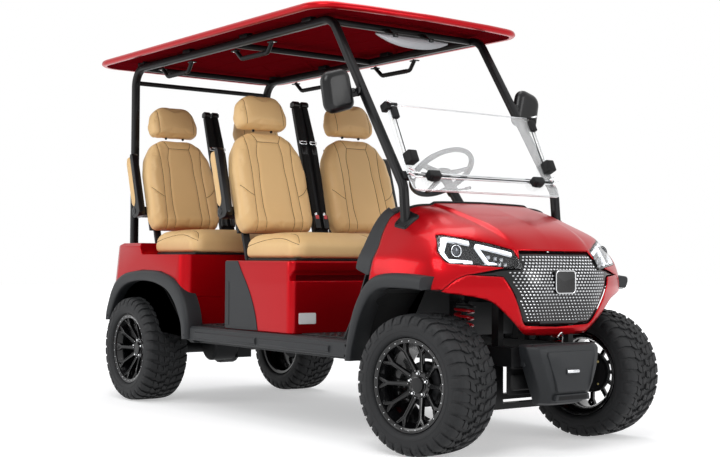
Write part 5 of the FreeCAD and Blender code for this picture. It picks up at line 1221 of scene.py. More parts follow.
@dataclass(frozen=True)
class Tyre:
    """Carcass and tread of one tyre about the X axis.

    The tread is laid out flat in (s, u): s runs from the centre line over the shoulder and down
    the sidewall, u runs round the wheel at the tread's radius. A point stands on the section
    curve at s, lifted along the curve's normal by its height over the groove floor.
    """

    section: tuple[Triple, ...] = ((0, 0, 292), (60, 60, 291), (95, 95, 288),
                                   (112, 110.5, 282.5), (125, 119.5, 273), (140, 124.8, 259),
                                   (156, 127, 243), (172, 126.6, 227))
    depths: tuple[Pair, ...] = ((0, 9), (100, 9), (125, 6.5), (145, 3.5), (160, 1.4), (172, 0.8))
    shoulder: tuple[Triple, ...] = ((69, 21, 46), (84, 15, 47), (96, 8, 45), (108, 3.5, 43),
                                    (120, 1.5, 42.5), (132, 1, 42))
    shoulder_ends: Pair = (160, 147)
    middle: tuple[Triple, ...] = ((33, 41, 66), (44, 34, 61), (50, 25, 59), (64, 19, 50))
    centre: tuple[Triple, ...] = ((2, 34, 62), (14, 30, 56), (18, 40, 66), (28, 33, 62))
    tick: Triple = (126, 142, 1.1)
    radius: float = 292.0
    pitches: int = 34
    chamfer: float = 1.7
    foot: float = 1.2
    sides: int = 120

    @property
    def pitch(self) -> float:
        """Length of one pitch of the tread round the wheel."""
        return 2.0 * math.pi * self.radius / self.pitches

    def curve(self) -> np.ndarray:
        """The tread's section as a dense (s, across, radius) table."""
        return curve_through(self.section, 120)

    def lifted(self, s: np.ndarray, u: np.ndarray, part: np.ndarray) -> np.ndarray:
        """Points in space for (s, u) and a share of the groove depth, 0 at the floor, 1 on top."""
        fine = self.curve()
        away = np.abs(s)
        across = np.interp(away, fine[:, 0], fine[:, 1])
        radius = np.interp(away, fine[:, 0], fine[:, 2])
        slope = np.gradient(fine[:, 1:], axis=0)
        slope /= np.linalg.norm(slope, axis=1)[:, None]
        out_across = -np.interp(away, fine[:, 0], slope[:, 1])
        out_radius = np.interp(away, fine[:, 0], slope[:, 0])
        depth = np.interp(away, *np.asarray(self.depths).T)
        sunk = depth * (1.0 - part)
        across = (across - out_across * sunk) * np.sign(np.where(s == 0.0, 1.0, s))
        radius = radius - out_radius * sunk
        angle = u / self.radius
        return np.stack([across, radius * np.cos(angle), radius * np.sin(angle)], -1)

    def lug(self, stations: Sequence[Triple]) -> Shape:
        """A tread block from its (s, u start, u end) stations, its rims chamfered all round."""
        rows = np.asarray(stations, float)
        first, last = rows[0], rows[-1]
        way = math.copysign(1.0, last[0] - first[0])
        lead = [first - [self.foot * way, 0, 0], first, first + [self.chamfer * way, 0, 0]]
        trail = [last - [self.chamfer * way, 0, 0], last, last + [self.foot * way, 0, 0]]
        rows = np.vstack([lead, rows[1:-1], trail])
        cover = np.array([0.0, 0.82, 1.0] + [1.0] * (len(stations) - 2) + [1.0, 0.82, 0.0])
        grown = np.array([self.foot, 0.0, -self.chamfer, -self.chamfer, 0.0, self.foot])
        height = np.array([0.0, 0.82, 1.0, 1.0, 0.82, 0.0])
        start = rows[:, 1:2] - grown[None, :3]
        end = rows[:, 2:3] + grown[None, 3:]
        u = np.hstack([start, end])
        s = np.repeat(rows[:, :1], 6, axis=1)
        part = np.minimum(height[None],
                          cover[:, None]) - 0.12 * (np.minimum(height[None], cover[:, None]) == 0.0)
        return surface(self.lifted(s, u, part), close_columns=True, caps=True)

    def pitch_blocks(self, index: int) -> list[Shape]:
        """The blocks of one side of one pitch of the tread."""
        u = index * self.pitch
        shoulder = (*self.shoulder, (self.shoulder_ends[index % 2], 1.5, 41))
        return [self.lug([(s, u + start, u + end) for s, start, end in rows])
                for rows in (shoulder, self.middle, self.centre)]

    def sipes(self, index: int) -> list[Shape]:
        """Small raised ticks cast on the outer face of the shoulder blocks."""
        u = index * self.pitch + self.shoulder[0][1]
        low, high, half = self.tick
        s = np.array([low, low, high, high])
        corner = np.array([u - half, u + half, u + half, u - half])
        loops = [self.lifted(s, corner, np.full(4, part)) for part in (0.6, 1.12)]
        return [surface(np.stack(loops), close_columns=True, caps=True)]

    def shape(self) -> Shape:
        """Carcass and tread in one."""
        fine = self.curve()
        depth = np.interp(fine[:, 0], *np.asarray(self.depths).T)
        slope = np.gradient(fine[:, 1:], axis=0)
        slope /= np.linalg.norm(slope, axis=1)[:, None]
        floor = np.stack([fine[:, 1] + slope[:, 1] * depth, fine[:, 2] - slope[:, 0] * depth], 1)
        crown = even(floor, 22)
        wall = curve_through([tuple(crown[-1]), (124.6, 214), (119, 202), (110, 196.5),
                              (100.5, 195)], 14)
        beads = [(98.5, 193), (97.8, 184), (97.6, 178.2), (76, 178.2), (97, 262)]
        half = [tuple(p) for p in crown] + [tuple(p) for p in wall[1:]] + beads
        profile = half + [(-a, r) for a, r in reversed(half[1:])]
        rib = [(126.2, 224.4), (126.9, 222.6), (126.2, 220.8), (123.8, 222.6)]
        line = [(118.2, 203.2), (119.4, 201.6), (117.6, 200.4), (115.6, 202.2)]
        shapes = [ring(profile, self.sides)]
        for loop in (rib, line):
            for way in (1, -1):
                shapes.append(ring([(way * a, r) for a, r in loop], self.sides))
        side = []
        for index in range(self.pitches):
            side.extend(self.pitch_blocks(index) + self.sipes(index))
        half_tread = Shape.joined(side)
        half_pitch = 180.0 / self.pitches
        return Shape.joined(shapes + [half_tread, half_tread.mirrored().turned("X", half_pitch)])


@dataclass(frozen=True)
class Rim:
    """A dished wheel with ten forked spokes, its axis along X and its face towards +X."""

    radius: float = 193.0
    lip: float = 109.5
    flange: float = 100.5
    seat: float = 177.8
    well: float = 161.8
    wall: float = 6.0
    hub_radius: float = 62.0
    hub_face: float = 48.0
    cap_radius: float = 33.0
    spokes: int = 10
    rivets: int = 30
    nuts: int = 5

    def barrel(self) -> Shape:
        """The rolled barrel with its two lips and the drop well, as one closed profile."""
        lip, flange, seat, well = self.lip, self.flange, self.seat, self.well
        outer = [(lip - 1.5, self.radius), (lip - 4.5, self.radius),
                 (flange + 1.0, self.radius - 2.5),
                 (flange, self.radius - 5.0), (flange, seat + 1.0), (flange - 20.0, seat),
                 (flange - 40.0, well),
                 (-flange + 22.0, well), (-flange + 2.0, seat), (-flange, seat + 1.0),
                 (-flange, self.radius - 4.0),
                 (-lip + 3.0, self.radius - 1.0), (-lip, self.radius - 3.0)]
        inner = [(-lip + 2.0, seat + 2.0), (-lip + 6.0, seat - 4.0),
                 (-flange + 30.0, well - self.wall),
                 (flange - 46.0, well - self.wall), (flange - 30.0, well - 4.0),
                 (lip - 15.5, seat - self.wall),
                 (lip - 5.0, seat - 4.5), (lip - 3.2, seat - 2.0), (lip - 1.8, seat + 8.0),
                 (lip - 0.4, seat + 9.0),
                 (lip, self.radius - 3.0), (lip - 0.3, self.radius - 1.0)]
        return ring(outer + inner, 84)

    def spoke(self) -> Shape:
        """A spoke with two ridges, forked before the lip; its face rises from the hub to the lip."""
        root, fork, reach = 49, 138, self.seat - 7.0
        half = [(10.5, root), (9, 80), (7.6, 110), (8.2, fork), (16, fork + 13.0), (25, reach),
                (15, reach + 1.5)]
        outline = np.array(half + [(0, fork + 16.0)] + [(-a, r) for a, r in reversed(half)])
        slope = (self.lip - 12.0 - self.hub_face) / (reach - root)

        def stood(points: np.ndarray, height: float) -> np.ndarray:
            return np.column_stack([self.hub_face + height + (points[:, 1] - root) * slope, points])

        levels = ((-21, 2), (-17, 0), (-2, 0), (-0.6, 0.5), (0, 1.5), (0, 2.7), (-0.6, 3.3),
                  (-3.4, 4.2))
        return layered(outline, levels, stood)

    def shape(self) -> Shape:
        """Finish 0 is the painted metal, 1 the bright nuts and rivets, 2 the cap's face."""
        face, cap = self.hub_face, self.cap_radius
        hub = lathe([(face - 24.0, 0), (face - 24.0, 58), (face - 20.0, self.hub_radius),
                     (face - 6.0, self.hub_radius),
                     (face - 1.5, self.hub_radius - 2.5), (face, self.hub_radius - 6.0), (face, 55),
                     (face - 2.0, 54), (face - 2.0, 36), (face, cap + 1.0), (face, 0)], 60)
        cup = lathe([(face - 3.0, 0), (face - 3.0, cap), (face + 9.0, cap),
                     (face + 11.4, cap - 1.2),
                     (face + 12.0, cap - 3.2), (face + 11.0, cap - 4.6), (face + 10.4, cap - 5.0),
                     (face + 10.4, 0)], 48)
        disc = lathe([(face + 9.0, 0), (face + 9.0, cap - 5.6), (face + 11.0, cap - 6.4),
                      (face + 11.7, cap - 12.0),
                      (face + 11.95, 9), (face + 11.98, 0)], 40)
        spokes = self.spoke().around(self.spokes, "X", 180.0 / self.spokes)
        nut = lathe([(-1, 0), (-1, 8.4), (1.5, 8.4), (2, 7.4), (9, 7.2), (12.5, 5.2), (14, 2.2),
                     (14.2, 0)], 6)
        rivet = stud((self.lip - 2.2, 0, self.seat + 3.6), (1, 0, 0), 2.7, 1.9, 8)
        pin = stud((face - 0.5, 0, 58.4), (1, 0, 0), 1.9, 1.4, 8)
        valve = lathe([(0, 0), (0, 4.2), (8, 3.4), (9, 2.6), (26, 2.6), (26.5, 0)], 12)
        valve = valve.aimed((self.lip - 24.0, 0, 166), (0.86, 0, -0.5)).turned("X", 27.0)
        metal = Shape.joined([self.barrel(), hub, cup, spokes, valve])
        bright = Shape.joined([nut.moved(face - 2.0, 0.0, 46.0).around(self.nuts),
                               rivet.around(self.rivets),
                               pin.around(10, "X", 18.0)])
        return Shape.joined([metal.finished(0), bright.finished(1), disc.finished(2)])


@dataclass
class Wheels:
    """The four wheels at their places, the front pair turned as in the picture."""

    front_half_track: float = 510.0
    rear_half_track: float = 512.5
    kingpin: float = 440.0
    steer: float = 9.0
    tyre: Tyre = field(default_factory=Tyre)
    rim: Rim = field(default_factory=Rim)

    def placed(self, shape: Shape, sign: float, front: bool) -> Shape:
        """A wheel part stood on the ground at its corner of the cart."""
        here = shape if sign > 0 else shape.mirrored()
        if not front:
            return here.moved(sign * self.rear_half_track, WHEELBASE, self.tyre.radius)
        here = here.moved(sign * self.front_half_track, 0.0, self.tyre.radius)
        return here.turned("Z", self.steer, (sign * self.kingpin, 0, 0))

    def knuckle_details(self, sign: float, label: str) -> None:
        """Bolts of the brake drum, the grease cap and the tie-rod nut of one steering knuckle."""
        drum = lathe([(-24, 0), (-24, 88), (-19, 92), (-12, 93.5), (-11, 90), (-6, 90),
                      (-5, 93.5), (1, 93.5), (2, 90), (7, 90), (8, 93.5), (15, 93), (21, 88),
                      (23.4, 80), (23.4, 0)], 48)
        post = lathe([(-84, 0), (-84, 13), (-80, 16.5), (-30, 16.5), (-28, 14), (28, 14),
                      (30, 16.5), (80, 16.5), (84, 13), (84, 0)], 24)
        reach = self.front_half_track - self.kingpin
        post = post.aimed((-reach, 0, 0), (0, 0, 1))
        stub = layered(rounded_outline([(-26, -30), (26, -30), (26, 30), (-26, 30)], 10.0, 3),
                       edge_levels(-reach, -20.5, 3.0, 2), side_view)
        arm_path = [(-reach, 2, -35), (-reach, 60, -35), (-reach, 118, -35)]
        arm = swept(even(np.array(arm_path), 8), box_section(23.0, 13.0, 4.0, 2), (1, 0, 0))
        bolts = [bolt((-24, 72.0 * math.cos(a), 72.0 * math.sin(a)), (-1, 0, 0), 5.5)
                 for a in np.radians([45.0, 135.0, 225.0, 315.0])]
        metal = Shape.joined([drum, post, stub, arm]).finished(0)
        shape = Shape.joined([metal, Shape.joined(bolts).finished(1)])
        make_piece("knuckle_%s_cast" % label, self.placed(shape, sign, True),
                   (Looks.CAST, Looks.GOLD),
                   "knuckle_" + label, ("knuckle_" + label,))

    def build(self) -> None:
        """Make the tyres, rims and knuckles."""
        tyre = self.tyre.shape()
        rim = self.rim.shape()
        for front, row in ((True, "front"), (False, "rear")):
            for sign, side in SIDES:
                label = row + "_" + side
                body = "wheel_" + label
                make_piece("tyre_%s_tread" % label, self.placed(tyre, sign, front), (Looks.TYRE,),
                           body,
                           ("tyre_" + label,), sharp=32.0)
                make_piece("rim_%s_dished" % label, self.placed(rim, sign, front),
                           (Looks.RIM, Looks.BRIGHT, Looks.PLASTIC_BLACK), body,
                           ("rim_" + label,))
        for sign, side in SIDES:
            self.knuckle_details(sign, side)


# Seats


def plumped(shape: Shape, voxel: float, cap: float) -> Shape:
    """A padded form drawn tight over its foam.

    The form is remeshed evenly and smoothed, then cloth under a small inner pressure pulls its
    faces into one tense surface. No point may move further than the cap.

    Args:
        shape: The closed form, a little smaller than the finished pad.
        voxel: Edge length of the even mesh in millimetres.
        cap: Furthest that a point may move in millimetres.

    Returns:
        The finished form.
    """
    mesh = bpy.data.meshes.new("pad")
    mesh.from_pydata((shape.points * MM).tolist(), [], shape.faces)
    obj = bpy.data.objects.new("pad", mesh)
    scene = bpy.context.scene
    scene.collection.objects.link(obj)
    even_out = obj.modifiers.new("even", "REMESH")
    even_out.mode = "VOXEL"
    even_out.voxel_size = voxel * MM
    soften = obj.modifiers.new("soften", "SMOOTH")
    soften.factor = 0.5
    soften.iterations = 4
    evaluated = obj.evaluated_get(bpy.context.evaluated_depsgraph_get())
    smooth_mesh = bpy.data.meshes.new_from_object(evaluated)
    obj.modifiers.clear()
    obj.data = smooth_mesh
    before = mesh_points(smooth_mesh)
    after = before
    cloth = obj.modifiers.new("cloth", "CLOTH")
    cloth.settings.use_pressure = True
    cloth.settings.uniform_pressure_force = CLOTH_PRESSURE
    cloth.settings.effector_weights.gravity = 0.0
    for frame in range(1, CLOTH_STEPS + 1):
        scene.frame_set(frame)
    held = obj.evaluated_get(bpy.context.evaluated_depsgraph_get())
    moved = mesh_points(held.data) - before
    length = np.maximum(np.linalg.norm(moved, axis=1), 1e-9)[:, None]
    after = before + moved * np.minimum(1.0, cap / length)
    scene.frame_set(1)
    faces = [tuple(p.vertices) for p in smooth_mesh.polygons]
    bpy.data.objects.remove(obj)
    return Shape.of(after, faces)


def mesh_points(mesh: bpy.types.Mesh) -> np.ndarray:
    """A mesh's points in millimetres."""
    out = np.empty(len(mesh.vertices) * 3)
    mesh.vertices.foreach_get("co", out)
    return out.reshape(-1, 3) / MM


def pressed_in(apart: np.ndarray, *steps: Pair) -> np.ndarray:
    """How deep a seam draws the leather in, from bells of the given depth and width round it."""
    return sum(deep * np.exp(-(apart / wide) ** 2) for deep, wide in steps)


def seam_distance(points: np.ndarray, curves: Sequence[np.ndarray]) -> np.ndarray:
    """Least distance of 2-D points from any of several open polylines."""
    best = np.full(len(points), 1e9)
    for curve in curves:
        for a, b in zip(curve[:-1], curve[1:]):
            ab = b - a
            ap = points - a
            t = np.clip(ap @ ab / max(float(ab @ ab), 1e-9), 0.0, 1.0)
            best = np.minimum(best, np.linalg.norm(ap - t[:, None] * ab, axis=1))
    return best


def surface_tree(shape: Shape) -> BVHTree:
    """A search tree over a shape's faces."""
    return BVHTree.FromPolygons([tuple(p) for p in shape.points.tolist()], shape.faces)


def threads_on(pad: Shape, lines: Sequence[tuple[np.ndarray, Triple]]) -> Shape:
    """Seam cords laid on a pad.

    Args:
        pad: The pad's shape.
        lines: For each cord the points it is cast from and the direction they are cast in.

    Returns:
        The cords, each through the hits of its points.
    """
    tree = surface_tree(pad)
    cords = []
    for starts, way in lines:
        hits = []
        for start in starts:
            place, _, _, _ = tree.ray_cast(Vector(start), Vector(way))
            if place is not None:
                hits.append(np.array(place) - np.array(way) * CORD_PROUD)
        if len(hits) < 3:
            continue
        path = np.array(hits)
        kernel = np.array([0.25, 0.5, 0.25])
        inner = np.stack([np.convolve(path[:, k], kernel, mode="valid") for k in range(3)], 1)
        path = np.vstack([path[:1], inner, path[-1:]])
        cords.append(swept(path, circle(CORD_RADIUS, 6), tuple(-c for c in way)))
    return Shape.joined(cords)


@dataclass
class Backrest:
    """The shape of one seat back in its own frame: x across, y into the back, z up along it."""

    outline: tuple[Pair, ...] = ((-205, 0), (205, 0), (230, 60), (230, 340), (212, 440),
                                 (158, 528), (96, 560), (-96, 560), (-158, 528),
                                 (-212, 440), (-230, 340), (-230, 60))
    dish: float = 15.0
    centre: Pair = (0, 280)
    half: Pair = (230, 280)
    seam_depth: float = 62.0
    levels: tuple[Triple, ...] = ((0.20, 100, 0), (0.60, 100, 0), (0.93, 100, 0), (0.985, 96, 0),
                                  (1, 86, 0), (1, 58, 0), (0.992, 42, 0.05), (0.972, 27, 0.15),
                                  (0.94, 15, 0.3), (0.895, 8, 0.6), (0.84, 4.5, 0.9))
    face_levels: tuple[float, ...] = (0.77, 0.68, 0.59, 0.50, 0.40, 0.30, 0.20, 0.10, 0.02)

    def rim(self) -> np.ndarray:
        """The rounded outline."""
        return rounded_outline(self.outline, (38, 38, 60, 120, 130, 70, 44, 44, 70, 130, 120, 60),
                               5)

    def front_depth(self, points: np.ndarray) -> np.ndarray:
        """How far the front face lies back: a shallow dish between two bolsters, fuller at the waist."""
        across = np.abs(points[:, 0])
        up = points[:, 1]
        waist = 0.72 + 0.28 * np.cos((up - 190.0) / 300.0)
        dish = self.dish * (1.0 - smoothstep(84.0, 168.0, across)) * smoothstep(-10.0, 90.0, up)
        return dish * (1.35 - waist * 0.55) * (1.0 - 0.55 * smoothstep(430.0, 560.0, up))

    def form(self) -> Shape:
        """The closed form before it is drawn tight."""
        rim = drawn_in(self.rim(), 3.0)
        centre = np.array(self.centre)
        rings = []
        for scale, depth, share in (*self.levels, *((k, 3, 1) for k in self.face_levels)):
            flat = centre + (rim - centre) * scale
            into = depth + share * self.front_depth(flat)
            rings.append(np.column_stack([flat[:, 0], into, flat[:, 1]]))
        return surface(np.stack(rings), close_columns=True, caps=True)

    def seams(self) -> list[np.ndarray]:
        """The front face's seams in (across, up)."""
        inner = [(66, 490), (79, 425), (78, 350), (85, 262), (88, 150), (86, 50), (83, 12)]
        outer = [(117, 552), (136, 500), (131, 420), (128, 320), (134, 190), (138, 60), (137, 8)]
        yoke = [(94, 557), (82, 524), (66, 490)]
        tuck = [(134, 190), (166, 206), (206, 246)]
        curves = [curve_through(c, n) for c, n in ((inner, 64), (outer, 72), (yoke, 14),
                                                   (tuck, 12))]
        curves += [curve * [-1.0, 1.0] for curve in curves]
        across = np.column_stack([np.linspace(-66.0, 66.0, 18), np.full(18, 490.0)])
        return curves + [across]

    def built(self) -> tuple[Shape, Shape]:
        """The upholstery with its sewn channels, and the cords in them."""
        pad = plumped(self.form(), 5.5, 6.0)
        points = pad.points.copy()
        apart_by = seam_distance(points[:, [0, 2]], self.seams())
        front = 1.0 - smoothstep(34.0, 60.0, points[:, 1])
        points[:, 1] += front * pressed_in(apart_by, (3.6, 6.0), (1.6, 17.0))
        side_seam = np.exp(-((points[:, 1] - self.seam_depth) / 4.5) ** 2) * 2.2
        middle = self.centre[1]
        outwards = points - np.array([0.0, self.seam_depth, middle])
        outwards[:, 1] = 0.0
        outwards /= np.maximum(np.linalg.norm(outwards, axis=1), 1.0)[:, None]
        edge = smoothstep(0.80, 0.95, np.abs(points[:, 0]) / self.half[0])
        edge = edge + smoothstep(0.86, 0.97, np.abs(points[:, 2] - middle) / self.half[1])
        points -= outwards * (side_seam * np.minimum(edge, 1.0))[:, None]
        pad = Shape(points, pad.faces, pad.finish)
        return pad, threads_on(pad,
                               [(front_view(curve, -150.0), (0, 1, 0)) for curve in self.seams()])


@dataclass
class Headrest:
    """The shape of one headrest in the seat back's frame."""

    low: float = 573.0
    high: float = 757.0
    front: float = -12.0
    back: float = 98.0
    half_low: float = 155.0
    half_high: float = 124.0
    seam_at: float = 112.0
    middle: Pair = (43, 668)
    levels: tuple[Pair, ...] = ((0.15, 0.97), (0.5, 0.965), (0.80, 0.945), (0.93, 0.89),
                                (0.985, 0.78), (1, 0.62),
                                (1, 0.46), (0.985, 0.30), (0.95, 0.17), (0.89, 0.085),
                                (0.80, 0.045),
                                (0.64, 0.03),
                                (0.45, 0.025), (0.25, 0.02), (0.05, 0.02))

    def form(self) -> Shape:
        """The closed form: a crowned block whose front bows forwards."""
        wide, mid = self.half_low, self.low + 66.0
        rim = rounded_outline([(8.0 - wide, self.low), (wide - 8.0, self.low), (wide + 3.0, mid),
                               (self.half_high, self.high),
                               (-self.half_high, self.high), (-wide - 3.0, mid)],
                              (36, 36, 60, 84, 84, 60), 7)
        rim = drawn_in(rim, 2.5)
        centre = np.array([0.0, (self.low + self.high) / 2.0])
        depth = self.back - self.front
        rings = []
        for scale, into in self.levels:
            flat = centre + (rim - centre) * scale
            bow = 8.0 * (np.abs(flat[:, 0]) / wide) ** 2 * (1.0 - into)
            rings.append(np.column_stack([flat[:, 0], self.front + depth * into + bow, flat[:, 1]]))
        return surface(np.stack(rings), close_columns=True, caps=True)

    def built(self) -> tuple[Shape, Shape]:
        """The upholstery and the seam cords of its two side panels."""
        pad = plumped(self.form(), 5.0, 5.0)
        points = pad.points.copy()
        apart_by = np.abs(np.abs(points[:, 0]) - self.seam_at)
        inwards = np.array([0.0, *self.middle]) - points
        inwards[:, 0] = 0.0
        inwards /= np.maximum(np.linalg.norm(inwards, axis=1), 1.0)[:, None]
        points += inwards * pressed_in(apart_by, (2.6, 5.0), (1.0, 15.0))[:, None]
        pad = Shape(points, pad.faces, pad.finish)
        tree = surface_tree(pad)
        cords = []
        for across in (-self.seam_at, self.seam_at):
            angle = np.radians(np.linspace(-65.0, 205.0, 70))
            hits = []
            for a in angle:
                way = Vector((0, -math.cos(a), math.sin(a)))
                start = Vector((across, *self.middle)) + way * 250.0
                place, _, _, _ = tree.ray_cast(start, -way)
                if place is not None:
                    hits.append(np.array(place) + np.array(way) * CORD_PROUD)
            if len(hits) > 3:
                cords.append(swept(np.array(hits), circle(1.4, 6), (1, 0, 0)))
        return pad, Shape.joined(cords)


@dataclass
class Cushion:
    """The shape of one bench cushion: x across, y from its front edge back, z from its foot up."""

    half: float = 545.0
    depth: float = 470.0
    levels: tuple[Triple, ...] = ((0, 150, 0), (0, 60, 0), (0, 14, 0), (4, 5, 0),
                                  (12, 1, 0), (28, 0, 0), (46, 0.5, 0.1), (62, 3, 0.25),
                                  (77, 9, 0.5), (90, 18, 0.75), (100, 30, 0.9), (108, 46, 1),
                                  (114, 68, 1), (118, 98, 1), (121, 135, 1), (122.5, 175, 1),
                                  (123, 215, 1))
    front_fall: float = 17.0

    def form(self) -> Shape:
        """The closed form: flat below, crowned above, its front edge rolled down."""
        rim = rounded_outline([(-self.half, 0), (self.half, 0), (self.half, self.depth),
                               (-self.half, self.depth)],
                              (70, 70, 35, 35), 8)
        rim = drawn_in(rim, 3.0)
        centre = np.array([0.0, self.depth / 2.0])
        rings = []
        for up, inset, share in self.levels:
            half_x = (self.half - inset) / self.half
            half_y = max(self.depth / 2.0 - inset, 2.0) / (self.depth / 2.0)
            flat = centre + (rim - centre) * [half_x, half_y]
            fall = self.front_fall * (1.0 - smoothstep(0.0, 190.0, flat[:, 1])) ** 1.5
            rings.append(np.column_stack([flat, up - share * fall]))
        return surface(np.stack(rings), close_columns=True, caps=True)

    def seams(self) -> list[np.ndarray]:
        """Seams on the top in (x, y): two curved ones by each seat."""
        seat = [(52, 30), (60, 90), (72, 190), (78, 300), (80, 440)]
        far = [(498, 34), (470, 90), (452, 180), (446, 300), (446, 440)]
        curves = [curve_through(c, 40) for c in (seat, far)]
        return curves + [curve * [-1.0, 1.0] for curve in curves]

    def end_seam(self, deep: np.ndarray) -> np.ndarray:
        """Height of the seam on each end face: an arc that rises towards the back's third."""
        part = np.clip(deep / self.depth, 0.0, 1.0)
        return 50.0 + 46.0 * np.sin(np.pi * part ** 0.8)

    def built(self) -> tuple[Shape, Shape]:
        """The upholstery with its sewn channels, and the cords in them."""
        pad = plumped(self.form(), 7.0, 7.0)
        points = pad.points.copy()
        apart_by = seam_distance(points[:, :2], self.seams())
        top = smoothstep(60.0, 95.0, points[:, 2])
        points[:, 2] -= top * pressed_in(apart_by, (3.4, 7.0), (2.2, 24.0))
        ends = smoothstep(self.half - 60.0, self.half - 14.0, np.abs(points[:, 0]))
        lip = np.exp(-((points[:, 2] - self.end_seam(points[:, 1])) / 6.0) ** 2) * 3.2
        points[:, 0] -= np.sign(points[:, 0]) * ends * lip
        pad = Shape(points, pad.faces, pad.finish)
        lines = [(plan(curve, 260.0), (0, 0, -1)) for curve in self.seams()]
        deep = np.linspace(26.0, self.depth - 14.0, 60)
        ends = np.column_stack([deep, self.end_seam(deep)])
        lines += [(side_view(ends, sign * 760.0), (-sign, 0, 0)) for sign, _ in SIDES]
        return pad, threads_on(pad, lines)


@dataclass
class Seats:
    """Upholstery of both rows: cushions, backrests, headrests and folding armrests."""

    cushion_front: Pair = (905, 807)
    pivot: Pair = (140, 135)
    reach: float = 34.0
    pad_side: tuple[Pair, ...] = ((107, 182), (140, 160), (163, 190), (165, 400), (150, 436),
                                  (122, 436), (107.5, 415))
    pad_levels: tuple[Pair, ...] = ((527.5, 16), (528.5, 8), (532, 3), (538, 1.2), (546, 0.8),
                                    (554, 1.2), (560, 3), (563.5, 8), (564.5, 16))
    arm_side: tuple[Pair, ...] = ((73, 118), (92, 101.5), (150, 101.5), (164, 128), (160, 160),
                                  (118, 170), (105.5, 205), (105.5, 425), (98, 439.5), (80, 439.5),
                                  (72.5, 425), (72.5, 250))
    arm_radii: tuple[float, ...] = (16, 18, 22, 20, 18, 30, 40, 8, 8, 8, 8, 60)
    arm_levels: tuple[Pair, ...] = ((526.2, 2), (527.2, 0.8), (529, 0.2), (563, 0.2), (565, 0.9),
                                    (565.8, 2.4), (565.8, 6), (564.4, 7.2))
    stitch: tuple[Triple, ...] = ((546, 130, 174), (546, 150, 180), (546, 163.6, 210),
                                  (546, 165.4, 300), (546, 164, 398), (546, 150, 432),
                                  (546, 128, 435.5))

    @staticmethod
    def reclined(shape: Shape, across: float, back: float, up: float) -> Shape:
        """A shape drawn in the seat back's frame, leant and put at its seat."""
        return shape.turned("X", -RECLINE).moved(across, SEAT_FOOT[0] + back, SEAT_FOOT[1] + up)

    def pad_shape(self) -> Shape:
        """The armrest's padded bar in (x across, y depth, z up) of the seat back's frame."""
        side = rounded_outline(self.pad_side, (4, 16, 22, 26, 14, 14, 12), 5)
        return layered(side, self.pad_levels, side_view)

    def arm_shape(self) -> Shape:
        """The hard arm: a curved bar with a latch recess at its top and the hinge boss at its foot."""
        body = layered(rounded_outline(self.arm_side, self.arm_radii, 4), self.arm_levels,
                       side_view)
        latch = rounded_outline([(80, 300), (98, 300), (98, 424), (80, 424)], 5.0, 3)
        cover = layered(latch, [(563.6, 0), (565.9, 0), (566.4, 0.8), (566.5, 1.6)], side_view)
        hole = layered(rounded_outline([(84, 400), (94, 400), (94, 416), (84, 416)], 4.5, 3),
                       [(566, 0), (566.9, 0.2), (567, 1.4), (566.3, 1.8)], side_view)
        boss = lathe([(525.9, 0), (525.9, 19), (566.4, 19), (567.2, 17), (567.2, 9), (566.2, 8),
                      (566.2, 0)], 28)
        boss = boss.moved(0.0, self.pivot[1], self.pivot[0])
        return Shape.joined([body, cover, hole, boss])

    def lengthened(self, part: Shape) -> Shape:
        """An armrest's part with its free end drawn out, its hinge left where it is."""
        points = part.points.copy()
        points[:, 2] += self.reach * smoothstep(180.0, 420.0, points[:, 2])
        return Shape(points, part.faces, part.finish)

    def armrests(self) -> None:
        """The four folding armrests, each riding on its own body."""
        pad = plumped(self.pad_shape(), 3.6, 1.2)
        arm = self.arm_shape()
        cord = swept(curve_through(self.stitch, 50), circle(1.2, 6), (1, 0, 0))
        for row, back, up in ROWS:
            for sign, side in SIDES:
                label = "armrest_%s_%s" % (row, side)
                parts = []
                for part in (pad, cord, arm):
                    here = self.lengthened(part)
                    here = here if sign > 0 else here.mirrored()
                    parts.append(self.reclined(here, 0.0, back, up))
                padding = make_piece(label + "_pad",
                                     Shape.joined([parts[0].finished(0), parts[1].finished(1)]),
                                     (Looks.LEATHER, Looks.LEATHER_DARK), label,
                                     (label,), sharp=180.0)
                make_piece(label + "_arm", parts[2], (Looks.PLASTIC_BLACK,), label, (label,),
                           sharp=30.0)

    def build(self) -> None:
        """Make every seat of both rows."""
        back_pad, back_cords = Backrest().built()
        head_pad, head_cords = Headrest().built()
        bench_pad, bench_cords = Cushion().built()
        finishes = (Looks.LEATHER, Looks.LEATHER_DARK)
        for row, back, up in ROWS:
            bench = Shape.joined([bench_pad.finished(0), bench_cords.finished(1)])
            bench = bench.moved(0.0, self.cushion_front[0] + back, self.cushion_front[1] + up)
            made = make_piece("seat_cushion_" + row, bench, finishes, "root",
                              ("seat_cushions",), sharp=180.0)
            for sign, side in SIDES:
                for label, node, pad, cords in (("backrest", "backrests", back_pad, back_cords),
                                                ("headrest", "headrests", head_pad, head_cords)):
                    both = Shape.joined([pad.finished(0), cords.finished(1)])
                    both = self.reclined(both, sign * SEAT_X, back, up)
                    made = make_piece("%s_%s_%s" % (label, row, side), both, finishes, "root",
                                      (node,), sharp=180.0)
        self.armrests()


# Flares, bumpers and springs


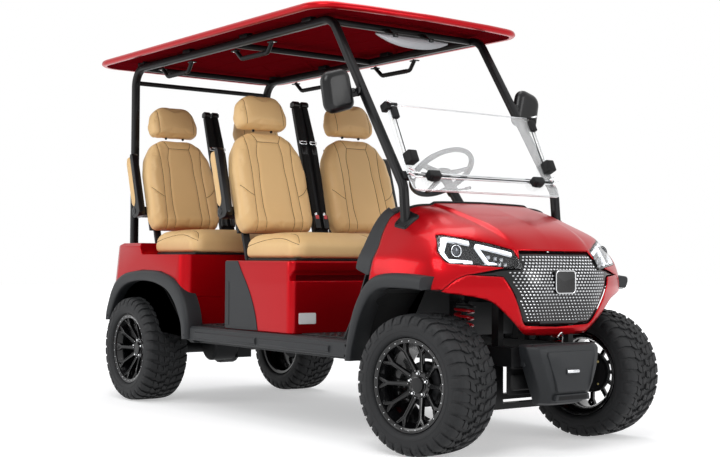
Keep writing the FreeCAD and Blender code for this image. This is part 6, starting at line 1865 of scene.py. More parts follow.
@dataclass
class Flares:
    """The moulded wheel flares with a rolled outer face, and their seams and screws."""

    inside: float = 524.0
    outside: float = 625.0
    front_outer: tuple = ((-110, 735), (-40, 743), (66, 748), (150, 745), (208, 735), (262, 708),
                          (306, 662), (352, 590),
                          (386, 500), (408, 420), (415, 364))
    front_inner: tuple = ((-97, 680), (-30, 684), (60, 686), (140, 684), (188, 675), (230, 652),
                          (268, 614), (310, 548),
                          (342, 470), (362, 410), (370, 364))
    rear_outer: tuple = ((1802, 380), (1806, 470), (1838, 560), (1900, 640), (1985, 697),
                         (2125, 731), (2240, 739),
                         (2345, 738), (2470, 729), (2560, 714), (2640, 682), (2705, 622),
                         (2750, 545), (2774, 490), (2782, 442))
    rear_inner: tuple = ((1862, 380), (1872, 455), (1912, 525), (1965, 585), (2040, 635),
                         (2150, 665), (2250, 677),
                         (2345, 678), (2440, 671), (2520, 656), (2590, 625), (2648, 577),
                         (2693, 515), (2717, 474), (2729, 446))

    section: tuple[tuple[float, float, float, float], ...] = (
        (0, 0, 9, 0), (0, 0, 2, 0), (0, 4, 0.5, 0), (1, -50, 0, 0), (1, -26, 0.3, 0),
        (1, -13, 3, 0), (1, -5, 9, 0), (1, -1, 18, 0), (1, 0, 27, 0),
        (1, -2, -16, 1), (1, -4, -6, 1), (1, -8, -1.4, 1), (1, -14, 0, 1),
        (1, -30, -1, 1), (0, 6, -6, 1), (0, 0, -10, 1))
    screws: tuple[Pair, ...] = ((402, 385), (398, 430), (1826, 400), (2740, 470))

    def arch(self, outer: Sequence[Pair], inner: Sequence[Pair]) -> Shape:
        """A band between two side-view curves, rolled over at its outer rim and turned in at its lip.

        Each row of the section gives a point's side of the band, 0 at its inside or 1 at its
        outside, its shift across from there, and its way down from the outer curve or, with a
        share of 1, from the inner one.
        """
        count = 64
        high = curve_through(outer, count)
        low = curve_through(inner, count)
        down = low - high
        length = np.linalg.norm(down, axis=1)[:, None]
        down /= length
        columns = []
        for side, shift, along, share in self.section:
            across = (self.outside if side else self.inside) + shift
            columns.append(side_view(high + down * (along + share * length), across))
        return surface(np.stack(columns, 1), close_columns=True, caps=True)

    def build(self, frame: dict) -> None:
        """Make the four flares and keep the frame's inner liners."""
        front = self.arch(self.front_outer, self.front_inner)
        rear = self.arch(self.rear_outer, self.rear_inner)
        screws = []
        for y, z in self.screws:
            screws.append(bolt((self.outside - 2.5, y, z), (1, 0, 0), 6.0).finished(1))
        shape = Shape.joined([front, rear, *screws]).both()
        make_piece("flares_rolled", shape, (Looks.PLASTIC, Looks.FRAME), "root",
                   ("wheel_flares",),
                   sharp=42.0)
        eased_copy(frame, "wheel_flares", Looks.RUBBER, "", 2.0, "wheel_liners",
                   lambda c: abs(c[0]) < LINER_REACH)


@dataclass
class Bumper:
    """The front bumper's moulded face: flat top, raised centre shield, light slot and lower ledge."""

    stations: tuple = ((204, 118, -300), (214, 126, -322), (236, 132, -336), (258, 142, -346),
                       (300, 160, -351), (350, 180, -350), (400, 197, -345), (436, 206, -338),
                       (448, 206, -330), (455, 201, -318))

    def shell(self) -> Shape:
        """The bumper's body: at each height a plan outline with a rounded front and slanted corners."""
        rings = []
        for z, half, front in self.stations:
            corners = [(-half, -240), (-half - 1.0, front + 46.0), (-half + 30.0, front + 8.0),
                       (-half + 62.0, front),
                       (half - 62.0, front), (half - 30.0, front + 8.0), (half + 1.0, front + 46.0),
                       (half, -240)]
            outline = rounded_outline(corners, (4, 20, 16, 14, 14, 16, 20, 4), 4)
            rings.append(plan(outline, z))
        last = rings[-1]
        inner = last.copy()
        inner[:, :2] = drawn_in(last[:, :2], 8.0)
        inner[:, 2] = 456.0
        tray = inner.copy()
        tray[:, :2] = drawn_in(last[:, :2], 14.0)
        tray[:, 2] = 449.0
        return surface(np.stack(rings + [inner, tray]), close_columns=True, caps=True)

    def build(self) -> None:
        """Make the bumper: shield, slot, ledge, bolts, mounting plates and rear valance."""
        def stood(points: np.ndarray, height: float) -> np.ndarray:
            lean = np.interp(points[:, 1], [236.0, 300.0, 436.0], [-348.5, -357.0, -343.0])
            return np.column_stack([points[:, 0], lean + height, points[:, 1]])

        shield = self.dense(rounded_outline([(-92, 262), (92, 262), (146, 428), (-146, 428)], 12.0,
                                            4))
        raised = layered(shield, [(12, 0), (0, 0), (-2, 1), (-3, 3)], stood)
        frame_low = self.dense(rounded_outline([(-104, 224), (104, 224), (96, 252), (-96, 252)],
                                               6.0,
                                               3))
        ledge = layered(frame_low, [(16, 0), (1, 0), (-2, 1.2), (-3, 3)], stood)
        recess = self.dense(rounded_outline([(-88, 229), (88, 229), (82, 246), (-82, 246)], 5.0, 3))
        dent = layered(recess, [(-1, 0), (-3.4, 0), (-3.6, 0.8)], stood).finished(1)
        slot = self.dense(rounded_outline([(-36, 339), (36, 339), (36, 352), (-36, 352)], 5.5, 4))
        light = layered(slot, [(0, 0), (-3.8, 0), (-4.6, 1.5)], stood).finished(2)
        surround = self.dense(rounded_outline([(-42, 333), (42, 333), (42, 358), (-42, 358)], 8.0,
                                              4))
        lip = layered(surround, [(0, 0), (-3.6, 0), (-4.4, 1.6), (-4.2, 4)], stood)
        seam = block((-186, -300, 448.8), (186, -296.5, 457.4), 0.9, 1).finished(1)
        hook_path = bent([(26, -268, 452), (20, -276, 486), (-6, -292, 506), (-22, -284, 484),
                          (4, -270, 474)], 8.0, 5)
        hook = swept(even(hook_path, 40), circle(2.8, 8), (0, 1, 0)).finished(3)
        plates = []
        for sign, _ in SIDES:
            plates.append(block((sign * 175.0 - 18.0, -262, 366), (sign * 175.0 + 18.0, -236, 440),
                                3.0))
            plates.append(bolt((sign * 175.0, -263, 385), (0, -1, 0), 7.0).finished(3))
        shape = Shape.joined([self.shell(), raised, ledge, dent, light, lip, seam, hook, *plates])
        make_piece("bumper_face", shape, (Looks.PLASTIC, Looks.RUBBER, Looks.SILVER, Looks.BRIGHT),
                   "root",
                   ("bumpers",), sharp=30.0)
        self.rear()

    @staticmethod
    def dense(outline: np.ndarray) -> np.ndarray:
        """An outline with more points along its straight edges."""
        out = []
        for a, b in zip(outline, np.roll(outline, -1, 0)):
            count = max(1, int(np.linalg.norm(b - a) / 14.0))
            out.append(a + (b - a) * (np.arange(count) / count)[:, None])
        return np.vstack(out)

    def rear(self) -> None:
        """The dark rear valance under the deck with its hitch cover and two reflectors."""
        corners = [(-460, 2801), (460, 2801), (452, 2850), (400, 2863), (-400, 2863), (-452, 2850)]
        outline = rounded_outline(corners, (3, 3, 18, 24, 24, 18), 4)
        body = layered(outline, [(450, 9), (452, 4), (458, 1), (470, 0), (600, 0), (624, 1.5),
                                 (635, 5), (640, 11)], plan)
        panel = rounded_outline([(-150, 476), (150, 476), (130, 570), (-130, 570)], 10.0, 3)
        raised = layered(panel, [(2858, 0), (2863.4, 0), (2864, 1.4)], front_view)
        spots = []
        for sign, _ in SIDES:
            lens = rounded_outline([(sign * 330.0 - 46.0, 530), (sign * 330.0 + 46.0, 530),
                                    (sign * 330.0 + 46.0, 556),
                                    (sign * 330.0 - 46.0, 556)], 8.0, 3)
            spots.append(layered(lens, [(2858, 0), (2863.6, 0), (2864, 1.5)],
                                 front_view).finished(1))
            spots.append(bolt((sign * 420.0, 2860.5, 500), (0, 1, 0), 5.5).finished(2))
        make_piece("rear_valance", Shape.joined([body, raised, *spots]),
                   (Looks.PLASTIC, Looks.RED_LENS, Looks.FRAME),
                   "root", ("bumpers",), sharp=30.0)


@dataclass
class CoilOvers:
    """The front springs: a real helix round each damper, with seats, rod and reservoir."""

    top: Triple = (287, 0, 642)
    foot: Triple = (307, 0, 206)
    turns: float = 9.0
    coil_radius: float = 39.0
    wire: float = 6.0

    def build(self) -> None:
        """Make both coil-overs."""
        start, end = np.array(self.top), np.array(self.foot)
        length = float(np.linalg.norm(end - start))
        t = np.linspace(0.0, 1.0, 240)
        pitch = np.interp(t, [0.0, 0.06, 0.94, 1.0], [0.0, 0.03, 0.97, 1.0])
        low, high = 46, length * 0.66
        angle = 2.0 * np.pi * self.turns * t
        path = np.column_stack([low + (high - low) * pitch, self.coil_radius * np.cos(angle),
                                self.coil_radius * np.sin(angle)])
        coil = swept(path, circle(self.wire, 8), (1, 0, 0)).finished(0)
        body = lathe([(high - 40.0, 0), (high - 40.0, 22), (high - 6.0, 24), (high + 6.0, 46),
                      (high + 12.0, 46),
                      (high + 14.0, 28), (length - 40.0, 27), (length - 34.0, 24),
                      (length - 22.0, 14),
                      (length - 2.0, 12), (length - 2.0, 0)], 32).finished(1)
        rod = lathe([(26, 0), (26, 7.5), (high - 30.0, 7.5), (high - 30.0, 0)], 16).finished(2)
        cup = lathe([(14, 0), (14, 14), (26, 18), (32, 46), (40, 46), (42, 30), (40, 0)],
                    32).finished(1)
        eye = lathe([(-17, 0), (-17, 16), (-14, 18), (14, 18), (17, 16), (17, 0)], 24)
        eyes = [eye.turned("Z", 90.0).moved(2.0, 0.0, 0.0).finished(1),
                eye.turned("Z", 90.0).moved(length - 2.0, 0.0, 0.0).finished(1)]
        label = lathe([(length - 118.0, 27.2), (length - 118.0, 27.6), (length - 84.0, 27.6),
                       (length - 84.0, 27.2)], 32).finished(3)
        whole = Shape.joined([coil, body, rod, cup, *eyes, label]).aimed(self.top,
                                                                         tuple((end - start) / length))
        make_piece("coil_overs", whole.both(), (Looks.SPRING, Looks.FRAME, Looks.BRIGHT,
                                                Looks.LABEL), "root",
                   ("front_springs",), sharp=35.0)


# Roof, windshield and cabin


def knobbed(side: np.ndarray, low: float, high: float, radius: float, steps: int = 3) -> Shape:
    """A side-view outline given thickness across the cart, its two rims rounded."""
    return layered(side, edge_levels(low, high, radius, steps), side_view)


@dataclass
class Roof:
    """The moulded roof: a rolled rim, a crowned skin with two long swages, and a ribbed lining."""

    half: float = 645.0
    front: float = 550.0
    rear: float = 2930.0
    bottom: float = 1940.0
    crown: float = 2035.0
    rim_top: float = 1974.0
    middle: float = 1740.0
    swage_high: float = 4.0
    swage_across: Pair = (300, 448)
    swage_along: Pair = (700, 2760)
    ramp: float = 18.0
    end_ramp: float = 60.0
    rib_pitch: float = 170.0
    rim: tuple[Pair, ...] = ((30, 1.5), (20, 0), (11, 1), (4.5, 4.5), (1.2, 9), (0, 14), (1, 20),
                             (4, 25.5), (8, 29.5), (13, 32.5), (19, 34), (26, 34.6))
    skin: tuple[float, ...] = (0.945, 0.93, 0.90, 0.86, 0.80, 0.74, 0.70, 0.665, 0.63, 0.56, 0.495,
                               0.465, 0.43, 0.34,
                               0.24, 0.14, 0.05)
    lining: tuple[float, ...] = (0.935, 0.91, 0.86, 0.80, 0.74, 0.68, 0.62, 0.56, 0.50, 0.44, 0.38,
                                 0.32, 0.26, 0.20,
                                 0.14, 0.08, 0.03)

    def outline(self) -> np.ndarray:
        """The plan with rounded corners and a gently bowed front edge."""
        h = self.half
        corners = [(-h, self.rear), (-h, self.front + 48.0), (-h * 0.6, self.front + 16.0),
                   (0, self.front),
                   (h * 0.6, self.front + 16.0), (h, self.front + 48.0), (h, self.rear)]
        return rounded_outline(corners, (150, 130, 400, 600, 400, 130, 150), 10)

    def top_z(self, points: np.ndarray) -> np.ndarray:
        """Height of the skin: it rises from the rim to a broad crown, with two raised swages."""
        x = np.abs(points[:, 0])
        y = points[:, 1]
        ends = smoothstep(self.front - 60.0, self.front + 620.0,
                          y) * (1.0 - smoothstep(self.rear - 560.0, self.rear + 40.0, y))
        arc = (1.0 - (x / self.half) ** 2) * (self.crown - self.swage_high - self.rim_top) * ends
        (inner, outer), (start, stop) = self.swage_across, self.swage_along
        swage = smoothstep(inner, inner + self.ramp,
                           x) * (1.0 - smoothstep(outer - self.ramp, outer, x))
        swage *= smoothstep(start, start + self.end_ramp,
                            y) * (1.0 - smoothstep(stop - self.end_ramp, stop, y))
        return self.rim_top + np.maximum(arc, 0.0) + self.swage_high * swage

    def lining_z(self, points: np.ndarray) -> np.ndarray:
        """Height of the lining, nearly level with the rim's lower edge."""
        return self.bottom + 12.0 + 0.30 * (self.top_z(points) - self.rim_top)

    def scaled(self, outline: np.ndarray, part: float) -> np.ndarray:
        """The outline drawn towards the roof's middle line."""
        centre = np.array([0.0, self.middle])
        return centre + (outline - centre) * part

    def build(self) -> None:
        """Make the roof and its lining."""
        edge = even_loop(self.outline(), 220)
        rings = []
        for inset, z in self.rim:
            rings.append(plan(drawn_in(edge, inset), self.bottom + z))
        for part in self.skin:
            flat = self.scaled(edge, part)
            rise = float(smoothstep(0.955, 0.92, np.array(part))) if part > 0.92 else 1.0
            height = self.bottom + self.rim[-1][1] + (self.top_z(flat) - self.rim_top) * rise
            rings.append(np.column_stack([flat, height]))
        top = surface(np.stack(rings), close_columns=True)
        cap = Shape.of(rings[-1], [tuple(range(len(edge)))])
        under = [rings[0], plan(drawn_in(edge, 34.0), self.bottom + 6.0)]
        for part in self.lining:
            flat = self.scaled(edge, part)
            under.append(np.column_stack([flat, self.lining_z(flat)]))
        lining = surface(np.stack(under), close_columns=True).finished(1)
        cap_low = Shape.of(under[-1], [tuple(range(len(edge)))[::-1]]).finished(1)
        # Finish 1, the lining and its cap, is the darker red of painted shade.
        make_piece("roof_moulded", Shape.joined([top, cap, lining, cap_low]),
                   (Looks.PAINT, Looks.ROOF_LINING_PAINTED_SHADE), "root",
                   ("roof",), sharp=32.0)
        self.ribs()

    def ribs(self) -> None:
        """Shallow stiffening ribs of the lining: long ones beside the rails, diagonal pairs between."""
        parts = []
        for x in (-330, -self.rib_pitch, 0, self.rib_pitch, 330):
            parts.append(self.rib((x, 730), (x, 2780)))
        for y in (760, 1160, 1560, 1960, 2360):
            for sign, _ in SIDES:
                parts.append(self.rib((sign * self.rib_pitch, y),
                                      (sign * 560.0, y + 2.0 * self.rib_pitch)))
        # The ribs take the lining's darker red of painted shade.
        make_piece("roof_ribs", Shape.joined(parts), (Looks.ROOF_LINING_PAINTED_SHADE,), "root", (),
                   sharp=40.0)

    def rib(self, start: Pair, end: Pair) -> Shape:
        """One rib under the skin between two plan points."""
        line = even(np.array([start, end]), 26)
        path = np.column_stack([line, self.lining_z(line) - 1.5])
        section = np.array([(-17, 4), (-9, -2), (0, -3.5), (9, -2), (17, 4), (0, 5)])
        tangent = np.array([end[0] - start[0], end[1] - start[1], 0.0])
        across = np.cross(tangent / np.linalg.norm(tangent), (0, 0, 1))
        return swept(path, section * [1.0, -1.0], tuple(across))


@dataclass
class CabFrame:
    """The black tube frame under the roof, its feet's plates and bolts, and the grab handles."""

    pillar_x: float = 460.0
    top: float = 1890.2
    drop: float = 52.0
    spans: tuple = ((1250, 1600), (2060, 2400))
    side: tuple[Pair, ...] = ((181, 890), (203, 1120), (737, 1926), (2735, 1926), (2735, 884))
    bend: float = 105.0
    tube: Pair = (37, 38)
    bars: tuple[Triple, ...] = ((797, 1926, 30), (1640, 1926, 30), (2675, 1926, 30),
                                (2735, 1845, 26))
    seats: tuple[float, ...] = (930, 1500, 2100, 2640)
    foot: tuple[Pair, ...] = ((427, 128), (500, 138), (500, 224), (427, 214))
    foot_bolts: tuple[Pair, ...] = ((438, 140), (490, 150), (438, 203), (490, 212))

    def build(self) -> None:
        """Make the handles, then the tubes."""
        parts = []
        for start, end in self.spans:
            low = self.top - self.drop
            path = bent([(self.pillar_x, start, self.top), (self.pillar_x, start + 40.0, low),
                         (self.pillar_x, end - 64.0, low), (self.pillar_x, end, self.top)], 26.0, 8)
            parts.append(swept(path, circle(11.0, 14), (1, 0, 0)))
            grip = even(np.array([(self.pillar_x, start + 70.0, low),
                                  (self.pillar_x, end - 70.0, low)]), 20)
            bumps = 1.0 + 0.045 * np.cos(np.arange(20) * np.pi)
            parts.append(swept(grip, circle(12.3, 14), (1, 0, 0), scale=bumps).finished(1))
            for y in (start, end):
                parts.append(block((self.pillar_x - 15.0, y - 26.0, self.top - 7.0),
                                   (self.pillar_x + 15.0, y + 26.0, self.top - 0.4), 2.0))
                for shift in (-18, 18):
                    parts.append(bolt((self.pillar_x, y + shift, self.top - 7.0), (0, 0, -1),
                                      4.0).finished(2))
        make_piece("handles_gripped", Shape.joined(parts).both(),
                   (Looks.FRAME, Looks.RUBBER, Looks.BRIGHT), "root",
                   ("grab_handles",), sharp=35.0)
        self.tubes()

    def tubes(self) -> None:
        """Each side's pillars and rail as one bent tube, cross bars, roof seats and the feet's plates."""
        x = self.pillar_x
        path = bent([(x, y, z) for y, z in self.side], self.bend, 12)
        along = np.concatenate([[0.0], np.cumsum(np.linalg.norm(np.diff(path, axis=0), axis=1))])
        stout = 1.0 + 0.16 * smoothstep(2600.0, 3400.0, along)
        parts = [swept(path, box_section(*self.tube, 11.0, 4), (1, 0, 0), scale=stout)]
        for y in self.seats:
            parts.append(block((x - 18.0, y - 40.0, 1930), (x + 18.0, y + 40.0, 1966), 4.0))
            parts.append(bolt((x + 19.0, y, 1926), (1, 0, 0), 5.0).finished(1))
        plate = rounded_outline(self.foot, 12.0, 4)
        form = NoseForm()

        def on_nose(points: np.ndarray, height: float) -> np.ndarray:
            return form.from_top(points) + [0.0, 0.0, height]

        parts.append(layered(plate, [(0, 0), (6, 0), (8, 2)], on_nose))
        for place in self.foot_bolts:
            spot = form.from_top(np.array([place]))[0] + [0.0, 0.0, 7.0]
            parts.append(bolt(tuple(spot), (0.25, 0, 0.97), 5.5).finished(1))
        whole = [Shape.joined(parts).both()]
        for y, z, size in self.bars:
            line = even(np.array([(-x + 14.0, y, z), (x - 14.0, y, z)]), 10)
            whole.append(swept(line, box_section(size, size, 8.0, 3), (0, 0, 1)))
        make_piece("roof_frame_tubes", Shape.joined(whole), (Looks.FRAME, Looks.PLASTIC_BLACK),
                   "root",
                   ("roof_frame",), sharp=40.0)


@dataclass
class Windshield:
    """Two clear panels whose edges are an opaque pale grey as a painted highlight, joined by hinges, with
    latches and rubber blocks.
    """

    line: tuple = ((150, 1096), (198, 1168), (352, 1492))
    half: float = 445.0
    thick: float = 5.0

    def build(self) -> None:
        """Make the panels and their hardware."""
        foot, joint, head = (np.array(p) for p in self.line)
        panels, hard = [], []
        for start, end, corners in ((foot, joint, (26, 26, 5, 5)), (joint, head, (5, 5, 26, 26))):
            along = (end - start) / np.linalg.norm(end - start)
            ahead = np.array([-along[1], along[0]])
            length = float(np.linalg.norm(end - start))
            flat = rounded_outline([(-self.half, 3), (self.half, 3), (self.half, length - 3.0),
                                    (-self.half, length - 3.0)], corners, 5)

            def stood(points: np.ndarray, height: float, start=start, along=along,
                      ahead=ahead) -> np.ndarray:
                side = start + points[:, 1:2] * along + height * ahead
                return np.column_stack([points[:, 0], side])

            slab = layered(flat, [(0, 0.8), (0.6, 0), (self.thick - 0.6, 0), (self.thick, 0.8)],
                           stood)
            # Every face but the two big ones is the edge, in its painted highlight.
            marks = np.ones(len(slab.faces), int)
            marks[-2:] = 0
            panels.append(Shape(slab.points, slab.faces, marks))
            reach = self.half - 5.0
            near_joint = length - 11.0 if corners[0] > 10.0 else 11.0
            near_edge = length - 9.0 if corners[0] < 10.0 else 8.0
            for v, radius in ((near_joint, 3.4), (near_edge, 1.7)):
                spot = start + along * v + ahead * (self.thick + radius * 0.8)
                rod = even(np.array([(-reach, *spot), (reach, *spot)]), 12)
                hard.append(swept(rod, circle(radius, 10), (0, 0, 1)).finished(1))
            if corners[0] < 10.0:
                for sign, _ in SIDES:
                    for x, radius, finish in ((self.half - 9.0, 1.8, 1),
                                              (self.half - 27.0, 2.2, 0)):
                        proud = ahead * (self.thick + radius * 0.8)
                        ends = [start + along * v + proud for v in (96.0, length - 60.0)]
                        rod = even(np.array([(sign * x, *ends[0]), (sign * x, *ends[1])]), 8)
                        hard.append(swept(rod, circle(radius, 8), (0, -1, 0)).finished(finish))
        make_piece("windshield_panels", Shape.joined(panels), (Looks.ACRYLIC, Looks.ACRYLIC_EDGE_PAINTED_GLINT),
                   "root",
                   ("windshield",), sharp=30.0)
        self.hardware(hard)

    def hardware(self, parts: list[Shape]) -> None:
        """Hinges at the joint, side latches on the pillars and rubber blocks that hold the panels."""
        foot, joint, head = (np.array(p) for p in self.line)
        along = (head - joint) / np.linalg.norm(head - joint)
        ahead = np.array([-along[1], along[0]])
        lower = (joint - foot) / np.linalg.norm(joint - foot)
        lower_ahead = np.array([-lower[1], lower[0]])
        length = float(np.linalg.norm(head - joint))

        def placed(v0: float, v1: float, d0: float, d1: float, x0: float, x1: float,
                   soft: float = 5.0) -> Shape:
            corners = [joint + along * v + ahead * (self.thick + d) for v,
                       d in ((v0, d0), (v1, d0), (v1, d1), (v0, d1))]
            return knobbed(rounded_outline([tuple(c) for c in corners], soft, 4), x0, x1,
                           soft * 0.8)

        both: list[Shape] = [placed(44.0, 100.0, 0.3, 48.0, 396.0, 444.0, 6.0),
                             placed(50.0, 94.0, 47.0, 50.5, 403.0, 437.0, 1.5),
                             placed(length - 84.0, length - 26.0, 0.3, 24.0, 408.0, 438.0, 6.0),
                             placed(length - 36.0, length + 2.0, -30.0, 15.0, 432.0, 462.0, 7.0),
                             placed(length - 22.0, length - 8.0, 12.0, 22.0, 400.0, 452.0, 4.0),
                             placed(-18.0, 22.0, -30.0, -5.3, 424.0, 462.0, 6.0)]
        middle = joint - lower * 17.0
        stop = rounded_outline([tuple(middle + lower * v + lower_ahead * (self.thick + d))
                                for v, d in ((-16, 0.4), (20, 0.4), (24, 34), (-10, 38))], 5.0, 4)
        both.append(knobbed(stop, 284.0, 350.0, 5.0))
        both.append(knobbed(stop, 296.0, 338.0, 5.0).moved(0.0, -3.0, -3.0))
        knob = lathe([(0, 0), (0, 9), (4, 11), (8, 10), (9, 0)], 16)
        pin = lathe([(0, 0), (0, 4.5), (40, 4.5), (41, 3.5), (41, 0)], 12)
        for v, x in ((12, 420), (-14, 428), (length - 14.0, 428)):
            spot = joint + along * v + ahead * (self.thick + 10.0)
            both.append(knob.aimed((x, *spot), (0.5, -0.86, 0)).finished(1))
            both.append(pin.aimed((x - 6.0, *(spot + ahead * 5.0)), (0.94, -0.1, 0.3)).finished(1))
        seat = joint + ahead * (self.thick + 1.6)
        strip = even(np.array([(-438, *seat), (438, *seat)]), 12)
        parts = parts + [Shape.joined(both).both(),
                         swept(strip, box_section(5.0, 3.0, 1.0, 2), (0, 0, 1))]
        make_piece("windshield_hardware", Shape.joined(parts), (Looks.RUBBER, Looks.BRIGHT), "root",
                   ("windshield_clamps",), sharp=32.0)


@dataclass
class Mirrors:
    """Two side mirrors and the wide curved one under the roof."""

    head: tuple[Pair, ...] = ((486, 1484), (644, 1436), (677, 1626), (532, 1668))
    head_radii: tuple[float, ...] = (36, 48, 56, 48)
    bow: tuple[Pair, ...] = ((498, 33), (499, 27), (501, 20), (505, 12), (510.5, 6), (517, 1.5),
                             (524, 0), (534, 0), (537.4, 1.5), (538, 4))
    arm: tuple[Triple, ...] = ((478.4, 505, 1548), (492, 506, 1546), (512, 516, 1540),
                               (530, 524, 1534))
    wide_half: float = 224.0
    wide_deep: float = 44.0

    def build(self) -> None:
        """Make the three mirrors."""
        outline = rounded_outline(self.head, self.head_radii, 7)
        shell = layered(outline, self.bow, front_view)
        lip = layered(drawn_in(outline, 4.0), [(534, 0), (538.4, 0), (538.6, 2), (536, 5),
                                               (536, 7)],
                      front_view)
        glass = layered(drawn_in(outline, 11.0), [(535, 0), (536.6, 0), (537, 1)],
                        front_view).finished(1)
        arm = swept(curve_through(self.arm, 16), box_section(24.0, 18.0, 6.0, 3), (0, 0, 1))
        clamp = block((478.8, 484, 1545), (494, 512, 1575), 4.0, 3)
        ball = lathe([(-13, 0), (-12, 7), (-7, 11.5), (0, 13.5), (7, 11.5), (12, 7), (13, 0)], 20)
        parts = [shell, lip, glass, arm, clamp, ball.turned("Y", 90.0).moved(506.0, 510.0, 1559.0),
                 bolt((494, 498, 1568), (1, 0, 0), 4.0)]
        make_piece("mirrors_glazed", Shape.joined([Shape.joined(parts).both(), self.wide()]),
                   (Looks.PLASTIC_BLACK, Looks.MIRROR, Looks.BLADE), "root",
                   ("mirrors",), sharp=32.0)

    def wide(self) -> Shape:
        """The panoramic mirror: a bowed bar whose glass faces back and down, hung by a bracket."""
        u = np.linspace(-1.0, 1.0, 49)
        rows = []
        for across, share in zip(u * self.wide_half, np.maximum(1.0 - np.abs(u) ** 2.4, 0.0)):
            low = 1873.0 - self.wide_deep * share
            y = 699.0 + 5.0 * (1.0 - share)
            rows.append([(across, y + 2.0, 1882), (across, y, 1878), (across, y, low + 4.0),
                         (across, y + 2.0, low),
                         (across, y + 5.0, low), (across, y + 8.0, low + 4.0),
                         (across, y + 14.0, 1878),
                         (across, y + 12.0, 1882)])
        blade = surface(np.array(rows), close_columns=True, caps=True).finished(2)
        spine_path = [(-222, 707, 1882), (-150, 704, 1884), (0, 703, 1885), (150, 704, 1884),
                      (222, 707, 1882)]
        spine = swept(curve_through(spine_path, 30), box_section(8.0, 14.0, 3.0, 3), (0, 0, 1))
        hangers = []
        for x in (-112, 112):
            hangers.append(knobbed(rounded_outline([(701, 1880), (716, 1880), (782, 1908),
                                                    (782, 1922), (760, 1922)],
                                                   3.0, 3), x - 9.0, x + 9.0, 2.5))
            hangers.append(block((x - 14.0, 692, 1872), (x + 14.0, 712, 1890), 4.0))
        return Shape.joined([blade, spine, *hangers])


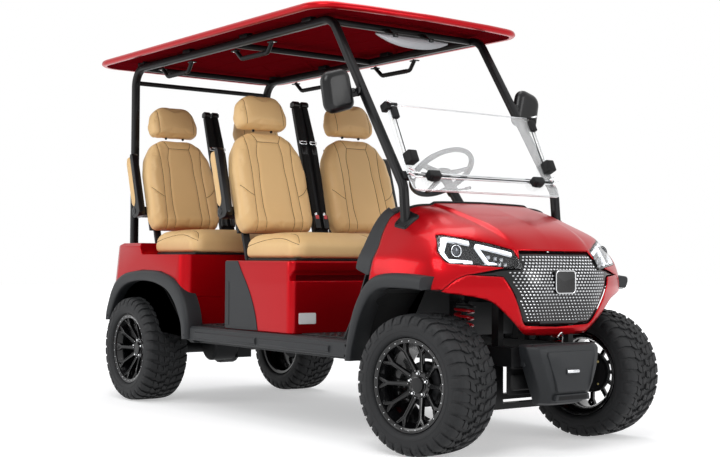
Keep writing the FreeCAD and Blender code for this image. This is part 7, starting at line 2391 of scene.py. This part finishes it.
@dataclass
class Cabin:
    """Dashboard with its binnacle and switches, steering wheel and column."""

    form: NoseForm = field(default_factory=NoseForm)
    centre: Triple = (270, 800, 1245)
    angle: float = 40.0
    wheel_radius: float = 164.0
    dash_front: float = 216.0
    dash_depth: float = 314.0
    dash_end: float = 434.0
    dash_round: float = 8.0
    profile: tuple = ((216, 1036), (300, 1040), (392, 1037), (440, 1029), (480, 1014), (510, 988),
                      (527, 955), (530, 925),
                      (515, 890), (492, 865), (470, 846), (440, 826), (405, 822), (380, 830),
                      (360, 860), (330, 900), (280, 960), (216, 1000))

    seal: tuple[Pair, ...] = ((-452, 262), (-400, 227), (-300, 217), (0, 215), (300, 217),
                              (400, 227), (452, 262))
    binnacle: tuple[Pair, ...] = ((398, 1006), (462, 1062), (556, 1067), (606, 1022), (584, 912),
                                  (500, 818), (410, 850))
    boss: tuple[Pair, ...] = ((-50, -34), (50, -34), (36, 50), (-36, 50))

    def dashboard(self) -> None:
        """The dash: its side profile, kept under the cowl and drawn in at the ends."""
        count = 72
        base = even_loop(curve_through(self.profile, 160, closed=True), count)
        xs = np.concatenate([[-442.0, -440.0, -434.0], np.linspace(-425.0, 425.0, 57),
                             [434.0, 440.0, 442.0]])
        rows = []
        for x in xs:
            ring_points = base.copy()
            rear = 350.0 + 180.0 * (1.0 - float(smoothstep(330.0, 436.0, np.array(abs(x)))))
            drawn = (ring_points[:,
                                 0] - self.dash_front) * (rear - self.dash_front) / self.dash_depth
            ring_points[:, 0] = self.dash_front + drawn
            shrink = max(0.0, abs(x) - self.dash_end) / self.dash_round
            middle = ring_points.mean(0)
            ring_points = middle + (ring_points - middle) * (1.0 - 0.06 * shrink)
            across = np.full(count, x)
            at = np.column_stack([across, np.clip(ring_points[:, 0], 214.0, 468.0)])
            limit = self.form.from_top(at)[:, 2] - 9.0
            z = np.minimum(ring_points[:, 1], np.where(ring_points[:, 0] < 470.0, limit, 1e9))
            rows.append(np.column_stack([across, ring_points[:, 0], z]))
        dash = surface(np.stack(rows), close_columns=True, caps=True)
        seal_line = self.form.from_top(even(self.seal, 90))
        seal = swept(seal_line + [0.0, 3.0, 0.0], circle(8.0, 10), (0, 0, 1)).finished(1)
        housing = rounded_outline(self.binnacle, (26, 30, 30, 26, 34, 26, 20), 5)
        binnacle = knobbed(housing, 209.0, 331.0, 14.0, 4)
        pivot = (270, 606, 990)
        screen = block((228, 604.5, 962), (312, 608, 1018), 1.4).turned("X", 14.0,
                                                                        pivot).finished(2)
        bezel = block((221, 600, 955), (319, 606.5, 1025), 3.0).turned("X", 14.0, pivot).finished(1)
        bits = [dash, seal, binnacle, bezel.moved(0.0, -8.0, 0.0), screen.moved(0.0, -6.0, 0.0)]
        for x in (40, 78, 116):
            bits.append(block((x - 13.0, 526, 935), (x + 13.0, 533, 968), 2.4).finished(1))
            bits.append(block((x - 9.0, 531, 941), (x + 9.0, 537, 962), 2.0).finished(2))
        pocket = rounded_outline([(-330, 890), (-90, 890), (-90, 968), (-330, 968)], 16.0, 4)
        bits.append(layered(pocket, [(512, 0), (531.4, 0), (532.6, 1.4), (532.6, 5), (527, 7),
                                     (526, 9)], front_view).finished(1))
        for x in (-24, 372):
            bits.append(ring([(0, 43), (5, 43), (6, 41), (5, 38), (-6, 36), (-6, 40)],
                             36).turned("Y", -90.0)
                        .moved(x, 446.0, 1029.0).finished(1))
        make_piece("dashboard_moulded", Shape.joined(bits),
                   (Looks.PLASTIC, Looks.RUBBER, Looks.LAMP_BLACK), "root",
                   ("dashboard",), sharp=38.0)

    def wheel(self) -> None:
        """The steering wheel: an oval-section rim, three spokes and a padded boss."""
        around = 2.0 * np.pi * np.arange(96) / 96
        path = np.column_stack([self.wheel_radius * np.cos(around),
                                self.wheel_radius * np.sin(around), np.zeros(96)])
        swell = 1.0 + 0.07 * np.clip(np.cos(2.0 * around) * 3.0, -1.0, 1.0)
        rim = swept(path, circle(14.0, 14), (0, 0, 1), closed=True, scale=swell)
        parts = [rim]
        for degrees in (90, -15, 195):
            a = math.radians(degrees)
            way = np.array([math.cos(a), math.sin(a), 0.0])
            line = curve_through([tuple(way * 30.0 + [0, 0, -13.0]),
                                  tuple(way * 80.0 + [0, 0, -10.0]),
                                  tuple(way * 130.0 + [0, 0, -3.0]), tuple(way * 170.0)], 16)
            parts.append(swept(line, box_section(9.0, 36.0, 3.6, 3), (0, 0, 1),
                               scale=np.interp(np.linspace(0, 1, 16), [0, 0.5, 1],
                                               [1.15, 0.9, 0.75])).finished(1))
        boss_outline = rounded_outline(self.boss, 24.0, 6)
        boss = layered(boss_outline, [(-22, 12), (-18, 4), (-8, 0), (-2, 1), (3, 4.5), (6, 10),
                                      (7.5, 18)], plan).finished(1)
        cover = layered(drawn_in(boss_outline, 20.0), [(6, 0), (9, 0.5), (10, 3)], plan).finished(2)
        neck = lathe([(-45, 0), (-45, 27), (-40, 30), (-18, 36), (-10, 36), (-10, 0)],
                     32).turned("Y", -90.0).finished(1)
        whole = Shape.joined(parts + [boss, cover, neck]).turned("X",
                                                                 -self.angle).moved(*self.centre)
        make_piece("steering_wheel_gripped", whole,
                   (Looks.WHEEL_GREY, Looks.PLASTIC_BLACK, Looks.FRAME),
                   "steering_wheel", ("steering_wheel",), sharp=40.0)

    def stalks(self) -> None:
        """The direction lever and the column's shroud clip."""
        tilt = math.radians(self.angle)
        axis = np.array([0.0, math.sin(tilt), math.cos(tilt)])
        base = np.array(self.centre) - axis * 120.0
        lever = curve_through([tuple(base + [20.0, 0, 0]), tuple(base + [70.0, 0, 6.0]),
                               tuple(base + [128.0, 6.0, 16.0])], 14)
        stick = swept(lever, circle(5.0, 10), (0, 0, 1))
        knob = swept(lever[-5:], circle(8.5, 12), (0, 0, 1)).finished(1)
        collar = lathe([(-26, 0), (-26, 26), (-20, 29), (20, 29), (26, 26), (26, 0)], 28)
        collar = collar.aimed(tuple(base), tuple(axis))
        make_piece("direction_lever", Shape.joined([stick, knob, collar]),
                   (Looks.FRAME, Looks.RUBBER), "root",
                   (), sharp=40.0)

    def build(self) -> None:
        """Make the cabin's pieces."""
        self.dashboard()
        self.wheel()
        self.stalks()


# Belts, tail lamps, mats and small trim


@dataclass
class Belts:
    """Two shoulder belts for each row, with guide heads, adjuster loops, tongues and buckles."""

    line: tuple[Triple, ...] = ((27, 62, 738), (30, 57, 640), (33, 52, 520), (32, 55, 340),
                                (29, 60, 160), (27, 62, 60), (27, 64.5, -56))

    def one(self) -> Shape:
        """One belt in the seat frame: x across, y back, z up along the back."""
        line = curve_through(self.line, 48)
        strap = swept(line, box_section(34.0, 2.6, 1.0, 2), (1, 0, 0))
        second = swept(line[14:40] + [1.5, -5.0, 0.0], box_section(31.0, 2.4, 1.0, 2), (1, 0, 0))
        head_side = rounded_outline([(52, 736), (88, 735.6), (98, 745), (88, 768), (62, 770),
                                     (50, 756)], 8.0, 4)
        head = knobbed(head_side, 6.0, 50.0, 6.0, 3)
        bars = [block((12, 46, 512), (54, 49.6, 517), 1.6),
                block((12, 46, 527), (54, 49.6, 532), 1.6),
                block((11, 46, 512), (16, 49.6, 532), 1.6),
                block((50, 46, 512), (55, 49.6, 532), 1.6)]
        tongue = block((16, 44, 452), (50, 51, 500), 3.0, 3).finished(3)
        buckle_side = rounded_outline([(43, 30), (62, 30), (63, 106), (42, 106)], 7.0, 4)
        buckle = knobbed(buckle_side, 10.0, 44.0, 5.0, 3).finished(3)
        button = block((16, 40.5, 84), (38, 46, 107), 2.5, 3).finished(2)
        tip = block((19, 50, 104), (35, 54, 124), 1.4).finished(1)
        return Shape.joined([strap, second, head.finished(3), *[b.finished(1) for b in bars],
                             tongue,
                             buckle, button, tip])

    def build(self) -> None:
        """Make both rows' belts."""
        one = self.one()
        rows = [Seats.reclined(one.both(), 0.0, back, up) for _, back, up in ROWS]
        make_piece("belts_webbed", Shape.joined(rows),
                   (Looks.WEBBING, Looks.BRIGHT, Looks.RED_BUTTON, Looks.PLASTIC_BLACK),
                   "root", ("seat_belts",), sharp=35.0)


@dataclass
class TailLamps:
    """The two lamps at the back, each with a red lens, a clear corner and a black bezel."""

    def build(self) -> None:
        """Make the lamps."""
        outline = rounded_outline([(345, 655), (462, 655), (462, 720), (345, 720)], 12.0, 5)
        grown = drawn_in(outline, -4.0)
        bezel = layered(grown, [(2790, 0), (2806, 0), (2808, 1.2), (2808, 4.4), (2796, 4.6)],
                        front_view)
        lens = layered(outline, [(2795, 0.6), (2811, 0.6), (2816, 2), (2820, 5.5), (2822, 11)],
                       front_view).finished(1)
        bars = []
        for z in (668, 680, 692, 704):
            bars.append(block((356, 2818, z), (426, 2823.4, z + 5.0), 1.6).finished(1))
        clear = block((432, 2812, 664), (454, 2823.4, 711), 4.0, 3).finished(2)
        make_piece("tail_lamps", Shape.joined([bezel, lens, *bars, clear]).both(),
                   (Looks.PLASTIC_BLACK, Looks.RED_LENS, Looks.REFLECTOR), "root", (),
                   sharp=32.0)


@dataclass
class Trim:
    """Floor mats with raised lozenges, a blank white label and the panel across the bumper's tower."""

    def mats(self) -> None:
        """Both rows' mats."""
        parts = []
        for y0, y1 in ((530, 880), (1512, 1868)):
            slab = rounded_outline([(-530, y0), (530, y0), (530, y1), (-530, y1)], 18.0, 4)
            parts.append(layered(slab, edge_levels(450.0, 456.0, 2.0, 2), plan))
            rows = int((y1 - y0 - 60.0) / 27.0)
            for row in range(rows):
                for column in range(24):
                    x = -495.0 + 42.0 * column + (21.0 if row % 2 else 0.0)
                    turned = 38.0 if (row + column) % 2 else -38.0
                    stud_outline = np.array([(-14, 0), (0, -4.6), (14, 0), (0, 4.6)])
                    lozenge = layered(stud_outline, [(455.6, 0), (458.4, 1.4)], plan)
                    parts.append(lozenge.turned("Z", turned).moved(x, y0 + 40.0 + 27.0 * row, 0.0))
        make_piece("mats_studded", Shape.joined(parts), (Looks.MAT,), "root",
                   ("floor_mats",), sharp=30.0)

    def label(self) -> None:
        """A blank white label low on the seat box."""
        tag = rounded_outline([(-532, 497), (-434, 497), (-434, 549), (-532, 549)], 5.0, 4)
        label = layered(tag, [(888.2, 0.6), (888.7, 0), (890.6, 0)], front_view)
        make_piece("seat_box_label", label, (Looks.LABEL,), "root", (), sharp=32.0)

    def tower_panel(self) -> None:
        """A pressed panel across the bumper tower's legs."""
        outer = rounded_outline([(-236, 246), (236, 246), (236, 442), (-236, 442)], 14.0, 4)
        parts = [layered(outer, [(-205, 1), (-204, 0), (-201, 0), (-200, 1)], front_view)]
        for low, high in ((262, 334), (350, 426)):
            rib = rounded_outline([(-216, low), (216, low), (216, high), (-216, high)], 16.0, 4)
            parts.append(layered(rib, [(-211, 7), (-210, 5), (-204.5, 0)], front_view))
        make_piece("tower_panel", Shape.joined(parts), (Looks.FRAME,), "root", (),
                   sharp=35.0)

    def build(self) -> None:
        """Make the trim."""
        self.mats()
        self.label()
        self.tower_panel()


@dataclass
class SeatBox:
    """The front seat box with its recess band and side trims, and the rear box's front corners."""

    half: float = 575.0
    front: float = 890.0
    rear: float = 1500.0
    corner: float = 34.0
    recess: float = 13.0
    levels: tuple[Triple, ...] = ((451, 0, 0), (457, 0, 0), (560, 0, 0), (694, 0, 0),
                                  (699, 0, 0.2), (702, 0, 1), (708, 0, 1), (728, 0, 1),
                                  (740, 0, 0.6), (748, 0, 0.2), (753, 0, 0), (783, 0, 0),
                                  (789, 0.8, 0), (793, 3, 0), (795, 7, 0), (795, 40, 0))
    trim_curve: tuple[Pair, ...] = ((1368, 793), (1330, 740), (1286, 685), (1240, 615),
                                    (1202, 535), (1180, 455))

    def box(self) -> Shape:
        """The box as plan outlines at rising heights; a recess runs across its front face, its deepest
        faces a darker red as painted shade.
        """
        h = self.half
        plan_line = rounded_outline([(-h, self.front), (h, self.front), (h, self.rear),
                                     (-h, self.rear)],
                                    (self.corner, self.corner, 14, 14), 10)
        plan_line = even_loop(plan_line, 260)
        rings, marks = [], []
        for z, inset, depth in self.levels:
            flat = drawn_in(plan_line, inset) if inset else plan_line.copy()
            face = 1.0 - smoothstep(self.front + 4.0, self.front + 20.0, flat[:, 1])
            flat[:, 1] += self.recess * depth * face
            rings.append(np.column_stack([flat, np.full(len(flat), z)]))
            marks.append(depth)
        side = surface(np.stack(rings), close_columns=True)
        count = len(plan_line)
        finish = np.zeros(len(side.faces), int)
        # Faces deep in the recess on the front face take finish 1, the darker red of painted shade.
        for row in range(len(self.levels) - 1):
            if marks[row] >= 1.0 and marks[row + 1] >= 1.0:
                for column in range(count):
                    if rings[row][column][1] < self.front + 14.0:
                        finish[row * count + column] = 1
        side = Shape(side.points, side.faces, finish)
        cap = Shape.of(rings[-1], [tuple(range(count))])
        return Shape.joined([side, cap])

    def trims(self) -> Shape:
        """The dark panel at each rear side, its front edge a long curve."""
        curve = curve_through(self.trim_curve, 26)
        side = np.vstack([curve, [(1300, 453), (1478, 453), (1486, 461), (1486, 786), (1479, 793)]])
        panel = layered(side, [(575.2, 0), (577.4, 0.3), (578.4, 1.6)], side_view)
        lower = rounded_outline([(1446, 470), (1480, 470), (1480, 690), (1446, 690)], 6.0, 3)
        ridge = layered(lower, [(577, 0), (579.6, 0.4), (580.4, 1.6)], side_view)
        return Shape.joined([panel, ridge]).both()

    @staticmethod
    def rear_front() -> Shape:
        """The lower front of the rear box, round its two corners down to the floor."""
        turn = np.radians(np.linspace(38.0, 90.0, 9))
        centre_x, centre_y, end_x = -538, 1942, -300
        faces = []
        for radius in (60, 56):
            arc = np.column_stack([centre_x - radius * np.cos(turn),
                                   centre_y - radius * np.sin(turn)])
            faces.append(np.vstack([arc, [(end_x, centre_y - radius)]]))
        outer, inner = faces
        wall = layered(np.vstack([outer, inner[::-1]])[::-1], [(452, 0), (470, 0), (700, 0)], plan)
        return wall.both()

    def build(self) -> None:
        """Make the box, its trims and the rear box's lower front."""
        make_piece("seat_box_moulded", self.box(), (Looks.PAINT, Looks.RECESS_PAINTED_SHADE), "root",
                   ("front_seat_box",),
                   sharp=40.0, shell=3.5)
        make_piece("seat_box_trims", self.trims(), (Looks.PLASTIC,), "root",
                   ("side_trims",), sharp=32.0)
        make_piece("rear_box_front", self.rear_front(), (Looks.PAINT,), "root", (),
                   sharp=40.0)


# Studio


@dataclass
class Studio:
    """Floor, soft lamps, pale surroundings and the camera."""

    eye: Triple = (-3.800, -5.2035, 0.796)
    yaw: float = 37.02
    pitch: float = 1.51
    roll: float = 0.39
    lens: float = 61.75
    world: float = 0.62

    def build(self) -> None:
        """Make everything round the cart."""
        self.camera()
        self.floor()
        self.surroundings()
        self.lamp("key", (-3.6, -3.4, 4.6), (0.0, -0.4, 0.9), (2.6, 2.6), 132.0)
        self.lamp("overhead", (0.2, 0.3, 5.0), (0.0, 0.0, 0.5), (3.4, 4.6), 132.0)
        self.lamp("side", (-4.6, 2.2, 2.2), (0.0, 0.4, 0.8), (2.0, 2.4), 54.0)
        self.lamp("front", (1.8, -4.8, 2.2), (0.2, -1.2, 0.7), (1.6, 2.0), 40.0)
        bpy.context.scene.view_settings.view_transform = "Standard"

    def camera(self) -> None:
        """The camera that the photograph's wheels and edges give.

        Its forward direction is (sin yaw cos pitch, cos yaw cos pitch, sin pitch); its right and
        up are turned about that direction by the roll.
        """
        yaw, pitch, roll = (math.radians(a) for a in (self.yaw, self.pitch, self.roll))
        forward = Vector((math.sin(yaw) * math.cos(pitch), math.cos(yaw) * math.cos(pitch),
                          math.sin(pitch)))
        level = Vector((math.cos(yaw), -math.sin(yaw), 0.0))
        above = level.cross(forward)
        right = level * math.cos(roll) + above * math.sin(roll)
        up = -level * math.sin(roll) + above * math.cos(roll)
        data = bpy.data.cameras.new("camera")
        data.lens = self.lens
        data.sensor_width = 36.0
        data.clip_start, data.clip_end = 0.05, 100.0
        obj = bpy.data.objects.new("camera", data)
        turn = Matrix((right, up, -forward)).transposed().to_4x4()
        obj.matrix_world = Matrix.Translation(Vector(self.eye)) @ turn
        bpy.context.scene.collection.objects.link(obj)
        bpy.context.scene.camera = obj

    def floor(self) -> None:
        """A pale floor that keeps the cart's soft shadow."""
        steps = np.linspace(-30.0, 30.0, 13)
        gx, gy = np.meshgrid(steps, steps, indexing="ij")
        grid = np.stack([gx, gy, np.zeros_like(gx)], -1)
        mesh = bpy.data.meshes.new("floor")
        mesh.from_pydata(grid.reshape(-1, 3).tolist(), [], [f[::-1] for f in grid_faces(13, 13)])
        mesh.materials.append(self.pale("pale floor", 0.80, 0.42))
        obj = bpy.data.objects.new("floor", mesh)
        bpy.context.scene.collection.objects.link(obj)

    @staticmethod
    def pale(name: str, grey: float, glow: float) -> bpy.types.Material:
        """A plain pale surface, faintly uneven, that looks near white straight to the camera."""
        made = bpy.data.materials.new(name)
        made.use_nodes = True
        nodes, links = made.node_tree.nodes, made.node_tree.links
        shader = nodes["Principled BSDF"]
        shader.inputs["Roughness"].default_value = 0.9
        shader.inputs["Specular IOR Level"].default_value = 0.05
        noise = nodes.new("ShaderNodeTexNoise")
        noise.inputs["Scale"].default_value = 0.7
        mix = nodes.new("ShaderNodeMix")
        mix.data_type = "RGBA"
        mix.inputs[6].default_value = (grey, grey, grey, 1.0)
        mix.inputs[7].default_value = (grey * 1.01, grey * 1.01, grey * 1.012, 1.0)
        links.new(noise.outputs[0], mix.inputs[0])
        links.new(mix.outputs[2], shader.inputs["Base Color"])
        place = nodes.new("ShaderNodeTexCoord")
        away = nodes.new("ShaderNodeVectorMath")
        away.operation = "LENGTH"
        links.new(place.outputs["Object"], away.inputs[0])
        fade = nodes.new("ShaderNodeMapRange")
        fade.interpolation_type = "SMOOTHSTEP"
        for label, value in (("From Min", 1.8), ("From Max", 9.0), ("To Min", glow),
                             ("To Max", 1.0)):
            fade.inputs[label].default_value = value
        links.new(away.outputs["Value"], fade.inputs["Value"])
        scale = nodes.new("ShaderNodeMath")
        scale.operation = "MULTIPLY"
        links.new(fade.outputs[0], scale.inputs[1])
        links.new(Studio.seen(made.node_tree), scale.inputs[0])
        shader.inputs["Emission Color"].default_value = (1.0, 1.0, 1.0, 1.0)
        links.new(scale.outputs[0], shader.inputs["Emission Strength"])
        return made

    @staticmethod
    def seen(tree: bpy.types.NodeTree) -> bpy.types.NodeSocket:
        """A socket that is 1 for camera, glossy and transmission rays, 0 for the light on the cart."""
        path = tree.nodes.new("ShaderNodeLightPath")
        total = path.outputs["Is Camera Ray"]
        for label in ("Is Glossy Ray", "Is Transmission Ray"):
            more = tree.nodes.new("ShaderNodeMath")
            more.operation = "MAXIMUM"
            tree.links.new(total, more.inputs[0])
            tree.links.new(path.outputs[label], more.inputs[1])
            total = more.outputs[0]
        return total

    def surroundings(self) -> None:
        """A pale world: white to the camera, dimmer where it lights the cart."""
        world = bpy.data.worlds.new("studio")
        bpy.context.scene.world = world
        world.use_nodes = True
        nodes, links = world.node_tree.nodes, world.node_tree.links
        back = nodes["Background"]
        place = nodes.new("ShaderNodeTexCoord")
        split = nodes.new("ShaderNodeSeparateXYZ")
        ramp = nodes.new("ShaderNodeValToRGB")
        stops = ramp.color_ramp.elements
        stops[0].position, stops[0].color = 0.35, (0.10, 0.10, 0.10, 1.0)
        stops[1].position, stops[1].color = 0.62, (0.75, 0.76, 0.78, 1.0)
        half = nodes.new("ShaderNodeMath")
        half.operation = "MULTIPLY_ADD"
        half.inputs[1].default_value = 0.5
        half.inputs[2].default_value = 0.5
        direct = self.seen(world.node_tree)
        mix = nodes.new("ShaderNodeMix")
        mix.data_type = "RGBA"
        mix.inputs[7].default_value = (1.0, 1.0, 1.0, 1.0)
        strength = nodes.new("ShaderNodeMapRange")
        strength.inputs["To Min"].default_value = self.world
        strength.inputs["To Max"].default_value = 1.0
        for source, target in ((place.outputs["Generated"], split.inputs[0]),
                               (split.outputs["Z"], half.inputs[0]),
                               (half.outputs[0], ramp.inputs[0]), (ramp.outputs[0], mix.inputs[6]),
                               (direct, mix.inputs[0]), (mix.outputs[2], back.inputs["Color"]),
                               (direct, strength.inputs[0]),
                               (strength.outputs[0], back.inputs["Strength"])):
            links.new(source, target)

    @staticmethod
    def lamp(name: str, place: Triple, target: Triple, size: Pair, power: float) -> None:
        """A soft rectangular lamp at a place, aimed at a target."""
        data = bpy.data.lights.new(name, "AREA")
        data.shape = "RECTANGLE"
        data.size, data.size_y = size
        data.energy = power
        obj = bpy.data.objects.new(name, data)
        obj.location = place
        obj.rotation_euler = (Vector(target) - Vector(place)).to_track_quat("-Z", "Y").to_euler()
        bpy.context.scene.collection.objects.link(obj)


def clear_scene() -> None:
    """Take out what a new file starts with."""
    for obj in list(bpy.data.objects):
        bpy.data.objects.remove(obj)


def tail_slant(points: np.ndarray) -> np.ndarray:
    """Lean the top of the rear body's tail forwards, above the lamps."""
    moved = points.copy()
    high = smoothstep(725.0, 895.0, points[:, 2])
    behind = smoothstep(2500.0, 2740.0, points[:, 1])
    moved[:, 1] -= TAIL_LEAN * high * behind
    return moved


def back_shells(points: np.ndarray) -> np.ndarray:
    """Draw the seat backs' shells in where the upholstery's shoulders slope."""
    moved = points.copy()
    lean = math.radians(RECLINE)
    for _, back, up in ROWS:
        y = points[:, 1] - SEAT_FOOT[0] - back
        z = points[:, 2] - SEAT_FOOT[1] - up
        along = y * math.sin(lean) + z * math.cos(lean)
        into = y * math.cos(lean) - z * math.sin(lean)
        across = np.abs(points[:, 0]) - SEAT_X
        limit = np.interp(along, *zip(*SHOULDER_LIMITS))
        near = (along > SHOULDER_LIMITS[0][0]) & (along < 600.0) & (np.abs(into) < 160.0)
        near &= (np.abs(across) > limit) & (np.abs(points[:, 0]) > 56.0)
        moved[near, 0] = (np.sign(points[:, 0]) * (SEAT_X + np.sign(across) * limit))[near]
    return moved


@dataclass(frozen=True)
class Eased:
    """A frame node that is shown with its edges eased, in one finish."""

    node: str
    finish: Finish
    slot: str
    bevel: float
    shift: Optional[Callable[[np.ndarray], np.ndarray]] = None


EASED = (
    Eased("chassis_frame", Looks.FRAME, "frame_black", 2.0),
    Eased("front_suspension", Looks.FRAME, "frame_black", 2.0),
    Eased("rear_axle", Looks.CAST, "cast_metal", 2.0),
    Eased("leaf_springs", Looks.FRAME, "frame_black", 1.5),
    Eased("battery_pack", Looks.CASE, "battery_grey", 4.0),
    Eased("floor_pan", Looks.PLASTIC, "dark_plastic", 1.0),
    Eased("sills", Looks.PLASTIC, "dark_plastic", 4.0),
    Eased("rear_body", Looks.PAINT, "body_red", 8.0, tail_slant),
    Eased("seat_frames", Looks.BACKING, "dark_plastic", 3.0, back_shells),
    Eased("steering_controls", Looks.FRAME, "frame_black", 2.0),
)


def main() -> None:
    """Dress the frame: every sub-assembly in turn, then the studio round it."""
    logging.basicConfig(level=logging.INFO, format="%(message)s")
    clear_scene()
    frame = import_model()
    for assembly in (FrontBody(), Wheels(), Seats(), Bumper(), CoilOvers(), Roof(), CabFrame(),
                     Windshield(), Mirrors(), Cabin(), Belts(), TailLamps(), Trim(), SeatBox()):
        assembly.build()
    Flares().build(frame)
    for part in EASED:
        eased_copy(frame, part.node, part.finish, part.slot, part.bevel, shift=part.shift)
    Studio().build()


if __name__ == "__main__":
    main()
